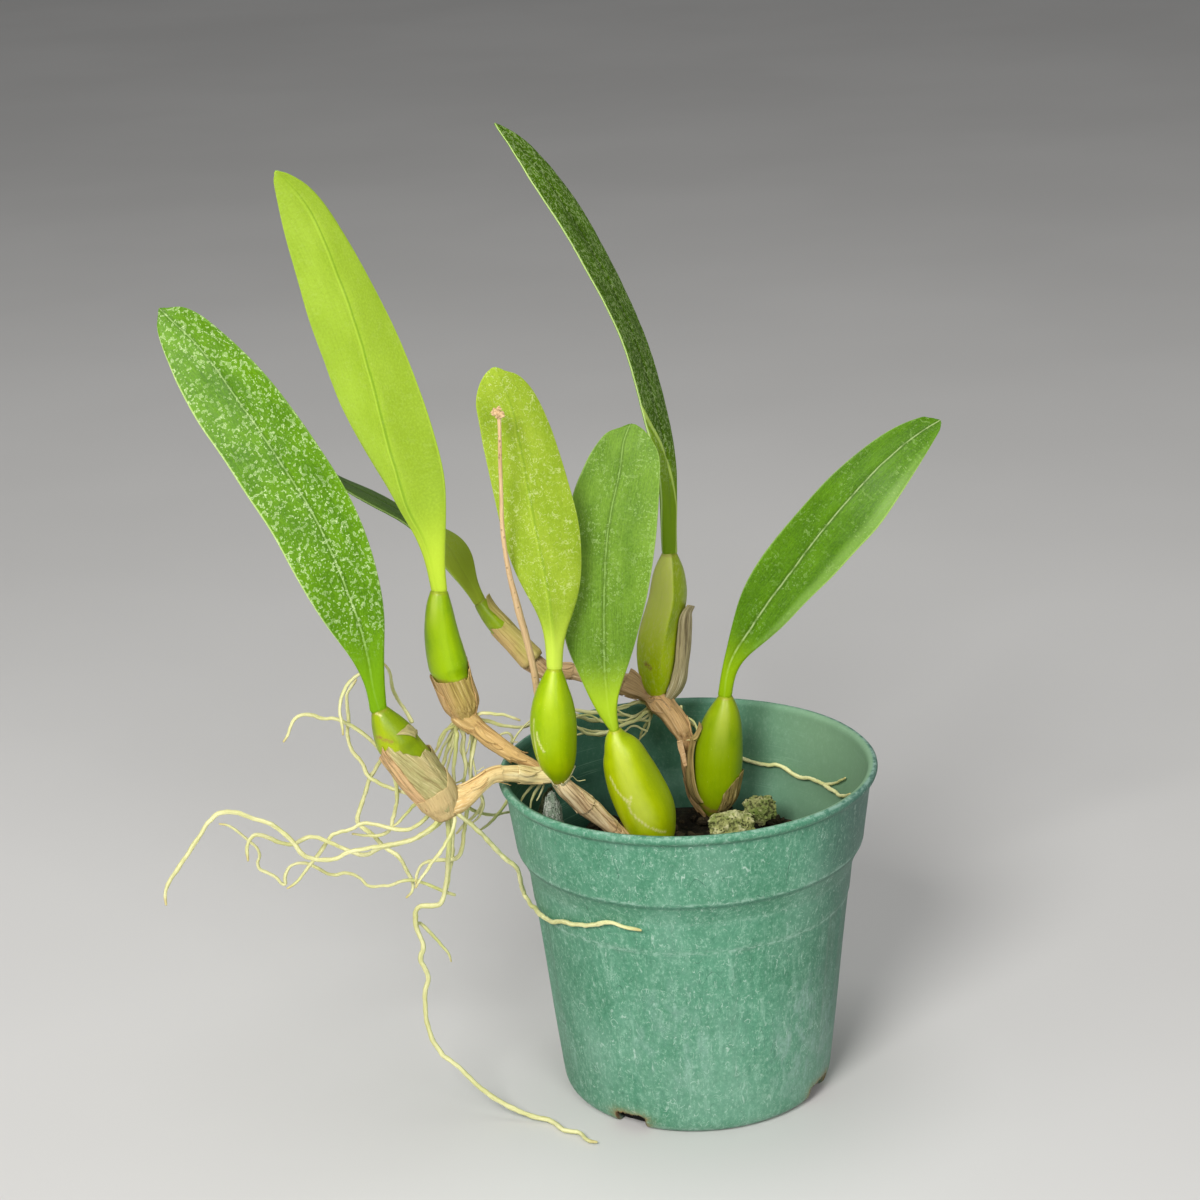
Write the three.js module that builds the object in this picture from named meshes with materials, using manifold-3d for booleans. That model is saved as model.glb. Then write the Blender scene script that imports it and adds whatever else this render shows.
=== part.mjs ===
// Potted bulbophyllum orchid: seven leafy pseudobulbs on a creeping rhizome that has outgrown a round green nursery pot.
// Millimetres, +Z up. The origin is the centre of the pot's flat underside.
import * as THREE from "three";
import { mergeVertices } from "three/addons/utils/BufferGeometryUtils.js";
import Module from "manifold-3d";

const wasm = await Module();
wasm.setup();

// ---------------------------------------------------------------- driving dimensions (mm, degrees)
const POT_RIM_RADIUS = 51.0; // outside of the rounded lip
const POT_HEIGHT = 92.5;
const POT_WALL = 1.2;
const LIP_HEIGHT = 2.6;
const COLLAR_TOP_RADIUS = 49.3;
const COLLAR_FOLD_RADIUS = 46.95; // lower edge of the collar
const COLLAR_FOLD_Z = 71.8;
const BODY_TOP_RADIUS = 43.95; // where the step meets the body
const BODY_TOP_Z = 65.2;
const BODY_FOOT_RADIUS = 36.95;
const BODY_FOOT_Z = 3.2;
const BASE_RADIUS = 33.6; // flat underside
const POT_FLOOR = 1.5;
const POT_SEGMENTS = 40;
const NOTCHES = [
  // drain notches in the foot: angle of the middle, width, height
  [-120.4, 9.2, 4.4],
  [-26.5, 10.4, 4.6],
  [60, 9.2, 4.4],
  [150, 9.2, 4.4],
];
const MEDIUM_GAP = 0.4; // between the medium and the pot
const MEDIUM_EDGE_Z = 62.0;
const MEDIUM_CENTRE_Z = 64.4;
const FIT_GAP = 0.35; // between neighbouring pieces
const SHEATH_THICKNESS = 0.5;
const ROOT_SIDES = 5;
const LEAF_THICKNESS = [
  // share of the leaf's length, thickness at the midrib
  [0, 3.0], [0.03, 2.9], [0.07, 2.6], [0.12, 2.1], [0.19, 1.7], [0.27, 1.5], [0.36, 1.4], [0.7, 1.3], [0.92, 1.1], [1, 0.9],
];

// Leaf stations from the stalk end to the tip: left edge, midrib, right edge (x, y, z each).
const LEAF_STATIONS = {
  a: [
    [-81.28,-25.94,120.46,-78.9,-25.59,120.9,-76.86,-25.49,121.35],
    [-81.25,-26.19,123.42,-79.55,-25.9,123.67,-76.94,-25.74,124.16],
    [-82.15,-26.79,128.74,-80.13,-26.23,128.84,-76.79,-26.25,129.34],
    [-84.59,-27.44,134.94,-80.55,-26.49,135.26,-76.46,-26.62,135.96],
    [-89.15,-28.18,142.29,-82.1,-26.51,143.89,-75.53,-26.76,145.94],
    [-93.72,-28.53,150.76,-84.67,-26.36,153.4,-76.39,-26.69,156.48],
    [-98.29,-27.7,159.97,-88.16,-25.23,163.52,-78.81,-25.6,167.5],
    [-102.94,-25.72,169.55,-92.72,-23.14,174.21,-83.36,-23.53,179.11],
    [-108.61,-23.53,178.46,-98.69,-20.9,184.07,-89.55,-21.3,189.79],
    [-114.53,-20.69,188.15,-104.72,-18.1,193.77,-95.91,-18.51,199.29],
    [-120.71,-17.54,197.02,-111.23,-15.0,203.11,-103.19,-15.42,208.65],
    [-125.44,-14.25,206.4,-117.06,-12.09,211.53,-110.63,-12.49,215.73],
    [-127.74,-11.34,212.23,-122.3,-9.66,217.53,-118.05,-9.97,221.76],
    [-129.3,-9.07,218.02,-126.42,-8.11,220.73,-123.32,-8.24,223.71],
    [-130.03,-7.3,222.2,-129.2,-6.87,223.62,-127.12,-6.91,224.06],
  ],
  b: [
    [-66.33,5.43,142.09,-64.3,5.08,142.38,-62.03,4.92,142.63],
    [-66.78,5.68,145.03,-64.9,5.35,145.35,-62.33,5.15,145.7],
    [-67.47,6.31,149.72,-65.41,5.72,150.27,-62.14,5.67,150.88],
    [-69.06,6.94,155.13,-66.69,6.14,156.29,-61.47,5.99,158.39],
    [-72.2,7.44,162.79,-70.74,6.46,163.76,-60.82,5.96,168.8],
    [-77.26,8.03,171.97,-72.86,6.47,173.43,-61.29,6.1,176.28],
    [-82.41,8.25,181.95,-75.26,6.15,184.3,-63.46,5.95,187.38],
    [-87.41,8.16,193.72,-77.17,5.58,196.47,-66.44,5.63,198.71],
    [-90.51,7.22,205.07,-79.47,4.57,208.5,-70.28,4.76,210.85],
    [-93.29,4.78,216.68,-81.84,2.15,220.62,-74.59,2.49,222.74],
    [-95.03,1.46,228.36,-84.92,-0.85,232.41,-79.25,-0.51,234.43],
    [-96.54,-2.14,238.97,-87.7,-4.14,242.92,-83.71,-3.78,244.53],
    [-97.08,-5.66,246.21,-90.78,-7.23,250.61,-87.97,-6.95,252.48],
    [-97.32,-8.33,251.4,-93.61,-9.38,254.94,-91.97,-9.19,256.47],
    [-97.56,-10.75,257.14,-96.22,-11.08,257.9,-95.44,-11.03,258.35],
  ],
  c: [
    [-57.48,33.06,128.52,-55.87,33.46,129.32,-54.33,33.86,130.09],
    [-58.28,32.51,130.79,-56.85,33.33,131.36,-55.32,34.15,131.98],
    [-60.51,31.57,134.36,-58.55,33.15,134.96,-56.75,34.74,135.49],
    [-63.57,30.11,138.9,-60.55,33.02,139.49,-56.6,35.94,140.53],
    [-66.48,27.87,144.53,-63.28,33.04,145.76,-60.22,38.21,146.9],
    [-70.0,25.83,150.37,-69.21,33.32,150.42,-68.96,40.82,149.62],
    [-76.17,24.34,156.66,-76.23,33.79,155.21,-76.23,43.24,153.83],
    [-83.99,23.75,161.56,-84.27,34.31,160.1,-84.59,44.88,158.55],
    [-91.81,23.92,166.56,-92.53,34.92,164.57,-93.31,45.91,162.47],
    [-99.86,25.08,171.23,-100.58,35.66,169.37,-101.23,46.24,167.59],
    [-107.85,27.05,175.82,-108.44,36.6,174.41,-109.01,46.15,173.04],
    [-115.17,30.11,179.7,-115.59,37.71,178.82,-116.01,45.31,177.96],
    [-120.92,33.53,182.74,-121.12,38.72,182.28,-121.33,43.91,181.8],
    [-124.53,36.47,184.82,-124.59,39.43,184.63,-124.64,42.39,184.45],
    [-127.2,39.5,186.22,-127.25,40.0,186.51,-127.3,40.5,186.8],
  ],
  d: [
    [-35.99,-8.79,124.62,-33.9,-8.51,124.44,-31.82,-8.03,124.19],
    [-36.03,-8.87,126.48,-33.95,-8.6,126.31,-31.8,-8.11,126.06],
    [-35.95,-8.86,129.81,-33.8,-8.77,129.79,-31.41,-8.03,129.53],
    [-36.23,-8.94,133.99,-33.86,-8.89,134.09,-30.54,-7.91,133.9],
    [-37.77,-9.15,139.79,-34.09,-9.15,140.1,-27.73,-7.33,140.02],
    [-40.77,-9.57,146.03,-34.65,-9.44,146.9,-25.91,-6.85,147.38],
    [-43.52,-9.91,153.14,-35.71,-9.69,154.42,-25.45,-6.6,155.23],
    [-45.43,-10.13,161.27,-36.86,-9.87,162.68,-25.84,-6.54,163.59],
    [-46.76,-10.36,169.74,-37.95,-10.04,170.88,-27.4,-6.82,171.43],
    [-47.98,-10.85,177.77,-38.84,-10.42,179.11,-29.26,-7.41,179.81],
    [-49.02,-11.89,186.08,-39.92,-11.39,187.4,-31.41,-8.65,188.03],
    [-49.44,-13.21,193.01,-40.9,-12.67,194.89,-34.12,-10.36,195.91],
    [-49.52,-14.37,198.26,-42.23,-13.83,200.57,-37.29,-12.03,201.81],
    [-49.28,-15.13,201.89,-43.29,-14.6,204.14,-40.39,-13.4,205.02],
    [-47.23,-15.37,207.27,-44.25,-15.17,206.85,-42.05,-14.42,206.32],
  ],
  e: [
    [-20.43,-1.02,103.09,-19.18,-1.09,103.7,-17.89,-1.3,104.38],
    [-21.85,-1.21,105.07,-20.06,-1.3,105.59,-18.29,-1.57,106.18],
    [-23.72,-1.56,108.87,-20.37,-1.54,109.2,-18.24,-2.11,109.64],
    [-25.59,-1.84,113.27,-20.68,-1.81,113.7,-17.54,-2.64,114.3],
    [-27.87,-2.08,119.78,-20.94,-1.95,119.89,-15.16,-3.35,120.53],
    [-30.73,-2.08,127.12,-20.87,-1.91,126.86,-12.88,-3.87,127.4],
    [-31.7,-1.88,135.07,-20.56,-1.63,134.56,-10.68,-3.98,135.01],
    [-31.45,-0.97,143.71,-20.13,-0.62,142.83,-8.5,-3.27,142.95],
    [-30.74,0.33,152.18,-19.49,0.74,150.93,-7.01,-2.06,150.61],
    [-29.33,1.66,161.03,-18.48,2.1,158.97,-5.87,-0.72,157.62],
    [-26.88,3.3,169.71,-16.65,3.7,166.74,-5.16,1.05,164.36],
    [-23.39,4.96,175.54,-14.72,5.31,173.6,-4.77,3.05,172.15],
    [-20.1,6.3,179.92,-14.01,6.65,179.06,-5.46,4.83,178.5],
    [-15.93,7.1,183.74,-13.46,7.54,182.54,-5.92,6.01,179.69],
    [-14.98,8.12,184.04,-11.81,8.2,184.71,-8.93,7.51,184.79],
  ],
  f: [
    [-4.82,28.26,143.31,-2.77,29.06,143.0,-0.73,29.86,142.68],
    [-4.92,28.28,146.62,-2.69,29.34,146.24,-0.76,30.39,145.87],
    [-4.77,28.1,152.08,-2.62,29.73,151.56,-0.7,31.36,151.04],
    [-4.55,27.35,159.03,-2.6,30.12,158.22,-0.47,32.89,157.4],
    [-5.18,25.53,168.78,-2.81,30.52,167.52,-0.33,35.52,166.27],
    [-7.57,23.26,179.25,-4.56,30.81,177.95,-1.45,38.36,176.66],
    [-10.07,21.27,191.3,-7.02,30.96,189.54,-3.93,40.64,187.79],
    [-13.15,19.99,203.76,-10.5,31.0,202.12,-7.57,42.01,200.59],
    [-17.7,19.67,215.5,-14.99,30.87,214.27,-12.23,42.07,213.06],
    [-23.25,19.07,226.54,-20.43,30.11,225.97,-17.72,41.15,225.35],
    [-29.04,18.92,237.56,-26.3,28.78,237.39,-23.38,38.64,237.32],
    [-34.56,19.24,246.71,-32.07,27.2,247.28,-29.71,35.17,247.75],
    [-38.66,20.28,253.94,-37.18,25.78,254.46,-35.36,31.28,255.26],
    [-41.4,21.69,258.55,-40.75,24.79,258.8,-39.46,27.9,259.63],
    [-43.77,23.5,261.86,-43.65,24.0,262.03,-43.54,24.5,262.21],
  ],
  g: [
    [9.22,23.49,103.1,11.29,22.96,103.15,13.06,22.33,103.26],
    [9.65,23.36,106.07,11.48,22.9,106.0,13.37,22.23,106.0],
    [10.46,23.05,110.51,12.13,22.79,110.15,14.31,21.85,109.89],
    [11.81,22.93,116.08,13.79,22.61,115.07,16.72,21.25,113.9],
    [13.76,23.42,123.85,17.91,22.51,120.79,21.85,20.34,118.33],
    [16.24,23.76,131.94,22.14,22.5,127.64,27.94,19.31,124.02],
    [20.6,24.12,139.97,27.6,22.55,134.7,33.88,19.01,130.63],
    [26.64,24.04,148.07,33.44,22.61,142.66,40.91,18.43,137.46],
    [33.1,23.88,155.58,39.45,22.61,150.41,47.32,18.24,144.75],
    [40.11,24.04,163.26,45.79,22.86,157.7,53.36,18.33,150.99],
    [47.42,25.16,169.3,52.34,24.15,164.48,58.98,20.16,158.55],
    [55.05,26.95,174.3,58.77,26.07,169.82,63.49,22.85,164.51],
    [61.54,28.62,177.24,64.14,27.89,173.46,67.15,25.53,169.29],
    [66.22,29.68,178.25,67.85,29.14,175.42,69.56,27.58,172.55],
    [67.46,30.96,178.03,70.86,30.17,176.72,71.85,29.37,175.79],
  ],
};
// Pseudobulb axes from base to neck: x, y, z, radius.
const PSEUDOBULB_AXES = {
  a: [
    [-64.85,-24.0,93.74,4.4],
    [-66.09,-24.15,96.54,5.0],
    [-67.76,-24.3,99.04,5.68],
    [-69.36,-24.45,101.64,6.07],
    [-70.89,-24.61,104.37,6.17],
    [-72.39,-24.77,107.08,6.07],
    [-73.87,-24.91,109.62,5.86],
    [-75.31,-25.07,112.29,5.44],
    [-76.62,-25.22,114.99,4.68],
    [-77.85,-25.36,117.58,3.6],
    [-78.79,-25.5,120.16,2.29],
  ],
  b: [
    [-59.4,4.0,107.11,2.62],
    [-60.13,4.09,110.22,4.23],
    [-61.17,4.19,113.61,4.9],
    [-62.08,4.29,117.11,5.21],
    [-62.92,4.4,120.63,5.36],
    [-63.54,4.5,124.17,5.22],
    [-64.06,4.6,127.54,4.89],
    [-64.42,4.7,131.1,4.49],
    [-64.52,4.8,134.67,4.0],
    [-64.51,4.9,138.2,3.37],
    [-64.25,5.0,141.64,2.4],
  ],
  c: [
    [-42.2,30.0,112.94,3.25],
    [-43.61,30.35,114.47,3.09],
    [-45.01,30.71,116.01,2.99],
    [-46.42,31.06,117.54,2.93],
    [-47.86,31.41,119.05,2.94],
    [-49.29,31.76,120.56,2.95],
    [-50.61,32.1,122.04,2.89],
    [-51.94,32.45,123.63,2.78],
    [-53.2,32.8,125.28,2.59],
    [-54.44,33.15,126.93,2.28],
    [-55.55,33.5,128.65,1.93],
  ],
  d: [
    [-34.11,-8.0,92.26,2.54],
    [-34.24,-8.05,95.14,4.13],
    [-34.57,-8.09,98.24,5.22],
    [-34.83,-8.15,101.52,5.84],
    [-34.99,-8.2,104.83,6.14],
    [-35.03,-8.25,108.16,6.28],
    [-34.93,-8.3,111.3,5.99],
    [-34.78,-8.35,114.55,5.38],
    [-34.6,-8.4,117.67,4.4],
    [-34.26,-8.45,120.72,3.24],
    [-33.94,-8.5,123.7,1.97],
  ],
  e: [
    [-9.25,3.5,66.85,3.84],
    [-9.37,3.09,70.42,5.65],
    [-10.33,2.64,74.11,6.99],
    [-11.21,2.17,77.99,7.74],
    [-12.56,1.68,81.85,7.73],
    [-13.97,1.19,85.61,7.41],
    [-15.17,0.73,89.24,7.08],
    [-16.32,0.25,93.06,6.59],
    [-17.15,-0.23,96.93,5.77],
    [-18.58,-0.65,100.04,4.14],
    [-18.95,-1.0,102.99,1.63],
  ],
  f: [
    [-6.87,28.0,100.42,0.56],
    [-7.73,28.08,103.71,3.4],
    [-7.61,28.18,108.0,4.66],
    [-7.33,28.28,112.47,5.35],
    [-6.86,28.39,116.92,5.58],
    [-5.97,28.49,121.31,5.35],
    [-4.87,28.59,125.41,5.15],
    [-3.63,28.7,129.61,5.22],
    [-3.31,28.8,134.05,4.71],
    [-3.09,28.91,138.39,3.99],
    [-2.79,29.0,142.25,2.05],
  ],
  g: [
    [7.1,27.0,66.17,2.54],
    [7.29,26.66,69.38,4.67],
    [7.98,26.27,72.86,5.96],
    [8.32,25.85,76.75,6.58],
    [8.63,25.42,80.67,6.75],
    [8.81,24.99,84.56,6.8],
    [9.25,24.59,88.23,6.54],
    [9.76,24.16,92.03,6.05],
    [10.41,23.75,95.74,5.25],
    [11.0,23.35,99.22,3.98],
    [11.23,23.0,102.4,2.07],
  ],
};
// Rhizome axes: x, y, z, radius.
const RHIZOME_AXES = {
  rhizome_a_d: [
    [-57.94,-21.53,94.33,2.6],
    [-55.9,-20.12,95.52,2.46],
    [-53.87,-18.64,96.63,2.35],
    [-51.76,-17.1,97.57,2.19],
    [-49.55,-15.6,97.5,2.21],
    [-47.33,-14.1,96.81,2.33],
    [-45.19,-12.57,96.03,2.39],
    [-43.13,-11.03,95.09,2.39],
    [-41.12,-9.46,94.07,2.19],
  ],
  rhizome_b_d: [
    [-55.76,3.21,103.11,2.43],
    [-54.03,2.15,101.79,2.42],
    [-52.24,1.09,100.55,2.39],
    [-50.4,0.03,99.39,2.3],
    [-48.52,-1.02,98.3,2.19],
    [-46.58,-2.08,97.29,2.05],
    [-44.58,-3.12,96.43,1.97],
    [-42.55,-4.17,95.63,1.89],
    [-40.53,-5.22,94.82,1.75],
  ],
  rhizome_d_e: [
    [-31.26,-6.83,87.75,2.47],
    [-29.86,-6.02,86.02,2.53],
    [-28.47,-5.21,84.28,2.56],
    [-27.08,-4.4,82.54,2.55],
    [-25.7,-3.59,80.8,2.51],
    [-24.31,-2.79,79.06,2.44],
    [-22.91,-1.99,77.33,2.33],
    [-21.51,-1.19,75.59,2.2],
    [-20.15,-0.39,73.82,2.09],
  ],
  rhizome_c_f: [
    [-37.92,30.89,108.58,2.47],
    [-34.99,31.4,108.56,2.38],
    [-31.94,31.75,108.35,2.39],
    [-29.01,31.93,107.49,2.45],
    [-26.21,32.0,106.23,2.54],
    [-23.4,31.87,104.94,2.61],
    [-20.44,31.54,104.49,2.79],
    [-17.42,30.98,104.21,2.97],
    [-14.52,30.23,103.64,2.98],
  ],
  rhizome_f_g: [
    [-5.01,28.03,97.17,2.67],
    [-2.79,28.26,93.97,2.85],
    [-1.05,28.7,90.52,2.63],
    [-0.22,29.23,86.76,2.33],
    [-0.02,29.91,82.93,2.16],
    [0.16,30.89,79.16,2.07],
    [0.57,32.12,75.49,2.0],
    [1.08,33.51,71.88,1.92],
    [1.67,35.0,68.33,1.85],
  ],
};
// Dried flower stalk axis from its foot to its knob: x, y, z, radius.
const STALK_AXIS = [
  [-37.37,2.5,95.91,1.03],
  [-38.98,2.06,106.84,1.03],
  [-39.54,-0.19,118.49,1.07],
  [-40.97,-4.01,130.31,1.1],
  [-42.93,-8.77,142.17,1.08],
  [-44.32,-13.53,153.91,0.83],
  [-44.93,-16.71,165.06,0.73],
  [-44.66,-19.29,175.91,0.66],
  [-44.3,-21.19,186.41,0.66],
  [-43.96,-22.0,196.46,0.65],
];
// Root strands: radius, then x, y, z along the strand.
const ROOT_STRANDS = {
  a01: { r: 0.85, p: [
    [-66.92,-26.24,87.53],[-69.58,-27.44,86.13],[-72.44,-28.56,85.08],[-75.47,-29.57,84.6],[-78.6,-30.44,84.57],
    [-81.76,-31.16,84.49],[-84.93,-31.76,84.17],[-88.1,-32.31,83.77],[-91.12,-32.8,82.7],[-94.28,-33.27,82.23],
    [-97.46,-33.69,82.62],[-100.2,-34.09,84.28],[-102.1,-34.45,86.87],[-103.93,-34.79,89.53],[-106.01,-35.14,92.0],
    [-108.51,-35.5,94.0],[-111.45,-35.88,95.34],[-114.31,-36.26,96.83],[-117.4,-36.65,97.66],[-120.62,-37.04,97.73],
    [-123.17,-37.41,95.89],[-125.15,-37.76,93.34],[-127.07,-38.1,90.75],[-128.97,-38.44,88.14],[-130.84,-38.77,85.51],
    [-132.78,-39.09,82.93],[-134.65,-39.4,80.3],[-135.92,-39.7,77.34],[-136.06,-40.0,74.12],
  ] },
  a02: { r: 0.8, p: [
    [-65.8,-21.0,85.95],[-68.26,-22.94,84.8],[-71.07,-24.5,83.91],[-74.15,-25.65,83.33],[-77.42,-25.99,82.75],
    [-80.68,-26.0,82.0],[-83.68,-26.0,80.52],[-86.88,-26.0,80.09],[-89.91,-26.0,81.5],[-92.81,-26.0,83.16],
    [-95.68,-26.0,84.88],[-98.88,-26.01,85.75],[-101.99,-26.07,84.65],[-105.18,-26.25,83.99],[-108.33,-26.5,85.05],
    [-111.27,-26.81,86.63],[-114.46,-27.2,86.74],[-115.81,-27.6,83.8],[-115.83,-28.0,80.48],
  ] },
  a03: { r: 0.75, p: [
    [-68.47,-19.0,87.76],[-70.74,-18.56,85.36],[-73.64,-18.25,83.76],[-76.94,-18.08,83.45],[-80.21,-18.02,84.11],
    [-83.33,-18.1,85.3],[-86.59,-18.49,85.61],[-89.73,-19.08,84.61],[-92.96,-19.71,84.0],[-95.41,-20.35,81.94],
    [-97.4,-20.96,79.33],[-99.6,-21.64,76.91],[-101.76,-22.37,74.47],[-103.86,-23.16,72.0],[-106.59,-24.0,70.29],
  ] },
  a04: { r: 0.62, p: [
    [-63.44,-13.98,62.13],[-66.43,-13.96,63.42],[-69.32,-13.98,64.91],[-72.3,-14.0,66.2],[-75.48,-14.0,66.86],
    [-78.66,-14.0,66.24],[-81.82,-14.0,65.48],[-85.07,-14.0,65.34],[-87.78,-14.0,67.02],[-90.34,-14.0,69.01],
    [-93.48,-14.0,69.61],[-96.68,-14.0,69.28],[-99.52,-14.0,70.86],[-102.34,-14.01,72.51],[-105.51,-14.04,72.89],
    [-108.0,-14.11,70.9],[-108.65,-14.19,67.75],[-109.66,-14.37,67.45],[-111.72,-14.51,69.93],[-114.6,-14.67,71.51],
    [-115.31,-14.89,74.24],[-115.09,-15.08,77.45],[-116.97,-15.31,80.01],[-119.22,-15.53,82.35],[-121.49,-15.76,84.67],
    [-124.49,-16.0,85.86],
  ] },
  a05: { r: 0.72, p: [
    [-80.51,-14.0,104.36],[-82.51,-14.25,106.98],[-84.72,-14.56,109.42],[-87.13,-14.96,111.64],[-89.7,-15.41,113.67],
    [-92.77,-15.94,114.71],[-95.95,-16.52,115.32],[-98.85,-17.23,116.73],[-101.84,-18.1,115.89],[-103.38,-19.01,113.15],
    [-104.98,-20.0,110.45],
  ] },
  a06: { r: 0.72, p: [
    [-81.05,-16.0,128.44],[-83.52,-16.38,127.44],[-85.83,-16.76,126.15],[-87.74,-17.14,124.31],[-88.99,-17.51,121.98],
    [-89.71,-17.89,119.42],[-89.89,-18.26,116.77],[-89.68,-18.63,114.12],[-89.54,-19.0,111.47],
  ] },
  a07: { r: 0.75, p: [
    [-72.02,-14.33,91.92],[-75.13,-13.05,92.07],[-78.25,-12.11,92.77],[-81.33,-11.84,94.1],[-84.24,-11.61,95.76],
    [-85.69,-11.17,98.7],[-87.26,-11.01,101.64],[-88.87,-11.02,104.57],[-89.42,-11.06,107.89],[-89.0,-11.13,111.21],
    [-88.75,-11.25,114.56],[-88.93,-11.43,117.91],[-87.91,-11.68,121.08],[-85.96,-12.0,123.79],
  ] },
  a08: { r: 0.72, p: [
    [-71.7,-15.0,112.64],[-72.84,-14.5,114.88],[-74.13,-14.18,117.09],[-75.32,-14.09,119.37],[-76.17,-14.08,121.79],
    [-76.46,-14.2,124.34],[-76.75,-14.53,126.87],[-77.97,-15.0,129.07],
  ] },
  a09: { r: 0.8, p: [
    [-80.21,-13.0,102.24],[-81.85,-11.54,99.69],[-83.34,-10.19,97.0],[-84.68,-9.16,94.1],[-85.84,-8.41,91.04],
    [-86.98,-8.12,87.89],[-88.2,-8.15,84.75],[-88.73,-8.3,81.48],[-86.29,-8.68,79.29],[-83.91,-9.14,76.98],
    [-81.57,-9.61,74.63],[-78.79,-10.05,72.78],[-76.96,-10.52,70.06],[-75.77,-10.97,66.95],[-74.81,-11.48,63.79],
    [-76.59,-12.0,61.09],
  ] },
  a10: { r: 0.72, p: [
    [-78.0,-14.05,98.31],[-77.29,-14.15,95.9],[-76.97,-14.28,93.41],[-76.99,-14.15,90.9],[-77.53,-13.81,88.47],
    [-78.43,-13.53,86.13],[-78.83,-13.5,83.65],[-79.9,-13.53,81.38],[-82.15,-13.69,80.36],[-84.64,-14.03,80.23],
    [-87.08,-14.49,80.61],[-89.45,-15.0,81.3],
  ] },
  a11: { r: 0.72, p: [
    [-70.63,-16.0,90.86],[-72.37,-15.45,89.18],[-74.04,-14.9,87.44],[-75.63,-14.36,85.63],[-77.15,-13.83,83.76],
    [-79.21,-13.51,82.41],
  ] },
  a13: { r: 0.92, p: [
    [-63.12,-23.5,88.07],[-63.19,-23.02,84.84],[-63.33,-22.54,81.6],[-63.55,-22.06,78.37],[-63.9,-21.58,75.15],
    [-64.34,-21.11,71.94],[-64.87,-20.64,68.74],[-65.65,-20.17,65.6],[-66.98,-19.71,62.64],[-69.92,-19.16,61.72],
    [-73.13,-19.0,61.11],[-74.03,-19.0,58.11],[-73.76,-19.0,54.86],[-72.71,-19.0,51.76],[-72.52,-19.0,48.53],
    [-73.16,-19.0,45.35],[-71.86,-19.0,42.33],[-71.71,-19.01,39.1],[-72.68,-19.08,35.96],[-72.92,-19.43,32.72],
    [-72.84,-19.83,29.47],[-72.52,-20.22,26.24],[-71.75,-20.61,23.08],[-70.33,-21.0,20.17],[-68.19,-21.41,17.73],
    [-65.64,-21.81,15.72],[-63.36,-22.2,13.4],[-61.21,-22.6,10.97],[-58.88,-23.16,8.74],[-56.36,-23.85,6.78],
    [-53.59,-24.62,5.21],[-50.71,-25.44,3.9],[-47.76,-26.25,2.71],[-44.72,-27.02,1.79],[-41.58,-27.74,1.17],
    [-38.88,-29.43,0.97],[-37.23,-32.28,0.97],[-34.66,-34.13,0.97],[-31.81,-35.61,0.97],[-30.42,-38.58,0.97],
    [-27.7,-40.24,0.97],
  ] },
  a14: { r: 0.66, p: [
    [-74.0,-19.0,56.36],[-72.88,-16.89,55.25],[-71.48,-16.32,53.34],[-70.05,-15.85,51.33],[-68.59,-15.37,49.33],
    [-67.2,-14.91,47.28],[-66.08,-14.45,45.08],[-65.67,-14.0,42.64],
  ] },
  a15: { r: 0.8, p: [
    [-62.43,-17.5,84.32],[-62.55,-17.25,81.71],[-62.76,-16.81,79.14],[-63.03,-16.26,76.6],[-63.4,-15.77,74.06],
    [-63.85,-15.8,71.48],[-64.38,-15.91,68.91],[-64.98,-15.8,66.37],[-65.64,-15.61,63.84],
  ] },
  a16: { r: 0.75, p: [
    [-61.0,-27.0,88.94],[-61.93,-27.25,86.53],[-63.06,-27.5,84.21],[-64.44,-27.75,82.02],[-66.0,-28.0,79.96],
    [-67.61,-28.25,77.94],[-69.23,-28.5,75.93],[-70.75,-28.75,73.85],[-72.15,-29.0,71.67],
  ] },
  a17: { r: 0.75, p: [
    [-58.67,-16.0,86.7],[-59.18,-16.18,84.18],[-59.67,-16.35,81.65],[-60.19,-16.54,79.13],[-60.73,-16.94,76.63],
    [-61.99,-17.56,74.6],[-64.54,-17.72,74.18],[-67.11,-17.58,73.97],[-69.67,-17.47,73.64],[-71.92,-17.65,72.46],
    [-72.87,-17.83,70.09],[-73.28,-18.0,67.55],
  ] },
  a18: { r: 0.85, p: [
    [-60.02,-25.0,90.03],[-58.18,-23.58,87.76],[-56.45,-22.17,85.4],[-54.86,-20.79,82.93],[-53.37,-19.43,80.39],
    [-51.99,-18.08,77.78],[-50.63,-16.75,75.14],[-48.99,-15.44,72.67],[-47.11,-14.18,70.34],[-46.0,-12.63,67.75],
    [-45.81,-10.81,65.06],[-45.74,-8.91,62.43],[-45.67,-6.98,59.82],[-45.19,-5.87,57.43],[-44.01,-8.9,57.31],
    [-42.86,-11.94,57.26],[-41.66,-14.95,57.23],[-40.34,-17.92,57.28],[-38.93,-20.84,57.47],[-37.4,-23.67,57.89],
    [-35.83,-26.23,59.1],[-34.06,-28.67,60.29],[-31.94,-31.07,60.81],[-29.67,-33.33,61.34],[-27.35,-35.4,62.26],
    [-24.96,-37.28,63.4],[-22.46,-39.0,64.57],[-19.61,-40.49,64.57],[-16.64,-41.72,64.06],[-13.61,-42.85,63.84],
  ] },
  b01: { r: 0.8, p: [
    [-62.71,6.32,101.95],[-63.89,4.13,102.84],[-65.54,3.58,101.91],[-66.58,3.29,99.84],[-67.33,3.0,97.65],
  ] },
  b02: { r: 0.8, p: [
    [-62.71,6.32,101.95],[-63.22,7.58,99.91],[-64.13,7.66,97.44],[-65.03,7.75,94.99],[-65.89,7.83,92.52],
    [-67.04,7.92,90.18],[-68.54,8.0,88.05],
  ] },
  b03: { r: 0.8, p: [
    [-62.71,6.32,101.95],[-61.84,3.39,102.22],[-61.88,2.67,101.03],[-62.17,2.39,98.54],[-62.45,2.11,96.11],
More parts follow.
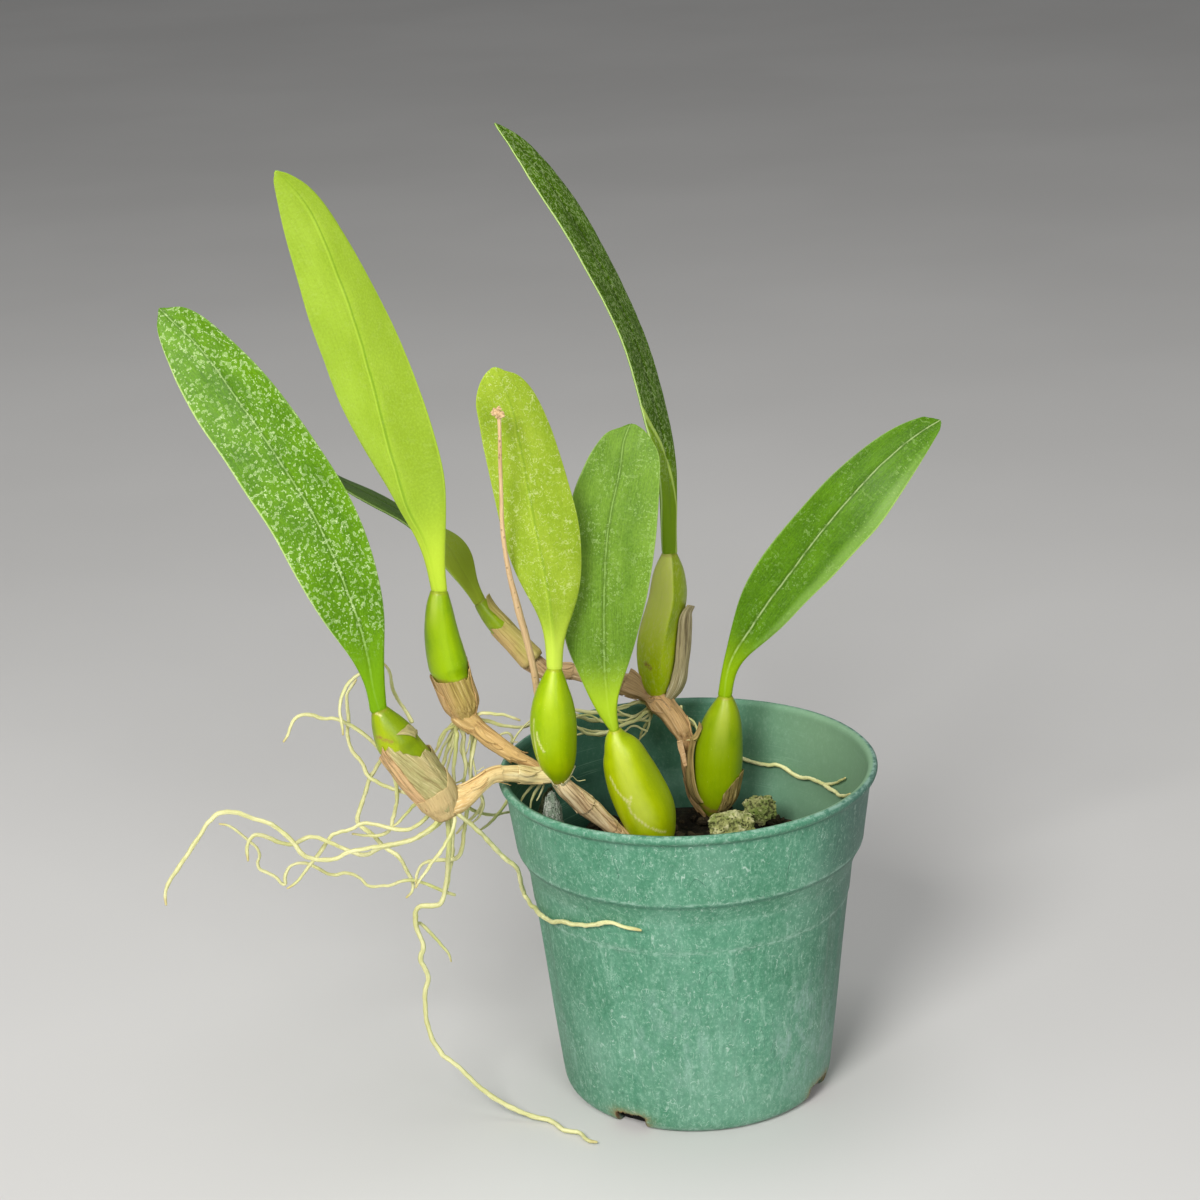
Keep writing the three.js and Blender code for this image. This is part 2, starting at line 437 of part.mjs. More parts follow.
    [-62.76,1.84,93.68],[-62.99,1.56,91.25],[-63.03,1.28,88.8],[-62.99,1.0,86.35],
  ] },
  b04: { r: 0.8, p: [
    [-62.71,6.32,101.95],[-60.2,6.09,100.86],[-60.26,6.21,98.38],[-60.45,6.3,95.81],[-60.01,6.17,93.27],
    [-59.92,6.03,90.71],[-60.55,6.19,88.21],[-61.15,6.59,85.73],[-61.65,6.96,83.23],
  ] },
  b05: { r: 0.78, p: [
    [-57.89,9.0,98.42],[-58.22,8.57,95.08],[-58.69,8.23,91.75],[-59.07,7.51,88.49],[-57.71,5.99,85.84],
    [-56.26,4.52,83.17],[-56.32,2.99,80.23],[-58.36,1.2,78.23],[-60.75,-0.81,76.94],[-62.83,-3.0,75.43],
  ] },
  b06: { r: 0.75, p: [
    [-53.66,4.29,107.24],[-51.4,4.72,106.7],[-49.18,5.15,105.99],[-47.03,5.58,105.11],[-44.94,6.0,104.08],
  ] },
  b07: { r: 0.75, p: [
    [-55.89,8.0,103.99],[-53.5,8.66,102.98],[-51.12,9.31,101.96],[-48.74,9.97,100.94],[-46.25,10.63,100.24],
    [-43.68,11.31,100.13],[-41.26,12.0,101.03],
  ] },
  b08: { r: 0.62, p: [
    [-47.59,12.0,94.81],[-47.64,11.4,97.24],[-49.29,10.68,98.73],[-51.4,9.83,97.91],[-53.54,9.0,98.27],
  ] },
  b10: { r: 0.7, p: [
    [-59.93,3.0,80.4],[-58.77,4.51,78.72],[-57.49,6.1,77.22],[-56.05,7.8,75.99],[-54.48,9.56,75.06],
    [-52.81,11.35,74.4],[-51.11,13.17,73.87],[-49.41,15.0,73.44],
  ] },
  b11: { r: 0.66, p: [
    [-49.32,13.0,78.47],[-50.37,11.14,77.25],[-51.54,9.27,76.15],[-52.83,7.42,75.19],[-54.25,5.58,74.38],
    [-55.82,3.76,73.88],[-57.52,2.0,73.66],
  ] },
  f01: { r: 0.75, p: [
    [-9.47,31.68,95.89],[-11.09,30.04,98.66],[-14.05,29.28,99.19],[-17.14,28.52,98.08],[-20.37,27.68,97.73],
    [-23.59,26.76,97.49],[-26.73,25.7,97.98],[-29.68,24.58,99.12],[-32.64,23.34,100.13],[-35.57,22.0,101.08],
  ] },
  f02: { r: 0.72, p: [
    [-9.47,31.68,95.89],[-11.7,30.94,95.59],[-14.01,30.82,94.63],[-16.46,30.63,94.7],[-18.86,30.38,95.24],
    [-21.27,30.09,94.79],[-23.61,29.72,94.07],[-26.01,29.18,94.25],[-28.24,28.51,95.11],[-30.42,27.76,96.04],
    [-32.6,26.92,96.88],[-34.74,26.0,97.73],
  ] },
  f03: { r: 0.72, p: [
    [-9.47,31.68,95.89],[-10.28,27.69,96.89],[-12.28,26.15,96.33],[-15.23,25.4,94.77],[-18.48,24.61,94.01],
    [-21.62,23.77,92.92],[-24.92,22.87,92.63],[-27.96,21.89,93.62],[-30.43,20.99,95.84],[-33.19,20.0,97.63],
  ] },
  f04: { r: 0.66, p: [
    [-9.47,31.68,95.89],[-9.72,32.86,93.56],[-10.58,33.36,91.35],[-11.94,33.68,89.22],[-12.95,34.0,86.92],
  ] },
  f05: { r: 0.72, p: [
    [0.05,31.9,92.26],[2.48,32.15,90.79],[3.43,32.38,88.21],[1.91,33.0,85.88],
  ] },
  g01: { r: 0.8, p: [
    [14.58,42.75,76.35],[17.62,41.47,75.69],[20.61,40.0,75.29],[23.55,38.38,75.41],[26.35,36.56,75.61],
    [28.8,34.49,74.63],[31.16,32.23,74.07],[33.52,29.87,74.5],[35.69,27.31,74.65],[37.62,24.56,74.64],
    [39.33,21.67,74.56],[40.84,18.67,74.5],[42.17,15.63,74.94],[43.31,12.7,76.1],[44.25,9.87,77.66],
  ] },
  g02: { r: 0.62, p: [
    [37.88,24.15,74.64],[39.27,22.43,75.54],[40.41,20.57,76.52],[41.46,18.73,77.63],[42.41,16.92,78.88],
    [43.27,15.16,80.24],
  ] },
};
// Knots where the bundled root strands meet.
const ROOT_CROWNS = {"b":[-62.71,6.32,101.95],"f":[-9.47,31.68,95.89]};

// ---------------------------------------------------------------- helpers
const V = (x, y, z) => new THREE.Vector3(x, y, z);
const lerpTable = (table, s) => {
  if (s <= table[0][0]) return table[0][1];
  for (let i = 1; i < table.length; i++)
    if (s <= table[i][0]) {
      const [a, va] = table[i - 1], [b, vb] = table[i];
      return va + ((vb - va) * (s - a)) / (b - a);
    }
  return table[table.length - 1][1];
};
// A repeatable number in 0..1 for whole-number keys.
const hash = (a, b = 0, c = 0) => {
  const v = Math.sin(a * 127.1 + b * 311.7 + c * 74.7) * 43758.5453;
  return v - Math.floor(v);
};
const smoothstep = (a, b, v) => {
  const t = Math.min(1, Math.max(0, (v - a) / (b - a)));
  return t * t * (3 - 2 * t);
};

// A closed geometry from vertices and faces, turned so that its faces point out.
function closed(vertices, faces) {
  const g = new THREE.BufferGeometry();
  g.setAttribute("position", new THREE.Float32BufferAttribute(vertices.flatMap((v) => [v.x, v.y, v.z]), 3));
  let volume = 0;
  for (const [a, b, c] of faces)
    volume += vertices[a].dot(new THREE.Vector3().crossVectors(vertices[b], vertices[c]));
  g.setIndex(faces.flatMap(([a, b, c]) => (volume < 0 ? [a, c, b] : [a, b, c])));
  return g;
}

// Skin through equal rings of points, closed by a fan at each end.
function loft(rings, startPoint, endPoint) {
  const n = rings[0].length, vertices = rings.flat(), faces = [];
  for (let i = 0; i + 1 < rings.length; i++)
    for (let j = 0; j < n; j++) {
      const a = i * n + j, b = i * n + ((j + 1) % n), c = a + n, d = b + n;
      faces.push([a, b, d], [a, d, c]);
    }
  const centre = (ring) => ring.reduce((s, p) => s.add(p), V(0, 0, 0)).multiplyScalar(1 / ring.length);
  const first = vertices.length;
  vertices.push(startPoint ?? centre(rings[0]), endPoint ?? centre(rings[rings.length - 1]));
  const last = (rings.length - 1) * n;
  for (let j = 0; j < n; j++) {
    faces.push([first, (j + 1) % n, j], [first + 1, last + j, last + ((j + 1) % n)]);
  }
  return closed(vertices, faces);
}

// Unit tangents along a line of points.
function tangents(points, endDirection) {
  const t = points.map((p, i) =>
    V(0, 0, 0).subVectors(points[Math.min(i + 1, points.length - 1)], points[Math.max(i - 1, 0)]).normalize());
  if (endDirection) t[t.length - 1] = endDirection.clone().normalize();
  return t;
}

// Two directions across each tangent, carried along the line without twist.
function frames(points, tans, reference) {
  let e1 = reference.clone();
  return points.map((_, i) => {
    e1 = e1.clone().addScaledVector(tans[i], -e1.dot(tans[i])).normalize();
    return [e1, new THREE.Vector3().crossVectors(tans[i], e1)];
  });
}

// A round-ended solid along points with a radius at each.
function limb(points, radii, sides, { startCap = 0.5, endCap = 0.5, endDirection = null, reference = V(0.31, -0.9, 0.3) } = {}) {
  const tans = tangents(points, endDirection), fr = frames(points, tans, reference), rings = [];
  const ring = (p, [e1, e2], r) =>
    Array.from({ length: sides }, (_, j) => {
      const a = (2 * Math.PI * j) / sides;
      return p.clone().addScaledVector(e1, r * Math.cos(a)).addScaledVector(e2, r * Math.sin(a));
    });
  const n = points.length - 1;
  if (startCap) rings.push(ring(points[0].clone().addScaledVector(tans[0], -startCap * radii[0] * 0.7), fr[0], radii[0] * 0.66));
  points.forEach((p, i) => rings.push(ring(p, fr[i], radii[i])));
  if (endCap) rings.push(ring(points[n].clone().addScaledVector(tans[n], endCap * radii[n] * 0.7), fr[n], radii[n] * 0.66));
  return loft(
    rings,
    startCap ? points[0].clone().addScaledVector(tans[0], -startCap * radii[0]) : null,
    endCap ? points[n].clone().addScaledVector(tans[n], endCap * radii[n]) : null,
  );
}

// Conversions to and from solids, for joining and cutting.
function solid(geometry) {
  const g = geometry.clone();
  g.deleteAttribute("normal");
  g.deleteAttribute("uv");
  const m = mergeVertices(g, 1e-4), index = m.index.array, tri = [];
  for (let i = 0; i < index.length; i += 3)
    if (index[i] !== index[i + 1] && index[i + 1] !== index[i + 2] && index[i] !== index[i + 2])
      tri.push(index[i], index[i + 1], index[i + 2]);
  return new wasm.Manifold(
    new wasm.Mesh({ numProp: 3, vertProperties: new Float32Array(m.attributes.position.array), triVerts: new Uint32Array(tri) }),
  );
}
function geometryOf(s) {
  const m = s.getMesh(), g = new THREE.BufferGeometry(), v = new Float32Array(m.numVert * 3);
  for (let i = 0; i < m.numVert; i++) v.set(m.vertProperties.subarray(i * m.numProp, i * m.numProp + 3), i * 3);
  g.setAttribute("position", new THREE.BufferAttribute(v, 3));
  g.setIndex(new THREE.BufferAttribute(new Uint32Array(m.triVerts), 1));
  return g;
}
const joined = (...geometries) => geometryOf(geometries.map(solid).reduce((a, b) => a.add(b)));

const group = new THREE.Group();
const add = (name, geometry, colour, roughness, metalness = 0) => {
  geometry.computeVertexNormals();
  const mesh = new THREE.Mesh(geometry, new THREE.MeshStandardMaterial({ color: colour, roughness, metalness }));
  mesh.name = name;
  group.add(mesh);
  return mesh;
};

// ---------------------------------------------------------------- pot
{
  const top = POT_HEIGHT, lip = POT_RIM_RADIUS, w = POT_WALL;
  const outer = [
    [0, 0], [BASE_RADIUS, 0], [BASE_RADIUS + 1.7, 0.5], [BASE_RADIUS + 2.8, 1.6], [BODY_FOOT_RADIUS, BODY_FOOT_Z],
    [BODY_TOP_RADIUS, BODY_TOP_Z], [BODY_TOP_RADIUS + 1.25, BODY_TOP_Z + 3.2], [COLLAR_FOLD_RADIUS - 0.45, COLLAR_FOLD_Z - 1.3],
    [COLLAR_FOLD_RADIUS, COLLAR_FOLD_Z], [COLLAR_TOP_RADIUS, top - LIP_HEIGHT - 0.3],
    [lip - 0.45, top - LIP_HEIGHT + 0.2], [lip, top - 1.4], [lip - 0.35, top - 0.45], [lip - 1.15, top],
  ];
  const inner = [
    [lip - 2.4, top], [lip - 2.95, top - 0.5], [COLLAR_TOP_RADIUS - w - 0.1, top - LIP_HEIGHT],
    [COLLAR_FOLD_RADIUS - w, COLLAR_FOLD_Z + 0.1], [COLLAR_FOLD_RADIUS - w - 0.6, COLLAR_FOLD_Z - 1.6],
    [BODY_TOP_RADIUS - w + 0.9, BODY_TOP_Z + 2.6], [BODY_TOP_RADIUS - w, BODY_TOP_Z],
    [BODY_FOOT_RADIUS - w, BODY_FOOT_Z + 0.2], [BODY_FOOT_RADIUS - w - 0.9, POT_FLOOR + 0.5], [BASE_RADIUS - 0.4, POT_FLOOR], [0, POT_FLOOR],
  ];
  const profile = [...outer, ...inner].map(([r, z]) => new THREE.Vector2(r, z));
  const turned = new THREE.LatheGeometry(profile, POT_SEGMENTS);
  turned.rotateX(Math.PI / 2); // the lathe turns about Y; the pot stands along Z
  let pot = solid(turned);
  if (pot.volume() < 0) {
    const i = turned.index.array;
    for (let k = 0; k < i.length; k += 3) [i[k + 1], i[k + 2]] = [i[k + 2], i[k + 1]];
    pot = solid(turned);
  }
  for (const [angle, width, height] of NOTCHES) {
    const cutter = new THREE.BoxGeometry(9, width, height + 2);
    cutter.translate(36.2, 0, (height + 2) / 2 - 2);
    cutter.rotateZ(THREE.MathUtils.degToRad(angle));
    pot = pot.subtract(solid(cutter));
  }
  add("pot", geometryOf(pot), 0x5f9b82, 0.6);
}

// ---------------------------------------------------------------- potting medium: fills the pot to about 30 mm below the lip
{
  const sides = 36, rings = [];
  const ring = (r, z, rough = 0) =>
    Array.from({ length: sides }, (_, j) => {
      const a = (2 * Math.PI * j) / sides;
      return V(r * Math.cos(a), r * Math.sin(a), z + rough * (hash(j, Math.round(r)) - 0.5));
    });
  const w = POT_WALL + MEDIUM_GAP;
  rings.push(ring(16, POT_FLOOR + MEDIUM_GAP), ring(BASE_RADIUS - 1.2, POT_FLOOR + MEDIUM_GAP));
  rings.push(ring(BODY_FOOT_RADIUS - w, BODY_FOOT_Z + 1.0));
  const wallRadius = (z) => BODY_FOOT_RADIUS - w + ((BODY_TOP_RADIUS - BODY_FOOT_RADIUS) * (z - BODY_FOOT_Z)) / (BODY_TOP_Z - BODY_FOOT_Z);
  for (const z of [33, MEDIUM_EDGE_Z - 0.6]) rings.push(ring(wallRadius(z), z));
  for (const r of [40, 34, 27, 20, 13, 6]) {
    const z = MEDIUM_CENTRE_Z - (MEDIUM_CENTRE_Z - MEDIUM_EDGE_Z) * (r / 42) ** 2;
    rings.push(ring(r, z, r < 39 ? 0.5 : 0.2));
  }
  add("potting_medium", loft(rings, V(0, 0, POT_FLOOR + MEDIUM_GAP), V(0, 0, MEDIUM_CENTRE_Z)), 0x2a2119, 0.95);
}

// ---------------------------------------------------------------- stones and bark chips lying on the medium
function lump(centre, radii, seed, tilt = 0, roughness = 0.16, detail = 2) {
  const g = mergeVertices((() => { const s = new THREE.IcosahedronGeometry(1, detail); s.deleteAttribute("normal"); s.deleteAttribute("uv"); return s; })(), 1e-4);
  const p = g.attributes.position;
  for (let i = 0; i < p.count; i++) {
    const v = V(p.getX(i), p.getY(i), p.getZ(i));
    const bump = 1 + roughness * (Math.sin(v.x * 5.1 + seed) * Math.cos(v.y * 4.3 + seed * 2.3) + 0.6 * Math.sin(v.z * 6.7 + seed * 1.7 + v.x * 3)) ;
    v.multiplyScalar(bump);
    v.multiply(V(...radii));
    v.applyAxisAngle(V(0, 1, 0), tilt);
    p.setXYZ(i, v.x + centre[0], v.y + centre[1], v.z + centre[2]);
  }
  return g;
}
add("pumice_stone_front", lump([11.5, 8.6, 69.9], [6.2, 5.0, 4.3], 1.3, 0, 0.11), 0x9aa05e, 0.95);
add("pumice_stone_rear", lump([19.8, 20.2, 69.4], [4.6, 4.2, 4.1], 2.9, 0, 0.12), 0x7f8c4c, 0.95);
add("grey_bark_chunk_right", lump([-36.4, -5.6, 76.6], [2.75, 2.9, 10.4], 4.1, 0.0, 0.07), 0x7d8377, 0.95);
add("grey_bark_chunk_left", lump([-38.9, 1.6, 76.0], [2.6, 2.7, 9.9], 5.7, -0.22, 0.07), 0x4d5044, 0.95);
add("bark_chip_right", lump([29.5, 7.5, 65.9], [4.6, 3.0, 1.5], 6.2, 0.08, 0.1), 0x2f261d, 0.95);
add("bark_chip_middle", lump([0.5, -13.5, 66.4], [4.2, 2.8, 1.4], 7.4, -0.06, 0.1), 0x332820, 0.95);
add("bark_chip_left", lump([-21.5, 17.5, 66.2], [4.4, 2.7, 1.4], 8.8, 0.07, 0.1), 0x2b231b, 0.95);

// ---------------------------------------------------------------- pseudobulbs and their papery sheaths
// Share of each pseudobulb's length, from its base, that a close sheath covers; the bulb is slimmer there by the sheath.
const CLOSE_SHEATH = { a: 0.71, b: 0.44, c: 0.61 };
const SHEATH_ARCS = {
  // from, to along the bulb; arc from, to round it (0 faces the front, + turns to the right; a full turn is a tube); clearance
  a: { from: -0.08, to: 0.6, arc: [-180, 180], slack: FIT_GAP, outline: true },
  b: { from: -0.05, to: 0.33, arc: [-180, 180], slack: FIT_GAP, outline: true },
  c: { from: -0.02, to: 0.5, arc: [-180, 180], slack: FIT_GAP, outline: true },
  f: { from: 0.1, to: 0.64, arc: [18, 150], slack: 1.5, outline: false },
  g: { from: 0.03, to: 0.3, arc: [12, 165], slack: FIT_GAP + 0.1, outline: false },
};
const TO_FRONT = V(0, -0.93, 0.34); // towards the front and above
const bulbColours = { a: 0xa9b81c, b: 0x9cbb12, c: 0xa8c01a, d: 0xa6bb0a, e: 0xabb816, f: 0x94a61e, g: 0x93a318 };

for (const k of Object.keys(PSEUDOBULB_AXES)) {
  const rows = PSEUDOBULB_AXES[k], points = rows.map(([x, y, z]) => V(x, y, z));
  const st = LEAF_STATIONS[k];
  const leafDirection = V(st[2][3] - st[0][3], st[2][4] - st[0][4], st[2][5] - st[0][5]);
  const under = SHEATH_THICKNESS + FIT_GAP;
  const radii = rows.map(([, , , r], i) => {
    const s = i / (rows.length - 1);
    const cover = CLOSE_SHEATH[k] ? 1 - smoothstep(CLOSE_SHEATH[k] - 0.06, CLOSE_SHEATH[k] + 0.06, s) : 0;
    return Math.max(1.0, r - under * cover);
  });
  add(`pseudobulb_${k}`, limb(points, radii, 12, { startCap: 0.55, endCap: 0, endDirection: leafDirection, reference: TO_FRONT }), bulbColours[k], 0.35);

  const sheath = SHEATH_ARCS[k];
  if (!sheath) continue;
  const tans = tangents(points), fr = frames(points, tans, TO_FRONT);
  const at = (s) => {
    // centre, frame and radius at a share s of the bulb's length, run on past the base for s < 0
    const f = Math.min(rows.length - 1.001, Math.max(0, s * (rows.length - 1))), i = Math.floor(f), t = f - i;
    const p = points[i].clone().lerp(points[i + 1], t);
    const length = points[0].distanceTo(points[points.length - 1]);
    if (s < 0) p.addScaledVector(tans[0], s * length);
    const outline = rows[i][3] + (rows[i + 1][3] - rows[i][3]) * t, body = radii[i] + (radii[i + 1] - radii[i]) * t;
    const shrink = s < 0 ? 1 + s * 3.2 : 1;
    return { p, e1: fr[i][0].clone().lerp(fr[i + 1][0], t).normalize(), e2: fr[i][1].clone().lerp(fr[i + 1][1], t).normalize(),
      r: (sheath.outline ? outline - SHEATH_THICKNESS : body + sheath.slack) * shrink };
  };
  const round = sheath.arc[1] - sheath.arc[0] === 360;
  const across = round ? 12 : 8, along = round ? 6 : 5, vertices = [], faces = [];
  for (const skin of [0, 1])
    for (let i = 0; i <= along; i++)
      for (let j = 0; j <= across; j++) {
        if (round && j === across) continue;
        const ragged = 0.055 * (hash(j, k.charCodeAt(0)) - 0.5);
        const s = sheath.from + (sheath.to + ragged - sheath.from) * (i / along);
        const a = THREE.MathUtils.degToRad(sheath.arc[0] + ((sheath.arc[1] - sheath.arc[0]) * j) / across);
        const { p, e1, e2, r } = at(s);
        const radius = r + skin * SHEATH_THICKNESS;
        vertices.push(p.clone().addScaledVector(e1, radius * Math.cos(a)).addScaledVector(e2, radius * Math.sin(a)));
      }
  const n = round ? across : across + 1, skinSize = n * (along + 1), id = (skin, i, j) => skin * skinSize + i * n + (j % n);
  const quad = (a, b, c, d) => faces.push([a, b, c], [a, c, d]);
  for (let i = 0; i < along; i++)
    for (let j = 0; j < across; j++) {
      quad(id(1, i, j), id(1, i, j + 1), id(1, i + 1, j + 1), id(1, i + 1, j));
      quad(id(0, i, j), id(0, i + 1, j), id(0, i + 1, j + 1), id(0, i, j + 1));
    }
  for (let j = 0; j < across; j++) {
    quad(id(0, 0, j), id(0, 0, j + 1), id(1, 0, j + 1), id(1, 0, j));
    quad(id(0, along, j), id(1, along, j), id(1, along, j + 1), id(0, along, j + 1));
  }
  for (let i = 0; !round && i < along; i++) {
    quad(id(0, i, 0), id(1, i, 0), id(1, i + 1, 0), id(0, i + 1, 0));
    quad(id(0, i, across), id(0, i + 1, across), id(1, i + 1, across), id(1, i, across));
  }
  add(`sheath_${k}`, closed(vertices, faces), 0xc2a877, 0.85);
}

// ---------------------------------------------------------------- leaves
const leafColours = { a: 0x4f9a20, b: 0x9fc93a, c: 0x6f9a35, d: 0x9bc23c, e: 0x64a03c, f: 0x3f7a22, g: 0x5a9a2c };
for (const k of Object.keys(LEAF_STATIONS)) {
  const rows = LEAF_STATIONS[k].map((s) => [V(s[0], s[1], s[2]), V(s[3], s[4], s[5]), V(s[6], s[7], s[8])]);
  const mids = rows.map((r) => r[1]), tans = tangents(mids);
  const length = [0];
  for (let i = 1; i < mids.length; i++) length.push(length[i - 1] + mids[i].distanceTo(mids[i - 1]));
  const rings = rows.map(([l, m, r], i) => {
    const across = r.clone().sub(l).normalize(), normal = new THREE.Vector3().crossVectors(tans[i], across).normalize();
    const half = lerpTable(LEAF_THICKNESS, length[i] / length[length.length - 1]) / 2;
    const ql = l.clone().lerp(m, 0.42), qr = r.clone().lerp(m, 0.42);
    const up = (p, h) => p.clone().addScaledVector(normal, h);
    return [l, up(ql, half * 0.8), up(m, half), up(qr, half * 0.8), r, up(qr, -half * 0.8), up(m, -half), up(ql, -half * 0.8)];
  });
  add(`leaf_${k}`, loft(rings), leafColours[k], 0.4);
}

// ---------------------------------------------------------------- rhizomes and the dried flower stalk
for (const [name, rows] of Object.entries(RHIZOME_AXES))
  add(name, limb(rows.map(([x, y, z]) => V(x, y, z)), rows.map((r) => r[3]), 8, { startCap: 0.4, endCap: 0.4 }), 0xc79d63, 0.85);
{
  const points = STALK_AXIS.map(([x, y, z]) => V(x, y, z)), radii = STALK_AXIS.map((r) => r[3]);
  const top = points[points.length - 1];
  add("flower_stalk", joined(limb(points, radii, 6), lump([top.x, top.y, top.z + 0.6], [1.6, 1.5, 1.3], 3.3, 0, 0.12, 1)), 0xd6b98a, 0.85);
}

// ---------------------------------------------------------------- roots
const strand = (k) => limb(ROOT_STRANDS[k].p.map((p) => V(...p)), ROOT_STRANDS[k].p.map(() => ROOT_STRANDS[k].r), ROOT_SIDES, { startCap: 0.4, endCap: 0.6 });
const crown = (centre, radii) => lump(centre, radii, 2.2, 0, 0.05, 1);
const rootColour = 0xd9d49a;
const ROOT_NODES = {
  root_a_far_left: ["a01"], root_a_left_hook: ["a02"], root_a_left_upper: ["a03"], root_a_thin_loop: ["a04"],
  root_a_side_hook: ["a05"], root_a_behind_leaf: ["a06"], root_a_behind_sheath: ["a07"], root_a_beside_leaf: ["a08"],
  root_a_swing: ["a09"], root_a_forked: ["a10", "a11"], root_to_ground: ["a13", "a14"], root_a_straight: ["a15"],
  root_a_front: ["a16"], root_a_bent: ["a17"], root_on_pot: ["a18"],
  root_b_right_upper: ["b06"], root_b_right_lower: ["b07"], root_b_long: ["b05"], root_b_loop: ["b08"], root_b_cross_left: ["b10"], root_b_cross_right: ["b11"],
  root_f_right: ["f05"], root_on_inner_wall: ["g01", "g02"],
};
for (const [name, keys] of Object.entries(ROOT_NODES))
  add(name, keys.length === 1 ? strand(keys[0]) : joined(...keys.map(strand)), rootColour, 0.75);
add("roots_b_bundle", joined(crown(ROOT_CROWNS.b, [2.3, 2.2, 1.3]), ...["b01", "b02", "b03", "b04"].map(strand)), rootColour, 0.75);
add("roots_f_bundle", joined(crown(ROOT_CROWNS.f, [1.8, 2.2, 1.6]), ...["f01", "f02", "f03", "f04"].map(strand)), rootColour, 0.75);

export default group;
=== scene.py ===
# Potted bulbophyllum orchid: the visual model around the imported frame. Metres in the scene; the tables below are in millimetres, in the frame's own axes.
import math

import bmesh
import bpy
import numpy as np
from mathutils import Matrix, Vector
from mathutils.bvhtree import BVHTree


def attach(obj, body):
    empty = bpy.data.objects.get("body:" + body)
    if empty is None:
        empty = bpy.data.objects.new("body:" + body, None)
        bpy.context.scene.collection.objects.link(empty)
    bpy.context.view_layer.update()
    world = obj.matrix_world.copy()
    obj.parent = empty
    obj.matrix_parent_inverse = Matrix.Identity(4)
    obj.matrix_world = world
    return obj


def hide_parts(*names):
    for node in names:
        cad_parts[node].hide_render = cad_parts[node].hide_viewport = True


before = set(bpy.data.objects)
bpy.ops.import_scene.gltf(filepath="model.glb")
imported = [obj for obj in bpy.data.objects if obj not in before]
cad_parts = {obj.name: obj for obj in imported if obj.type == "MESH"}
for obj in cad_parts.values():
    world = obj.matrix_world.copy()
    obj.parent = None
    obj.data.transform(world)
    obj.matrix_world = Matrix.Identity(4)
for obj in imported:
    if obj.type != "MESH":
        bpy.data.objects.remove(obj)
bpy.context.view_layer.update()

MM = 0.001

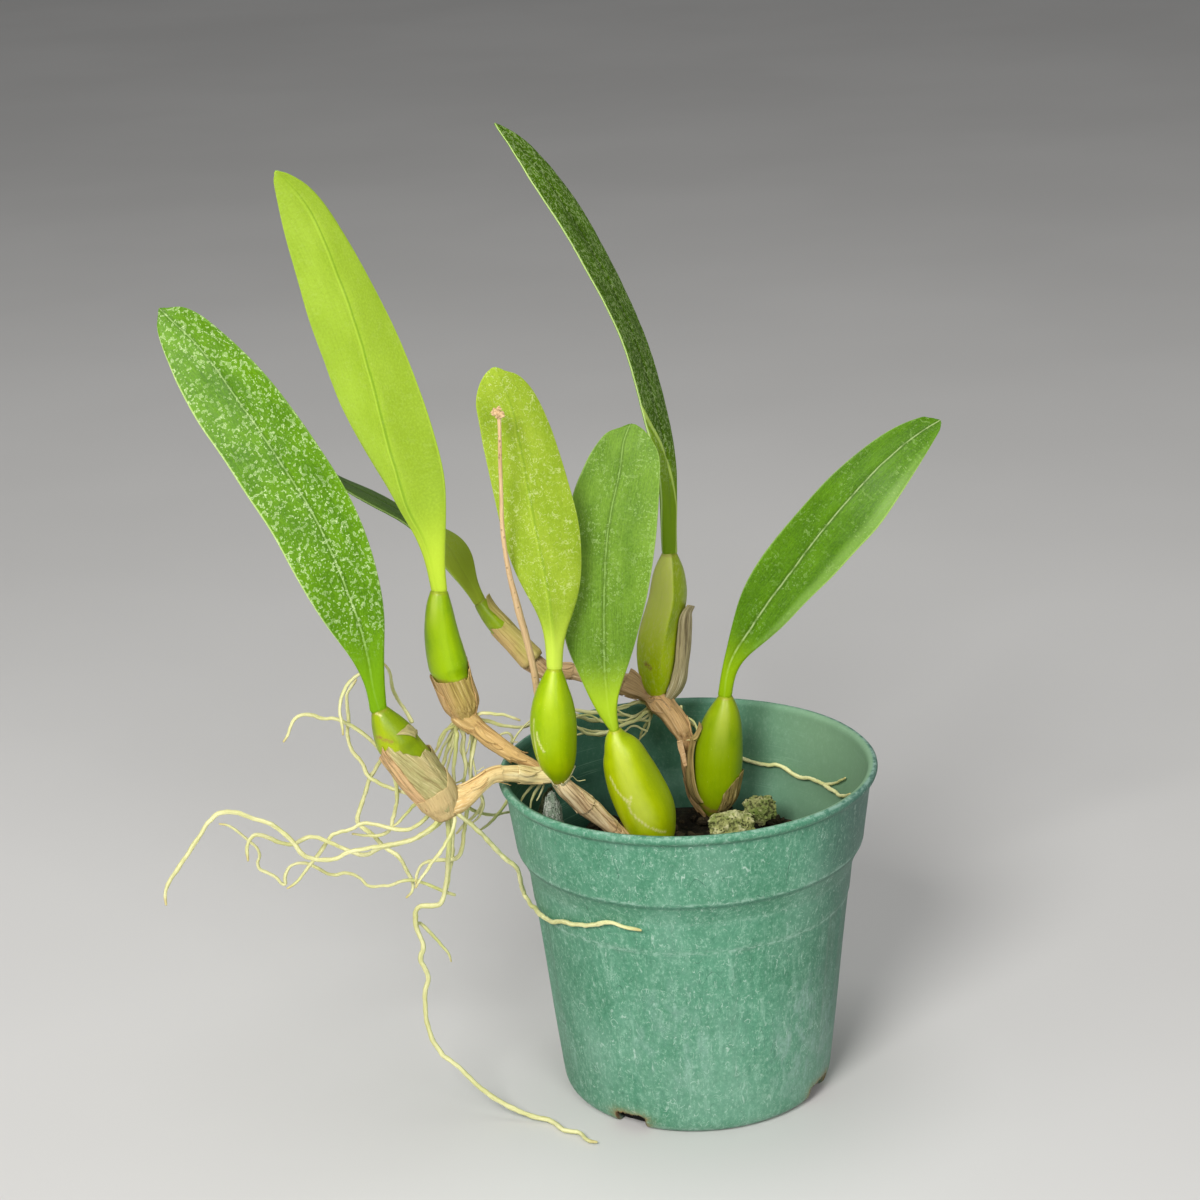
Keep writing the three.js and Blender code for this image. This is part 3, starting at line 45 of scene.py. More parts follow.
# Leaf stations from the stalk end to the tip: left edge, midrib, right edge.
LEAF_STATIONS = {
    "a": [[-81.28, -25.94, 120.46, -78.9, -25.59, 120.9, -76.86, -25.49, 121.35], [-81.25, -26.19, 123.42, -79.55, -25.9, 123.67, -76.94, -25.74, 124.16], [-82.15, -26.79, 128.74, -80.13, -26.23, 128.84, -76.79, -26.25, 129.34], [-84.59, -27.44, 134.94, -80.55, -26.49, 135.26, -76.46, -26.62, 135.96], [-89.15, -28.18, 142.29, -82.1, -26.51, 143.89, -75.53, -26.76, 145.94], [-93.72, -28.53, 150.76, -84.67, -26.36, 153.4, -76.39, -26.69, 156.48], [-98.29, -27.7, 159.97, -88.16, -25.23, 163.52, -78.81, -25.6, 167.5], [-102.94, -25.72, 169.55, -92.72, -23.14, 174.21, -83.36, -23.53, 179.11], [-108.61, -23.53, 178.46, -98.69, -20.9, 184.07, -89.55, -21.3, 189.79], [-114.53, -20.69, 188.15, -104.72, -18.1, 193.77, -95.91, -18.51, 199.29], [-120.71, -17.54, 197.02, -111.23, -15, 203.11, -103.19, -15.42, 208.65], [-125.44, -14.25, 206.4, -117.06, -12.09, 211.53, -110.63, -12.49, 215.73], [-127.74, -11.34, 212.23, -122.3, -9.66, 217.53, -118.05, -9.97, 221.76], [-129.3, -9.07, 218.02, -126.42, -8.11, 220.73, -123.32, -8.24, 223.71], [-130.03, -7.3, 222.2, -129.2, -6.87, 223.62, -127.12, -6.91, 224.06]],
    "b": [[-66.33, 5.43, 142.09, -64.3, 5.08, 142.38, -62.03, 4.92, 142.63], [-66.78, 5.68, 145.03, -64.9, 5.35, 145.35, -62.33, 5.15, 145.7], [-67.47, 6.31, 149.72, -65.41, 5.72, 150.27, -62.14, 5.67, 150.88], [-69.06, 6.94, 155.13, -66.69, 6.14, 156.29, -61.47, 5.99, 158.39], [-72.2, 7.44, 162.79, -70.74, 6.46, 163.76, -60.82, 5.96, 168.8], [-77.26, 8.03, 171.97, -72.86, 6.47, 173.43, -61.29, 6.1, 176.28], [-82.41, 8.25, 181.95, -75.26, 6.15, 184.3, -63.46, 5.95, 187.38], [-87.41, 8.16, 193.72, -77.17, 5.58, 196.47, -66.44, 5.63, 198.71], [-90.51, 7.22, 205.07, -79.47, 4.57, 208.5, -70.28, 4.76, 210.85], [-93.29, 4.78, 216.68, -81.84, 2.15, 220.62, -74.59, 2.49, 222.74], [-95.03, 1.46, 228.36, -84.92, -0.85, 232.41, -79.25, -0.51, 234.43], [-96.54, -2.14, 238.97, -87.7, -4.14, 242.92, -83.71, -3.78, 244.53], [-97.08, -5.66, 246.21, -90.78, -7.23, 250.61, -87.97, -6.95, 252.48], [-97.32, -8.33, 251.4, -93.61, -9.38, 254.94, -91.97, -9.19, 256.47], [-97.56, -10.75, 257.14, -96.22, -11.08, 257.9, -95.44, -11.03, 258.35]],
    "c": [[-57.48, 33.06, 128.52, -55.87, 33.46, 129.32, -54.33, 33.86, 130.09], [-58.28, 32.51, 130.79, -56.85, 33.33, 131.36, -55.32, 34.15, 131.98], [-60.51, 31.57, 134.36, -58.55, 33.15, 134.96, -56.75, 34.74, 135.49], [-63.57, 30.11, 138.9, -60.55, 33.02, 139.49, -56.6, 35.94, 140.53], [-66.48, 27.87, 144.53, -63.28, 33.04, 145.76, -60.22, 38.21, 146.9], [-70, 25.83, 150.37, -69.21, 33.32, 150.42, -68.96, 40.82, 149.62], [-76.17, 24.34, 156.66, -76.23, 33.79, 155.21, -76.23, 43.24, 153.83], [-83.99, 23.75, 161.56, -84.27, 34.31, 160.1, -84.59, 44.88, 158.55], [-91.81, 23.92, 166.56, -92.53, 34.92, 164.57, -93.31, 45.91, 162.47], [-99.86, 25.08, 171.23, -100.58, 35.66, 169.37, -101.23, 46.24, 167.59], [-107.85, 27.05, 175.82, -108.44, 36.6, 174.41, -109.01, 46.15, 173.04], [-115.17, 30.11, 179.7, -115.59, 37.71, 178.82, -116.01, 45.31, 177.96], [-120.92, 33.53, 182.74, -121.12, 38.72, 182.28, -121.33, 43.91, 181.8], [-124.53, 36.47, 184.82, -124.59, 39.43, 184.63, -124.64, 42.39, 184.45], [-127.2, 39.5, 186.22, -127.25, 40, 186.51, -127.3, 40.5, 186.8]],
    "d": [[-35.99, -8.79, 124.62, -33.9, -8.51, 124.44, -31.82, -8.03, 124.19], [-36.03, -8.87, 126.48, -33.95, -8.6, 126.31, -31.8, -8.11, 126.06], [-35.95, -8.86, 129.81, -33.8, -8.77, 129.79, -31.41, -8.03, 129.53], [-36.23, -8.94, 133.99, -33.86, -8.89, 134.09, -30.54, -7.91, 133.9], [-37.77, -9.15, 139.79, -34.09, -9.15, 140.1, -27.73, -7.33, 140.02], [-40.77, -9.57, 146.03, -34.65, -9.44, 146.9, -25.91, -6.85, 147.38], [-43.52, -9.91, 153.14, -35.71, -9.69, 154.42, -25.45, -6.6, 155.23], [-45.43, -10.13, 161.27, -36.86, -9.87, 162.68, -25.84, -6.54, 163.59], [-46.76, -10.36, 169.74, -37.95, -10.04, 170.88, -27.4, -6.82, 171.43], [-47.98, -10.85, 177.77, -38.84, -10.42, 179.11, -29.26, -7.41, 179.81], [-49.02, -11.89, 186.08, -39.92, -11.39, 187.4, -31.41, -8.65, 188.03], [-49.44, -13.21, 193.01, -40.9, -12.67, 194.89, -34.12, -10.36, 195.91], [-49.52, -14.37, 198.26, -42.23, -13.83, 200.57, -37.29, -12.03, 201.81], [-49.28, -15.13, 201.89, -43.29, -14.6, 204.14, -40.39, -13.4, 205.02], [-47.23, -15.37, 207.27, -44.25, -15.17, 206.85, -42.05, -14.42, 206.32]],
    "e": [[-20.43, -1.02, 103.09, -19.18, -1.09, 103.7, -17.89, -1.3, 104.38], [-21.85, -1.21, 105.07, -20.06, -1.3, 105.59, -18.29, -1.57, 106.18], [-23.72, -1.56, 108.87, -20.37, -1.54, 109.2, -18.24, -2.11, 109.64], [-25.59, -1.84, 113.27, -20.68, -1.81, 113.7, -17.54, -2.64, 114.3], [-27.87, -2.08, 119.78, -20.94, -1.95, 119.89, -15.16, -3.35, 120.53], [-30.73, -2.08, 127.12, -20.87, -1.91, 126.86, -12.88, -3.87, 127.4], [-31.7, -1.88, 135.07, -20.56, -1.63, 134.56, -10.68, -3.98, 135.01], [-31.45, -0.97, 143.71, -20.13, -0.62, 142.83, -8.5, -3.27, 142.95], [-30.74, 0.33, 152.18, -19.49, 0.74, 150.93, -7.01, -2.06, 150.61], [-29.33, 1.66, 161.03, -18.48, 2.1, 158.97, -5.87, -0.72, 157.62], [-26.88, 3.3, 169.71, -16.65, 3.7, 166.74, -5.16, 1.05, 164.36], [-23.39, 4.96, 175.54, -14.72, 5.31, 173.6, -4.77, 3.05, 172.15], [-20.1, 6.3, 179.92, -14.01, 6.65, 179.06, -5.46, 4.83, 178.5], [-15.93, 7.1, 183.74, -13.46, 7.54, 182.54, -5.92, 6.01, 179.69], [-14.98, 8.12, 184.04, -11.81, 8.2, 184.71, -8.93, 7.51, 184.79]],
    "f": [[-4.82, 28.26, 143.31, -2.77, 29.06, 143, -0.73, 29.86, 142.68], [-4.92, 28.28, 146.62, -2.69, 29.34, 146.24, -0.76, 30.39, 145.87], [-4.77, 28.1, 152.08, -2.62, 29.73, 151.56, -0.7, 31.36, 151.04], [-4.55, 27.35, 159.03, -2.6, 30.12, 158.22, -0.47, 32.89, 157.4], [-5.18, 25.53, 168.78, -2.81, 30.52, 167.52, -0.33, 35.52, 166.27], [-7.57, 23.26, 179.25, -4.56, 30.81, 177.95, -1.45, 38.36, 176.66], [-10.07, 21.27, 191.3, -7.02, 30.96, 189.54, -3.93, 40.64, 187.79], [-13.15, 19.99, 203.76, -10.5, 31, 202.12, -7.57, 42.01, 200.59], [-17.7, 19.67, 215.5, -14.99, 30.87, 214.27, -12.23, 42.07, 213.06], [-23.25, 19.07, 226.54, -20.43, 30.11, 225.97, -17.72, 41.15, 225.35], [-29.04, 18.92, 237.56, -26.3, 28.78, 237.39, -23.38, 38.64, 237.32], [-34.56, 19.24, 246.71, -32.07, 27.2, 247.28, -29.71, 35.17, 247.75], [-38.66, 20.28, 253.94, -37.18, 25.78, 254.46, -35.36, 31.28, 255.26], [-41.4, 21.69, 258.55, -40.75, 24.79, 258.8, -39.46, 27.9, 259.63], [-43.77, 23.5, 261.86, -43.65, 24, 262.03, -43.54, 24.5, 262.21]],
    "g": [[9.22, 23.49, 103.1, 11.29, 22.96, 103.15, 13.06, 22.33, 103.26], [9.65, 23.36, 106.07, 11.48, 22.9, 106, 13.37, 22.23, 106], [10.46, 23.05, 110.51, 12.13, 22.79, 110.15, 14.31, 21.85, 109.89], [11.81, 22.93, 116.08, 13.79, 22.61, 115.07, 16.72, 21.25, 113.9], [13.76, 23.42, 123.85, 17.91, 22.51, 120.79, 21.85, 20.34, 118.33], [16.24, 23.76, 131.94, 22.14, 22.5, 127.64, 27.94, 19.31, 124.02], [20.6, 24.12, 139.97, 27.6, 22.55, 134.7, 33.88, 19.01, 130.63], [26.64, 24.04, 148.07, 33.44, 22.61, 142.66, 40.91, 18.43, 137.46], [33.1, 23.88, 155.58, 39.45, 22.61, 150.41, 47.32, 18.24, 144.75], [40.11, 24.04, 163.26, 45.79, 22.86, 157.7, 53.36, 18.33, 150.99], [47.42, 25.16, 169.3, 52.34, 24.15, 164.48, 58.98, 20.16, 158.55], [55.05, 26.95, 174.3, 58.77, 26.07, 169.82, 63.49, 22.85, 164.51], [61.54, 28.62, 177.24, 64.14, 27.89, 173.46, 67.15, 25.53, 169.29], [66.22, 29.68, 178.25, 67.85, 29.14, 175.42, 69.56, 27.58, 172.55], [67.46, 30.96, 178.03, 70.86, 30.17, 176.72, 71.85, 29.37, 175.79]],
}
# Pseudobulb axes from base to top: x, y, z, radius.
BULB_AXES = {
    "a": [[-64.85, -24, 93.74, 4.4], [-66.09, -24.15, 96.54, 5], [-67.76, -24.3, 99.04, 5.68], [-69.36, -24.45, 101.64, 6.07], [-70.89, -24.61, 104.37, 6.17], [-72.39, -24.77, 107.08, 6.07], [-73.87, -24.91, 109.62, 5.86], [-75.31, -25.07, 112.29, 5.44], [-76.62, -25.22, 114.99, 4.68], [-77.85, -25.36, 117.58, 3.6], [-78.79, -25.5, 120.16, 2.29]],
    "b": [[-59.4, 4, 107.11, 2.62], [-60.13, 4.09, 110.22, 4.23], [-61.17, 4.19, 113.61, 4.9], [-62.08, 4.29, 117.11, 5.21], [-62.92, 4.4, 120.63, 5.36], [-63.54, 4.5, 124.17, 5.22], [-64.06, 4.6, 127.54, 4.89], [-64.42, 4.7, 131.1, 4.49], [-64.52, 4.8, 134.67, 4], [-64.51, 4.9, 138.2, 3.37], [-64.25, 5, 141.64, 2.4]],
    "c": [[-42.2, 30, 112.94, 3.25], [-43.61, 30.35, 114.47, 3.09], [-45.01, 30.71, 116.01, 2.99], [-46.42, 31.06, 117.54, 2.93], [-47.86, 31.41, 119.05, 2.94], [-49.29, 31.76, 120.56, 2.95], [-50.61, 32.1, 122.04, 2.89], [-51.94, 32.45, 123.63, 2.78], [-53.2, 32.8, 125.28, 2.59], [-54.44, 33.15, 126.93, 2.28], [-55.55, 33.5, 128.65, 1.93]],
    "d": [[-34.11, -8, 92.26, 2.54], [-34.24, -8.05, 95.14, 4.13], [-34.57, -8.09, 98.24, 5.22], [-34.83, -8.15, 101.52, 5.84], [-34.99, -8.2, 104.83, 6.14], [-35.03, -8.25, 108.16, 6.28], [-34.93, -8.3, 111.3, 5.99], [-34.78, -8.35, 114.55, 5.38], [-34.6, -8.4, 117.67, 4.4], [-34.26, -8.45, 120.72, 3.24], [-33.94, -8.5, 123.7, 1.97]],
    "e": [[-9.25, 3.5, 66.85, 3.84], [-9.37, 3.09, 70.42, 5.65], [-10.33, 2.64, 74.11, 6.99], [-11.21, 2.17, 77.99, 7.74], [-12.56, 1.68, 81.85, 7.73], [-13.97, 1.19, 85.61, 7.41], [-15.17, 0.73, 89.24, 7.08], [-16.32, 0.25, 93.06, 6.59], [-17.15, -0.23, 96.93, 5.77], [-18.58, -0.65, 100.04, 4.14], [-18.95, -1, 102.99, 1.63]],
    "f": [[-6.87, 28, 100.42, 0.56], [-7.73, 28.08, 103.71, 3.4], [-7.61, 28.18, 108, 4.66], [-7.33, 28.28, 112.47, 5.35], [-6.86, 28.39, 116.92, 5.58], [-5.97, 28.49, 121.31, 5.35], [-4.87, 28.59, 125.41, 5.15], [-3.63, 28.7, 129.61, 5.22], [-3.31, 28.8, 134.05, 4.71], [-3.09, 28.91, 138.39, 3.99], [-2.79, 29, 142.25, 2.05]],
    "g": [[7.1, 27, 66.17, 2.54], [7.29, 26.66, 69.38, 4.67], [7.98, 26.27, 72.86, 5.96], [8.32, 25.85, 76.75, 6.58], [8.63, 25.42, 80.67, 6.75], [8.81, 24.99, 84.56, 6.8], [9.25, 24.59, 88.23, 6.54], [9.76, 24.16, 92.03, 6.05], [10.41, 23.75, 95.74, 5.25], [11, 23.35, 99.22, 3.98], [11.23, 23, 102.4, 2.07]],
}
# Rhizome axes: x, y, z, radius.
RHIZOME_AXES = {
    "rhizome_a_d": [[-57.94, -21.53, 94.33, 2.6], [-55.9, -20.12, 95.52, 2.46], [-53.87, -18.64, 96.63, 2.35], [-51.76, -17.1, 97.57, 2.19], [-49.55, -15.6, 97.5, 2.21], [-47.33, -14.1, 96.81, 2.33], [-45.19, -12.57, 96.03, 2.39], [-43.13, -11.03, 95.09, 2.39], [-41.12, -9.46, 94.07, 2.19]],
    "rhizome_b_d": [[-55.76, 3.21, 103.11, 2.43], [-54.03, 2.15, 101.79, 2.42], [-52.24, 1.09, 100.55, 2.39], [-50.4, 0.03, 99.39, 2.3], [-48.52, -1.02, 98.3, 2.19], [-46.58, -2.08, 97.29, 2.05], [-44.58, -3.12, 96.43, 1.97], [-42.55, -4.17, 95.63, 1.89], [-40.53, -5.22, 94.82, 1.75]],
    "rhizome_d_e": [[-31.26, -6.83, 87.75, 2.47], [-29.86, -6.02, 86.02, 2.53], [-28.47, -5.21, 84.28, 2.56], [-27.08, -4.4, 82.54, 2.55], [-25.7, -3.59, 80.8, 2.51], [-24.31, -2.79, 79.06, 2.44], [-22.91, -1.99, 77.33, 2.33], [-21.51, -1.19, 75.59, 2.2], [-20.15, -0.39, 73.82, 2.09]],
    "rhizome_c_f": [[-37.92, 30.89, 108.58, 2.47], [-34.99, 31.4, 108.56, 2.38], [-31.94, 31.75, 108.35, 2.39], [-29.01, 31.93, 107.49, 2.45], [-26.21, 32, 106.23, 2.54], [-23.4, 31.87, 104.94, 2.61], [-20.44, 31.54, 104.49, 2.79], [-17.42, 30.98, 104.21, 2.97], [-14.52, 30.23, 103.64, 2.98]],
    "rhizome_f_g": [[-5.01, 28.03, 97.17, 2.67], [-2.79, 28.26, 93.97, 2.85], [-1.05, 28.7, 90.52, 2.63], [-0.22, 29.23, 86.76, 2.33], [-0.02, 29.91, 82.93, 2.16], [0.16, 30.89, 79.16, 2.07], [0.57, 32.12, 75.49, 2], [1.08, 33.51, 71.88, 1.92], [1.67, 35, 68.33, 1.85]],
}
# The dried flower stalk: x, y, z, radius.
STALK_AXIS = [[-37.37, 2.5, 95.91, 1.03], [-38.98, 2.06, 106.84, 1.03], [-39.54, -0.19, 118.49, 1.07], [-40.97, -4.01, 130.31, 1.1], [-42.93, -8.77, 142.17, 1.08], [-44.32, -13.53, 153.91, 0.83], [-44.93, -16.71, 165.06, 0.73], [-44.66, -19.29, 175.91, 0.66], [-44.3, -21.19, 186.41, 0.66], [-43.96, -22, 196.46, 0.65]]
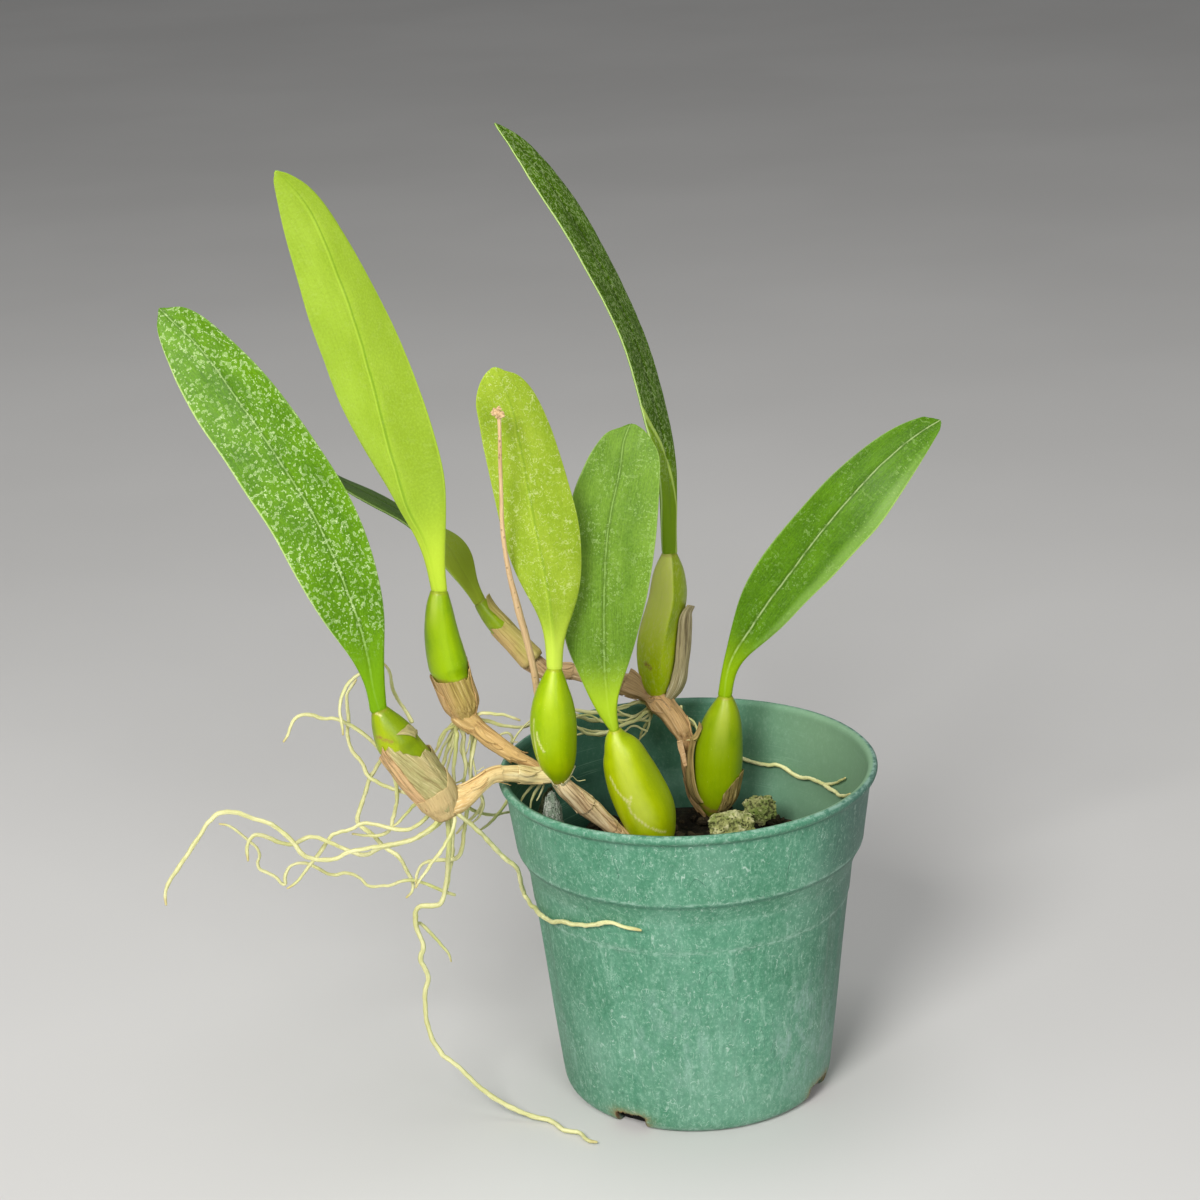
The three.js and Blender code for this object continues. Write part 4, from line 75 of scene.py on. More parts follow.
# Root strands: radius and the points along each.
ROOT_STRANDS = {
    "a01": {"r": 0.85, "p": [[-66.92, -26.24, 87.53], [-68.44, -26.94, 86.66], [-70.05, -27.63, 85.93], [-71.71, -28.29, 85.31], [-73.43, -28.91, 84.83], [-75.22, -29.49, 84.61], [-77.03, -30.02, 84.57], [-78.86, -30.5, 84.56], [-80.71, -30.93, 84.54], [-82.56, -31.32, 84.42], [-84.4, -31.66, 84.22], [-86.26, -31.99, 84.03], [-88.1, -32.31, 83.77], [-89.88, -32.6, 83.2], [-91.63, -32.88, 82.51], [-93.47, -33.16, 82.23], [-95.35, -33.41, 82.26], [-97.2, -33.66, 82.54], [-98.92, -33.89, 83.29], [-100.38, -34.12, 84.47], [-101.52, -34.33, 85.97], [-102.53, -34.53, 87.55], [-103.61, -34.73, 89.1], [-104.77, -34.93, 90.58], [-106.01, -35.14, 92], [-107.39, -35.34, 93.27], [-108.99, -35.56, 94.25], [-110.71, -35.78, 95.02], [-112.41, -36, 95.8], [-114.07, -36.23, 96.7], [-115.81, -36.46, 97.38], [-117.67, -36.68, 97.69], [-119.54, -36.9, 97.84], [-121.37, -37.14, 97.52], [-122.82, -37.36, 96.31], [-124.02, -37.56, 94.84], [-125.15, -37.76, 93.34], [-126.27, -37.96, 91.83], [-127.38, -38.16, 90.31], [-128.49, -38.36, 88.79], [-129.6, -38.55, 87.27], [-130.69, -38.74, 85.73], [-131.79, -38.93, 84.21], [-132.94, -39.11, 82.71], [-134.06, -39.3, 81.2], [-135.05, -39.47, 79.59], [-135.78, -39.65, 77.86], [-136.09, -39.83, 76], [-136.06, -40, 74.12]]},
    "a02": {"r": 0.8, "p": [[-65.8, -21, 85.95], [-67.15, -22.13, 85.28], [-68.59, -23.16, 84.67], [-70.16, -24.06, 84.15], [-71.82, -24.84, 83.75], [-73.56, -25.49, 83.43], [-75.37, -25.88, 83.13], [-77.22, -25.99, 82.79], [-79.06, -26, 82.42], [-80.88, -26, 81.94], [-82.58, -26, 81.16], [-84.23, -26, 80.23], [-86.06, -26, 79.9], [-87.86, -26, 80.45], [-89.54, -26, 81.31], [-91.19, -26, 82.21], [-92.81, -26, 83.16], [-94.41, -26, 84.15], [-96.05, -26, 85.05], [-97.85, -26, 85.63], [-99.72, -26.01, 85.67], [-101.44, -26.05, 84.96], [-103.11, -26.13, 84.09], [-104.97, -26.23, 83.96], [-106.8, -26.36, 84.39], [-108.51, -26.52, 85.15], [-110.15, -26.69, 86.06], [-111.85, -26.87, 86.86], [-113.68, -27.09, 87.12], [-115.13, -27.33, 86], [-115.75, -27.55, 84.21], [-115.88, -27.77, 82.35], [-115.83, -28, 80.48]]},
    "a03": {"r": 0.75, "p": [[-68.47, -19, 87.76], [-69.67, -18.74, 86.35], [-71.06, -18.52, 85.12], [-72.66, -18.34, 84.16], [-74.42, -18.2, 83.52], [-76.27, -18.1, 83.44], [-78.13, -18.04, 83.63], [-79.95, -18.01, 84.03], [-81.71, -18.03, 84.69], [-83.46, -18.11, 85.35], [-85.28, -18.3, 85.66], [-87.11, -18.58, 85.47], [-88.84, -18.91, 84.85], [-90.63, -19.25, 84.42], [-92.45, -19.6, 84.14], [-94.11, -19.98, 83.42], [-95.33, -20.33, 82.05], [-96.42, -20.66, 80.56], [-97.57, -21.01, 79.13], [-98.79, -21.39, 77.76], [-100.05, -21.78, 76.44], [-101.26, -22.19, 75.08], [-102.4, -22.61, 73.65], [-103.58, -23.06, 72.27], [-105, -23.53, 71.15], [-106.59, -24, 70.29]]},
    "a04": {"r": 0.62, "p": [[-63.44, -13.98, 62.13], [-65.18, -13.96, 62.86], [-66.9, -13.96, 63.65], [-68.58, -13.97, 64.52], [-70.27, -13.99, 65.37], [-72.02, -14, 66.1], [-73.83, -14, 66.66], [-75.7, -14, 66.85], [-77.57, -14, 66.56], [-79.39, -14, 66.01], [-81.23, -14, 65.56], [-83.11, -14, 65.36], [-85, -14, 65.34], [-86.73, -14, 66], [-88.1, -14, 67.35], [-89.56, -14, 68.56], [-91.24, -14, 69.43], [-93.11, -14, 69.67], [-94.96, -14, 69.25], [-96.82, -14, 69.33], [-98.51, -14, 70.19], [-100.09, -14, 71.23], [-101.73, -14, 72.19], [-103.48, -14.02, 72.89], [-105.36, -14.04, 72.94], [-107.04, -14.07, 72.08], [-108.17, -14.12, 70.56], [-108.6, -14.17, 68.73], [-108.69, -14.22, 66.81], [-109.44, -14.35, 67.05], [-110.44, -14.43, 68.66], [-111.78, -14.51, 69.97], [-113.42, -14.6, 70.91], [-115.15, -14.71, 71.83], [-115.6, -14.85, 73.52], [-115.02, -14.96, 75.34], [-115.04, -15.07, 77.23], [-115.83, -15.2, 78.92], [-117.19, -15.33, 80.22], [-118.53, -15.45, 81.55], [-119.76, -15.58, 82.98], [-121.08, -15.72, 84.34], [-122.68, -15.86, 85.33], [-124.49, -16, 85.86]]},
    "a05": {"r": 0.72, "p": [[-80.51, -14, 104.36], [-81.66, -14.14, 105.92], [-82.88, -14.3, 107.43], [-84.18, -14.48, 108.86], [-85.55, -14.7, 110.22], [-86.99, -14.93, 111.52], [-88.46, -15.19, 112.77], [-90.03, -15.47, 113.87], [-91.82, -15.78, 114.54], [-93.72, -16.1, 114.84], [-95.59, -16.45, 115.19], [-97.3, -16.84, 116.06], [-99.04, -17.28, 116.77], [-100.88, -17.78, 116.5], [-102.33, -18.32, 115.35], [-103.18, -18.85, 113.67], [-103.9, -19.41, 111.95], [-104.98, -20, 110.45]]},
    "a06": {"r": 0.72, "p": [[-81.05, -16, 128.44], [-82.85, -16.28, 127.73], [-84.6, -16.55, 126.9], [-86.22, -16.83, 125.86], [-87.59, -17.11, 124.5], [-88.61, -17.38, 122.86], [-89.3, -17.65, 121.06], [-89.75, -17.92, 119.18], [-89.89, -18.19, 117.26], [-89.8, -18.46, 115.33], [-89.63, -18.73, 113.4], [-89.54, -19, 111.47]]},
    "a07": {"r": 0.75, "p": [[-72.02, -14.33, 91.92], [-73.77, -13.61, 91.96], [-75.53, -12.88, 92.11], [-77.29, -12.27, 92.44], [-79.06, -12.01, 93.09], [-80.8, -11.87, 93.85], [-82.5, -11.81, 94.69], [-84.13, -11.63, 95.67], [-85.24, -11.33, 97.14], [-85.77, -11.15, 98.98], [-86.59, -11.02, 100.68], [-87.69, -11.01, 102.23], [-88.62, -11.01, 103.88], [-89.17, -11.03, 105.71], [-89.41, -11.05, 107.59], [-89.34, -11.09, 109.49], [-88.97, -11.13, 111.36], [-88.71, -11.2, 113.24], [-88.79, -11.28, 115.14], [-88.94, -11.38, 117.03], [-88.79, -11.5, 118.92], [-88.12, -11.64, 120.69], [-87.14, -11.81, 122.32], [-85.96, -12, 123.79]]},
    "a08": {"r": 0.72, "p": [[-71.7, -15, 112.64], [-72.57, -14.6, 114.39], [-73.56, -14.29, 116.11], [-74.54, -14.14, 117.84], [-75.43, -14.09, 119.63], [-76.11, -14.07, 121.51], [-76.41, -14.13, 123.48], [-76.54, -14.32, 125.47], [-76.94, -14.63, 127.4], [-77.97, -15, 129.07]]},
    "a09": {"r": 0.8, "p": [[-80.21, -13, 102.24], [-81.15, -12.2, 100.83], [-82.03, -11.38, 99.4], [-82.86, -10.62, 97.91], [-83.65, -9.9, 96.38], [-84.4, -9.35, 94.76], [-85.09, -8.87, 93.09], [-85.72, -8.47, 91.38], [-86.34, -8.21, 89.64], [-86.98, -8.12, 87.89], [-87.66, -8.12, 86.15], [-88.33, -8.16, 84.4], [-88.83, -8.22, 82.61], [-88.41, -8.37, 80.87], [-86.91, -8.59, 79.71], [-85.42, -8.82, 78.6], [-84.15, -9.08, 77.26], [-82.95, -9.35, 75.85], [-81.57, -9.61, 74.63], [-80.01, -9.85, 73.61], [-78.5, -10.1, 72.54], [-77.39, -10.37, 71.08], [-76.71, -10.62, 69.36], [-76.07, -10.87, 67.62], [-75.31, -11.13, 65.93], [-74.84, -11.42, 64.15], [-75.32, -11.73, 62.43], [-76.59, -12, 61.09]]},
    "a10": {"r": 0.72, "p": [[-78, -14.05, 98.31], [-77.45, -14.12, 96.55], [-77.08, -14.22, 94.74], [-76.95, -14.29, 92.9], [-76.98, -14.18, 91.06], [-77.27, -13.92, 89.26], [-77.95, -13.69, 87.56], [-78.51, -13.51, 85.81], [-78.77, -13.5, 83.98], [-79.3, -13.51, 82.22], [-80.55, -13.56, 80.89], [-82.31, -13.71, 80.34], [-84.14, -13.96, 80.23], [-85.96, -14.26, 80.37], [-87.72, -14.62, 80.79], [-89.45, -15, 81.3]]},
    "a11": {"r": 0.72, "p": [[-70.63, -16, 90.86], [-71.87, -15.61, 89.67], [-73.09, -15.22, 88.45], [-74.27, -14.83, 87.19], [-75.41, -14.44, 85.89], [-76.48, -14.05, 84.54], [-77.67, -13.72, 83.32], [-79.21, -13.51, 82.41]]},
    "a13": {"r": 0.92, "p": [[-63.12, -23.5, 88.07], [-63.15, -23.22, 86.2], [-63.21, -22.94, 84.32], [-63.29, -22.66, 82.44], [-63.39, -22.38, 80.57], [-63.52, -22.11, 78.7], [-63.71, -21.83, 76.83], [-63.93, -21.55, 74.96], [-64.17, -21.28, 73.1], [-64.44, -21.01, 71.24], [-64.75, -20.74, 69.39], [-65.12, -20.47, 67.55], [-65.6, -20.19, 65.73], [-66.24, -19.93, 63.96], [-67.24, -19.65, 62.33], [-68.93, -19.31, 61.7], [-70.82, -19.08, 61.72], [-72.69, -19.01, 61.36], [-73.88, -19, 59.96], [-74.03, -19, 58.07], [-73.99, -19, 56.17], [-73.62, -19, 54.31], [-72.96, -19, 52.52], [-72.43, -19, 50.7], [-72.48, -19, 48.81], [-73.02, -19, 46.99], [-73.09, -19, 45.13], [-72.29, -19, 43.39], [-71.66, -19, 41.59], [-71.6, -19, 39.7], [-72.11, -19.02, 37.87], [-72.66, -19.07, 36.06], [-72.88, -19.25, 34.18], [-72.93, -19.49, 32.3], [-72.89, -19.72, 30.41], [-72.77, -19.94, 28.53], [-72.58, -20.17, 26.66], [-72.25, -20.39, 24.8], [-71.72, -20.62, 23], [-70.97, -20.85, 21.26], [-69.98, -21.08, 19.66], [-68.75, -21.31, 18.24], [-67.32, -21.55, 17.02], [-65.83, -21.78, 15.87], [-64.44, -22.01, 14.59], [-63.18, -22.23, 13.19], [-61.94, -22.46, 11.77], [-60.66, -22.73, 10.4], [-59.3, -23.05, 9.11], [-57.89, -23.42, 7.9], [-56.39, -23.83, 6.8], [-54.82, -24.28, 5.85], [-53.18, -24.74, 5.01], [-51.51, -25.22, 4.24], [-49.82, -25.69, 3.52], [-48.11, -26.16, 2.84], [-46.37, -26.62, 2.24], [-44.58, -27.05, 1.76], [-42.77, -27.45, 1.37], [-40.95, -27.93, 1.08], [-39.34, -28.89, 0.98], [-38.24, -30.44, 0.97], [-37.32, -32.12, 0.97], [-36.09, -33.54, 0.97], [-34.33, -34.22, 0.97], [-32.55, -34.84, 0.97], [-31.41, -36.34, 0.97], [-30.66, -38.12, 0.97], [-29.46, -39.56, 0.97], [-27.7, -40.24, 0.97]]},
    "a14": {"r": 0.66, "p": [[-74, -19, 56.36], [-73.15, -17.21, 55.56], [-72.13, -16.51, 54.27], [-71.01, -16.16, 52.67], [-69.88, -15.79, 51.11], [-68.75, -15.43, 49.55], [-67.65, -15.06, 47.97], [-66.63, -14.7, 46.34], [-65.92, -14.34, 44.55], [-65.67, -14, 42.64]]},
    "a15": {"r": 0.8, "p": [[-62.43, -17.5, 84.32], [-62.51, -17.32, 82.43], [-62.64, -17.1, 80.54], [-62.8, -16.71, 78.68], [-63, -16.31, 76.83], [-63.25, -15.87, 74.99], [-63.55, -15.75, 73.12], [-63.89, -15.81, 71.24], [-64.28, -15.89, 69.38], [-64.7, -15.88, 67.52], [-65.15, -15.74, 65.68], [-65.64, -15.61, 63.84]]},
    "a16": {"r": 0.75, "p": [[-61, -27, 88.94], [-61.66, -27.18, 87.18], [-62.42, -27.36, 85.46], [-63.29, -27.54, 83.8], [-64.31, -27.73, 82.22], [-65.42, -27.91, 80.7], [-66.58, -28.09, 79.23], [-67.76, -28.27, 77.76], [-68.94, -28.46, 76.3], [-70.08, -28.64, 74.81], [-71.14, -28.82, 73.26], [-72.15, -29, 71.67]]},
    "a17": {"r": 0.75, "p": [[-58.67, -16, 86.7], [-59.04, -16.13, 84.85], [-59.41, -16.26, 83], [-59.77, -16.39, 81.15], [-60.15, -16.52, 79.3], [-60.53, -16.79, 77.46], [-61.03, -17.15, 75.67], [-62.31, -17.65, 74.5], [-64.2, -17.73, 74.21], [-66.08, -17.64, 74.05], [-67.97, -17.54, 73.9], [-69.84, -17.48, 73.61], [-71.54, -17.6, 72.84], [-72.55, -17.75, 71.25], [-73.01, -17.87, 69.42], [-73.28, -18, 67.55]]},
    "a18": {"r": 0.85, "p": [[-60.02, -25, 90.03], [-58.94, -24.17, 88.72], [-57.9, -23.35, 87.39], [-56.89, -22.54, 86.02], [-55.93, -21.73, 84.62], [-55.01, -20.93, 83.19], [-54.13, -20.13, 81.72], [-53.29, -19.35, 80.23], [-52.48, -18.57, 78.72], [-51.7, -17.79, 77.19], [-50.92, -17.01, 75.66], [-50.07, -16.24, 74.17], [-49.07, -15.49, 72.76], [-47.96, -14.77, 71.42], [-46.91, -14.01, 70.05], [-46.18, -13.13, 68.56], [-45.91, -12.13, 66.99], [-45.82, -11.07, 65.43], [-45.77, -9.98, 63.9], [-45.74, -8.87, 62.38], [-45.7, -7.75, 60.86], [-45.66, -6.63, 59.35], [-45.53, -5.53, 57.79], [-44.77, -6.9, 57.37], [-44.1, -8.66, 57.32], [-43.44, -10.42, 57.28], [-42.77, -12.18, 57.25], [-42.08, -13.93, 57.24], [-41.35, -15.67, 57.23], [-40.59, -17.39, 57.26], [-39.79, -19.09, 57.34], [-38.96, -20.78, 57.46], [-38.08, -22.44, 57.64], [-37.18, -24.05, 58], [-36.27, -25.55, 58.68], [-35.33, -26.95, 59.52], [-34.29, -28.37, 60.19], [-33.12, -29.79, 60.57], [-31.86, -31.17, 60.83], [-30.55, -32.49, 61.1], [-29.21, -33.76, 61.49], [-27.86, -34.97, 62.02], [-26.5, -36.1, 62.65], [-25.1, -37.17, 63.32], [-23.69, -38.19, 64.05], [-22.19, -39.16, 64.63], [-20.54, -40.05, 64.73], [-18.84, -40.82, 64.42], [-17.12, -41.53, 64.12], [-15.38, -42.2, 63.94], [-13.61, -42.85, 63.84]]},
    "b01": {"r": 0.8, "p": [[-62.71, 6.32, 101.95], [-63.61, 4.44, 102.8], [-64.84, 3.7, 102.65], [-66.01, 3.47, 101.12], [-66.74, 3.24, 99.41], [-67.33, 3, 97.65]]},
    "b02": {"r": 0.8, "p": [[-62.71, 6.32, 101.95], [-63.02, 7.56, 100.52], [-63.68, 7.62, 98.66], [-64.36, 7.68, 96.82], [-65.03, 7.75, 94.99], [-65.67, 7.81, 93.14], [-66.41, 7.87, 91.33], [-67.39, 7.94, 89.63], [-68.54, 8, 88.05]]},
    "b03": {"r": 0.8, "p": [[-62.71, 6.32, 101.95], [-61.94, 3.81, 102.21], [-61.75, 2.77, 102.14], [-62, 2.56, 100], [-62.22, 2.34, 98.06], [-62.45, 2.11, 96.11], [-62.7, 1.89, 94.17], [-62.92, 1.67, 92.22], [-63.03, 1.45, 90.27], [-63.03, 1.22, 88.31], [-62.99, 1, 86.35]]},
    "b04": {"r": 0.8, "p": [[-62.71, 6.32, 101.95], [-60.53, 6.11, 101.28], [-60.18, 6.12, 99.85], [-60.32, 6.23, 97.91], [-60.45, 6.3, 96.04], [-60.23, 6.23, 94.18], [-59.9, 6.11, 92.34], [-59.97, 6.02, 90.47], [-60.43, 6.13, 88.66], [-60.9, 6.41, 86.86], [-61.29, 6.7, 85.05], [-61.65, 6.96, 83.23]]},
    "b05": {"r": 0.78, "p": [[-57.89, 9, 98.42], [-58.07, 8.75, 96.54], [-58.27, 8.53, 94.67], [-58.53, 8.35, 92.79], [-58.84, 8.11, 90.93], [-59.08, 7.71, 89.08], [-58.81, 6.96, 87.38], [-57.83, 6.08, 85.98], [-56.88, 5.23, 84.58], [-56.2, 4.43, 82.98], [-56.03, 3.6, 81.28], [-56.61, 2.66, 79.77], [-57.77, 1.67, 78.63], [-59.11, 0.59, 77.81], [-60.46, -0.55, 77.11], [-61.7, -1.75, 76.31], [-62.83, -3, 75.43]]},
    "b06": {"r": 0.75, "p": [[-53.66, 4.29, 107.24], [-51.85, 4.64, 106.82], [-50.06, 4.98, 106.29], [-48.31, 5.33, 105.66], [-46.6, 5.66, 104.91], [-44.94, 6, 104.08]]},
    "b07": {"r": 0.75, "p": [[-55.89, 8, 103.99], [-54.1, 8.49, 103.23], [-52.31, 8.99, 102.47], [-50.53, 9.48, 101.69], [-48.74, 9.97, 100.94], [-46.88, 10.46, 100.38], [-44.96, 10.97, 100.11], [-43.04, 11.49, 100.28], [-41.26, 12, 101.03]]},
    "b08": {"r": 0.62, "p": [[-47.59, 12, 94.81], [-47.51, 11.52, 96.75], [-48.43, 10.99, 98.49], [-50.24, 10.34, 98.73], [-51.83, 9.63, 97.7], [-53.54, 9, 98.27]]},
    "b10": {"r": 0.7, "p": [[-59.93, 3, 80.4], [-59.04, 4.17, 79.08], [-58.08, 5.38, 77.86], [-57.02, 6.66, 76.78], [-55.89, 7.99, 75.87], [-54.66, 9.37, 75.15], [-53.37, 10.76, 74.6], [-52.06, 12.16, 74.15], [-50.73, 13.57, 73.77], [-49.41, 15, 73.44]]},
    "b11": {"r": 0.66, "p": [[-49.32, 13, 78.47], [-50.1, 11.61, 77.55], [-50.94, 10.21, 76.69], [-51.85, 8.81, 75.9], [-52.83, 7.42, 75.19], [-53.88, 6.04, 74.56], [-55.02, 4.67, 74.08], [-56.24, 3.32, 73.81], [-57.52, 2, 73.66]]},
    "f01": {"r": 0.75, "p": [[-9.47, 31.68, 95.89], [-10.19, 30.63, 97.71], [-11.38, 29.9, 98.85], [-13.04, 29.49, 99.32], [-14.84, 29.1, 98.92], [-16.54, 28.67, 98.24], [-18.34, 28.21, 97.9], [-20.17, 27.74, 97.74], [-21.98, 27.23, 97.57], [-23.79, 26.69, 97.49], [-25.58, 26.11, 97.66], [-27.29, 25.5, 98.17], [-28.95, 24.87, 98.83], [-30.6, 24.21, 99.46], [-32.27, 23.51, 100.01], [-33.92, 22.77, 100.54], [-35.57, 22, 101.08]]},
    "f02": {"r": 0.72, "p": [[-9.47, 31.68, 95.89], [-11.22, 30.95, 95.84], [-13, 30.89, 94.93], [-14.89, 30.76, 94.52], [-16.8, 30.59, 94.8], [-18.69, 30.4, 95.25], [-20.6, 30.17, 95.06], [-22.42, 29.92, 94.34], [-24.31, 29.59, 94.01], [-26.17, 29.14, 94.3], [-27.93, 28.61, 94.98], [-29.64, 28.04, 95.72], [-31.36, 27.42, 96.4], [-33.06, 26.73, 97.06], [-34.74, 26, 97.73]]},
    "f03": {"r": 0.72, "p": [[-9.47, 31.68, 95.89], [-9.75, 29.15, 96.65], [-10.47, 27.36, 96.92], [-11.41, 26.37, 96.95], [-12.97, 25.97, 95.79], [-14.61, 25.54, 94.92], [-16.46, 25.11, 94.57], [-18.28, 24.66, 94.08], [-20.03, 24.2, 93.4], [-21.82, 23.71, 92.88], [-23.68, 23.21, 92.66], [-25.54, 22.69, 92.63], [-27.3, 22.13, 93.11], [-28.73, 21.61, 94.32], [-30.11, 21.11, 95.58], [-31.61, 20.57, 96.66], [-33.19, 20, 97.63]]},
    "f04": {"r": 0.66, "p": [[-9.47, 31.68, 95.89], [-9.63, 32.67, 94.02], [-10.05, 33.23, 92.22], [-11.14, 33.49, 90.5], [-12.18, 33.75, 88.78], [-12.95, 34, 86.92]]},
    "f05": {"r": 0.72, "p": [[0.05, 31.9, 92.26], [1.52, 32.06, 91.38], [2.89, 32.19, 90.37], [3.44, 32.31, 88.76], [2.99, 32.66, 87.16], [1.91, 33, 85.88]]},
    "g01": {"r": 0.8, "p": [[14.58, 42.75, 76.35], [16.29, 42.05, 75.96], [17.98, 41.3, 75.62], [19.66, 40.49, 75.36], [21.32, 39.63, 75.27], [22.97, 38.72, 75.35], [24.58, 37.76, 75.54], [26.14, 36.71, 75.63], [27.59, 35.58, 75.3], [28.89, 34.4, 74.57], [30.2, 33.15, 74.08], [31.55, 31.86, 74.12], [32.88, 30.55, 74.38], [34.15, 29.18, 74.58], [35.36, 27.74, 74.65], [36.49, 26.23, 74.65], [37.54, 24.68, 74.64], [38.53, 23.07, 74.62], [39.45, 21.44, 74.55], [40.31, 19.76, 74.49], [41.12, 18.06, 74.51], [41.87, 16.35, 74.75], [42.56, 14.68, 75.25], [43.18, 13.04, 75.93], [43.74, 11.44, 76.76], [44.25, 9.87, 77.66]]},
    "g02": {"r": 0.62, "p": [[37.88, 24.15, 74.64], [39.06, 22.72, 75.38], [40.04, 21.19, 76.18], [40.95, 19.65, 77.06], [41.79, 18.12, 78.03], [42.56, 16.62, 79.1], [43.27, 15.16, 80.24]]},
}
# Knots where the bundled strands meet.
ROOT_CROWNS = {
    "b": [-62.71, 6.32, 101.95],
    "f": [-9.47, 31.68, 95.89],
}

# ------------------------------------------------------------ numbers and curves
def lin(r, g, b):
    """A screen colour, 0 to 255, as linear light."""
    out = []
    for c in (r, g, b):
        c /= 255.0
        out.append(c / 12.92 if c <= 0.04045 else ((c + 0.055) / 1.055) ** 2.4)
    return (*out, 1.0)


def unit(v):
    v = np.asarray(v, float)
    return v / np.maximum(np.linalg.norm(v, axis=-1, keepdims=True), 1e-12)


def sstep(a, b, x):
    t = np.clip((np.asarray(x, float) - a) / (b - a), 0, 1)
    return t * t * (3 - 2 * t)


def lengths(p):
    return np.r_[0, np.cumsum(np.linalg.norm(np.diff(p, axis=0), axis=1))]


def smooth_curve(x, y, q):
    """Cubic curve through y at x, read at q."""
    x, y, q = np.asarray(x, float), np.asarray(y, float), np.asarray(q, float)
    flat = y.ndim == 1
    if flat:
        y = y[:, None]
    h = np.diff(x)[:, None]
    d = np.diff(y, axis=0) / h
    m = np.zeros_like(y)
    m[0], m[-1] = d[0], d[-1]
    if len(x) > 2:
        m[1:-1] = (d[:-1] * h[1:] + d[1:] * h[:-1]) / (h[1:] + h[:-1])
    i = np.clip(np.searchsorted(x, q, side="right") - 1, 0, len(x) - 2)
    hh = (x[i + 1] - x[i])[:, None]
    t = (q - x[i])[:, None] / hh
    out = (2 * t**3 - 3 * t**2 + 1) * y[i] + (t**3 - 2 * t**2 + t) * hh * m[i] + (-2 * t**3 + 3 * t**2) * y[i + 1] + (t**3 - t**2) * hh * m[i + 1]
    return out[:, 0] if flat else out


def _lattice(ix, iy, iz, seed):
    n = (ix * 73856093) ^ (iy * 19349663) ^ (iz * 83492791) ^ (seed * 26544357)
    n = ((n ^ (n >> 13)) * 1274126177) & 0x7FFFFFFF
    n = ((n ^ (n >> 15)) * 668265263) & 0x7FFFFFFF
    return ((n >> 7) & 0xFFFF) / 32767.5 - 1.0


def noise3(p, seed=0):
    """Smooth lattice noise, -1 to 1, at points p (N x 3)."""
    p = np.asarray(p, float)
    i = np.floor(p).astype(np.int64)
    f = p - i
    f = f * f * f * (f * (f * 6 - 15) + 10)
    out = 0.0
    for dx in (0, 1):
        wx = f[:, 0] if dx else 1 - f[:, 0]
        for dy in (0, 1):
            wy = f[:, 1] if dy else 1 - f[:, 1]
            for dz in (0, 1):
                wz = f[:, 2] if dz else 1 - f[:, 2]
                out = out + wx * wy * wz * _lattice(i[:, 0] + dx, i[:, 1] + dy, i[:, 2] + dz, seed)
    return out


def fbm(p, octaves=4, seed=0, gain=0.5):
    p = np.asarray(p, float)
    out, a = 0.0, 1.0
    for o in range(octaves):
        out = out + a * noise3(p * (2.03**o) + 11.7 * o, seed + o)
        a *= gain
    return out


def carried_frames(p, reference=(0.31, -0.9, 0.3)):
    """Tangents and two directions across, carried along the line p without twist."""
    t = np.gradient(p, axis=0)
    t = unit(t)
    e1 = np.zeros_like(p)
    e = np.asarray(reference, float)
    for i in range(len(p)):
        e = e - t[i] * (e @ t[i])
        e = e / np.linalg.norm(e)
        e1[i] = e
    return t, e1, np.cross(t, e1)


# ------------------------------------------------------------ meshes
class Shape:
    """Collects vertices (millimetres), faces, per-vertex values and a material number for each face."""

    def __init__(self):
        self.v, self.f, self.m, self.a, self.n = [], [], [], {}, 0

    def add(self, verts, faces, mat=0, **values):
        verts = np.asarray(verts, float)
        k = len(verts)
        self.v.append(verts)
        for f in faces:
            self.f.extend((np.asarray(f, int) + self.n).tolist())
            self.m.extend([mat] * len(f))
        for name, val in values.items():
            val = np.asarray(val, float)
            if name not in self.a:
                self.a[name] = []
                if self.n:
                    self.a[name].append(np.zeros((self.n,) + val.shape[1:]))
            self.a[name].append(val)
        self.n += k
        for name in self.a:
            have = sum(len(x) for x in self.a[name])
            if have < self.n:
                self.a[name].append(np.zeros((self.n - have,) + self.a[name][0].shape[1:]))
        return self

    def build(self, name, materials, nodes=(), slot=None, smooth=True):
        v = np.vstack(self.v) * MM
        me = bpy.data.meshes.new(name)
        me.from_pydata(v.tolist(), [], self.f)
        for m in materials:
            me.materials.append(m)
        me.polygons.foreach_set("material_index", np.array(self.m, dtype=np.int32))
        me.polygons.foreach_set("use_smooth", np.full(len(self.m), bool(smooth)))
        for key, parts in self.a.items():
            val = np.concatenate(parts)
            if val.ndim == 1:
                at = me.attributes.new(key, "FLOAT", "POINT")
                at.data.foreach_set("value", val.astype(np.float32))
            else:
                at = me.attributes.new(key, "FLOAT_VECTOR", "POINT")
                at.data.foreach_set("vector", val.astype(np.float32).ravel())
        me.update()
        o = bpy.data.objects.new(name, me)
        bpy.context.scene.collection.objects.link(o)
        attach(o, "root")
        if nodes:
            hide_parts(*nodes)
        return o


def grid_faces(rows, cols, wrap, flip=False, start=0):
    """Quads between rows of points; wrap joins the last column to the first."""
    i, j = np.meshgrid(np.arange(rows - 1), np.arange(cols if wrap else cols - 1), indexing="ij")
    a = start + i * cols + j
    b = start + i * cols + (j + 1) % cols
    q = np.stack([a, b, b + cols, a + cols], -1).reshape(-1, 4)
    return q[:, ::-1] if flip else q


def fan(centre, ring, flip=False):
    ring = np.asarray(ring)
    t = np.stack([np.full(len(ring), centre), np.roll(ring, -1), ring], -1)
    return t[:, ::-1] if flip else t


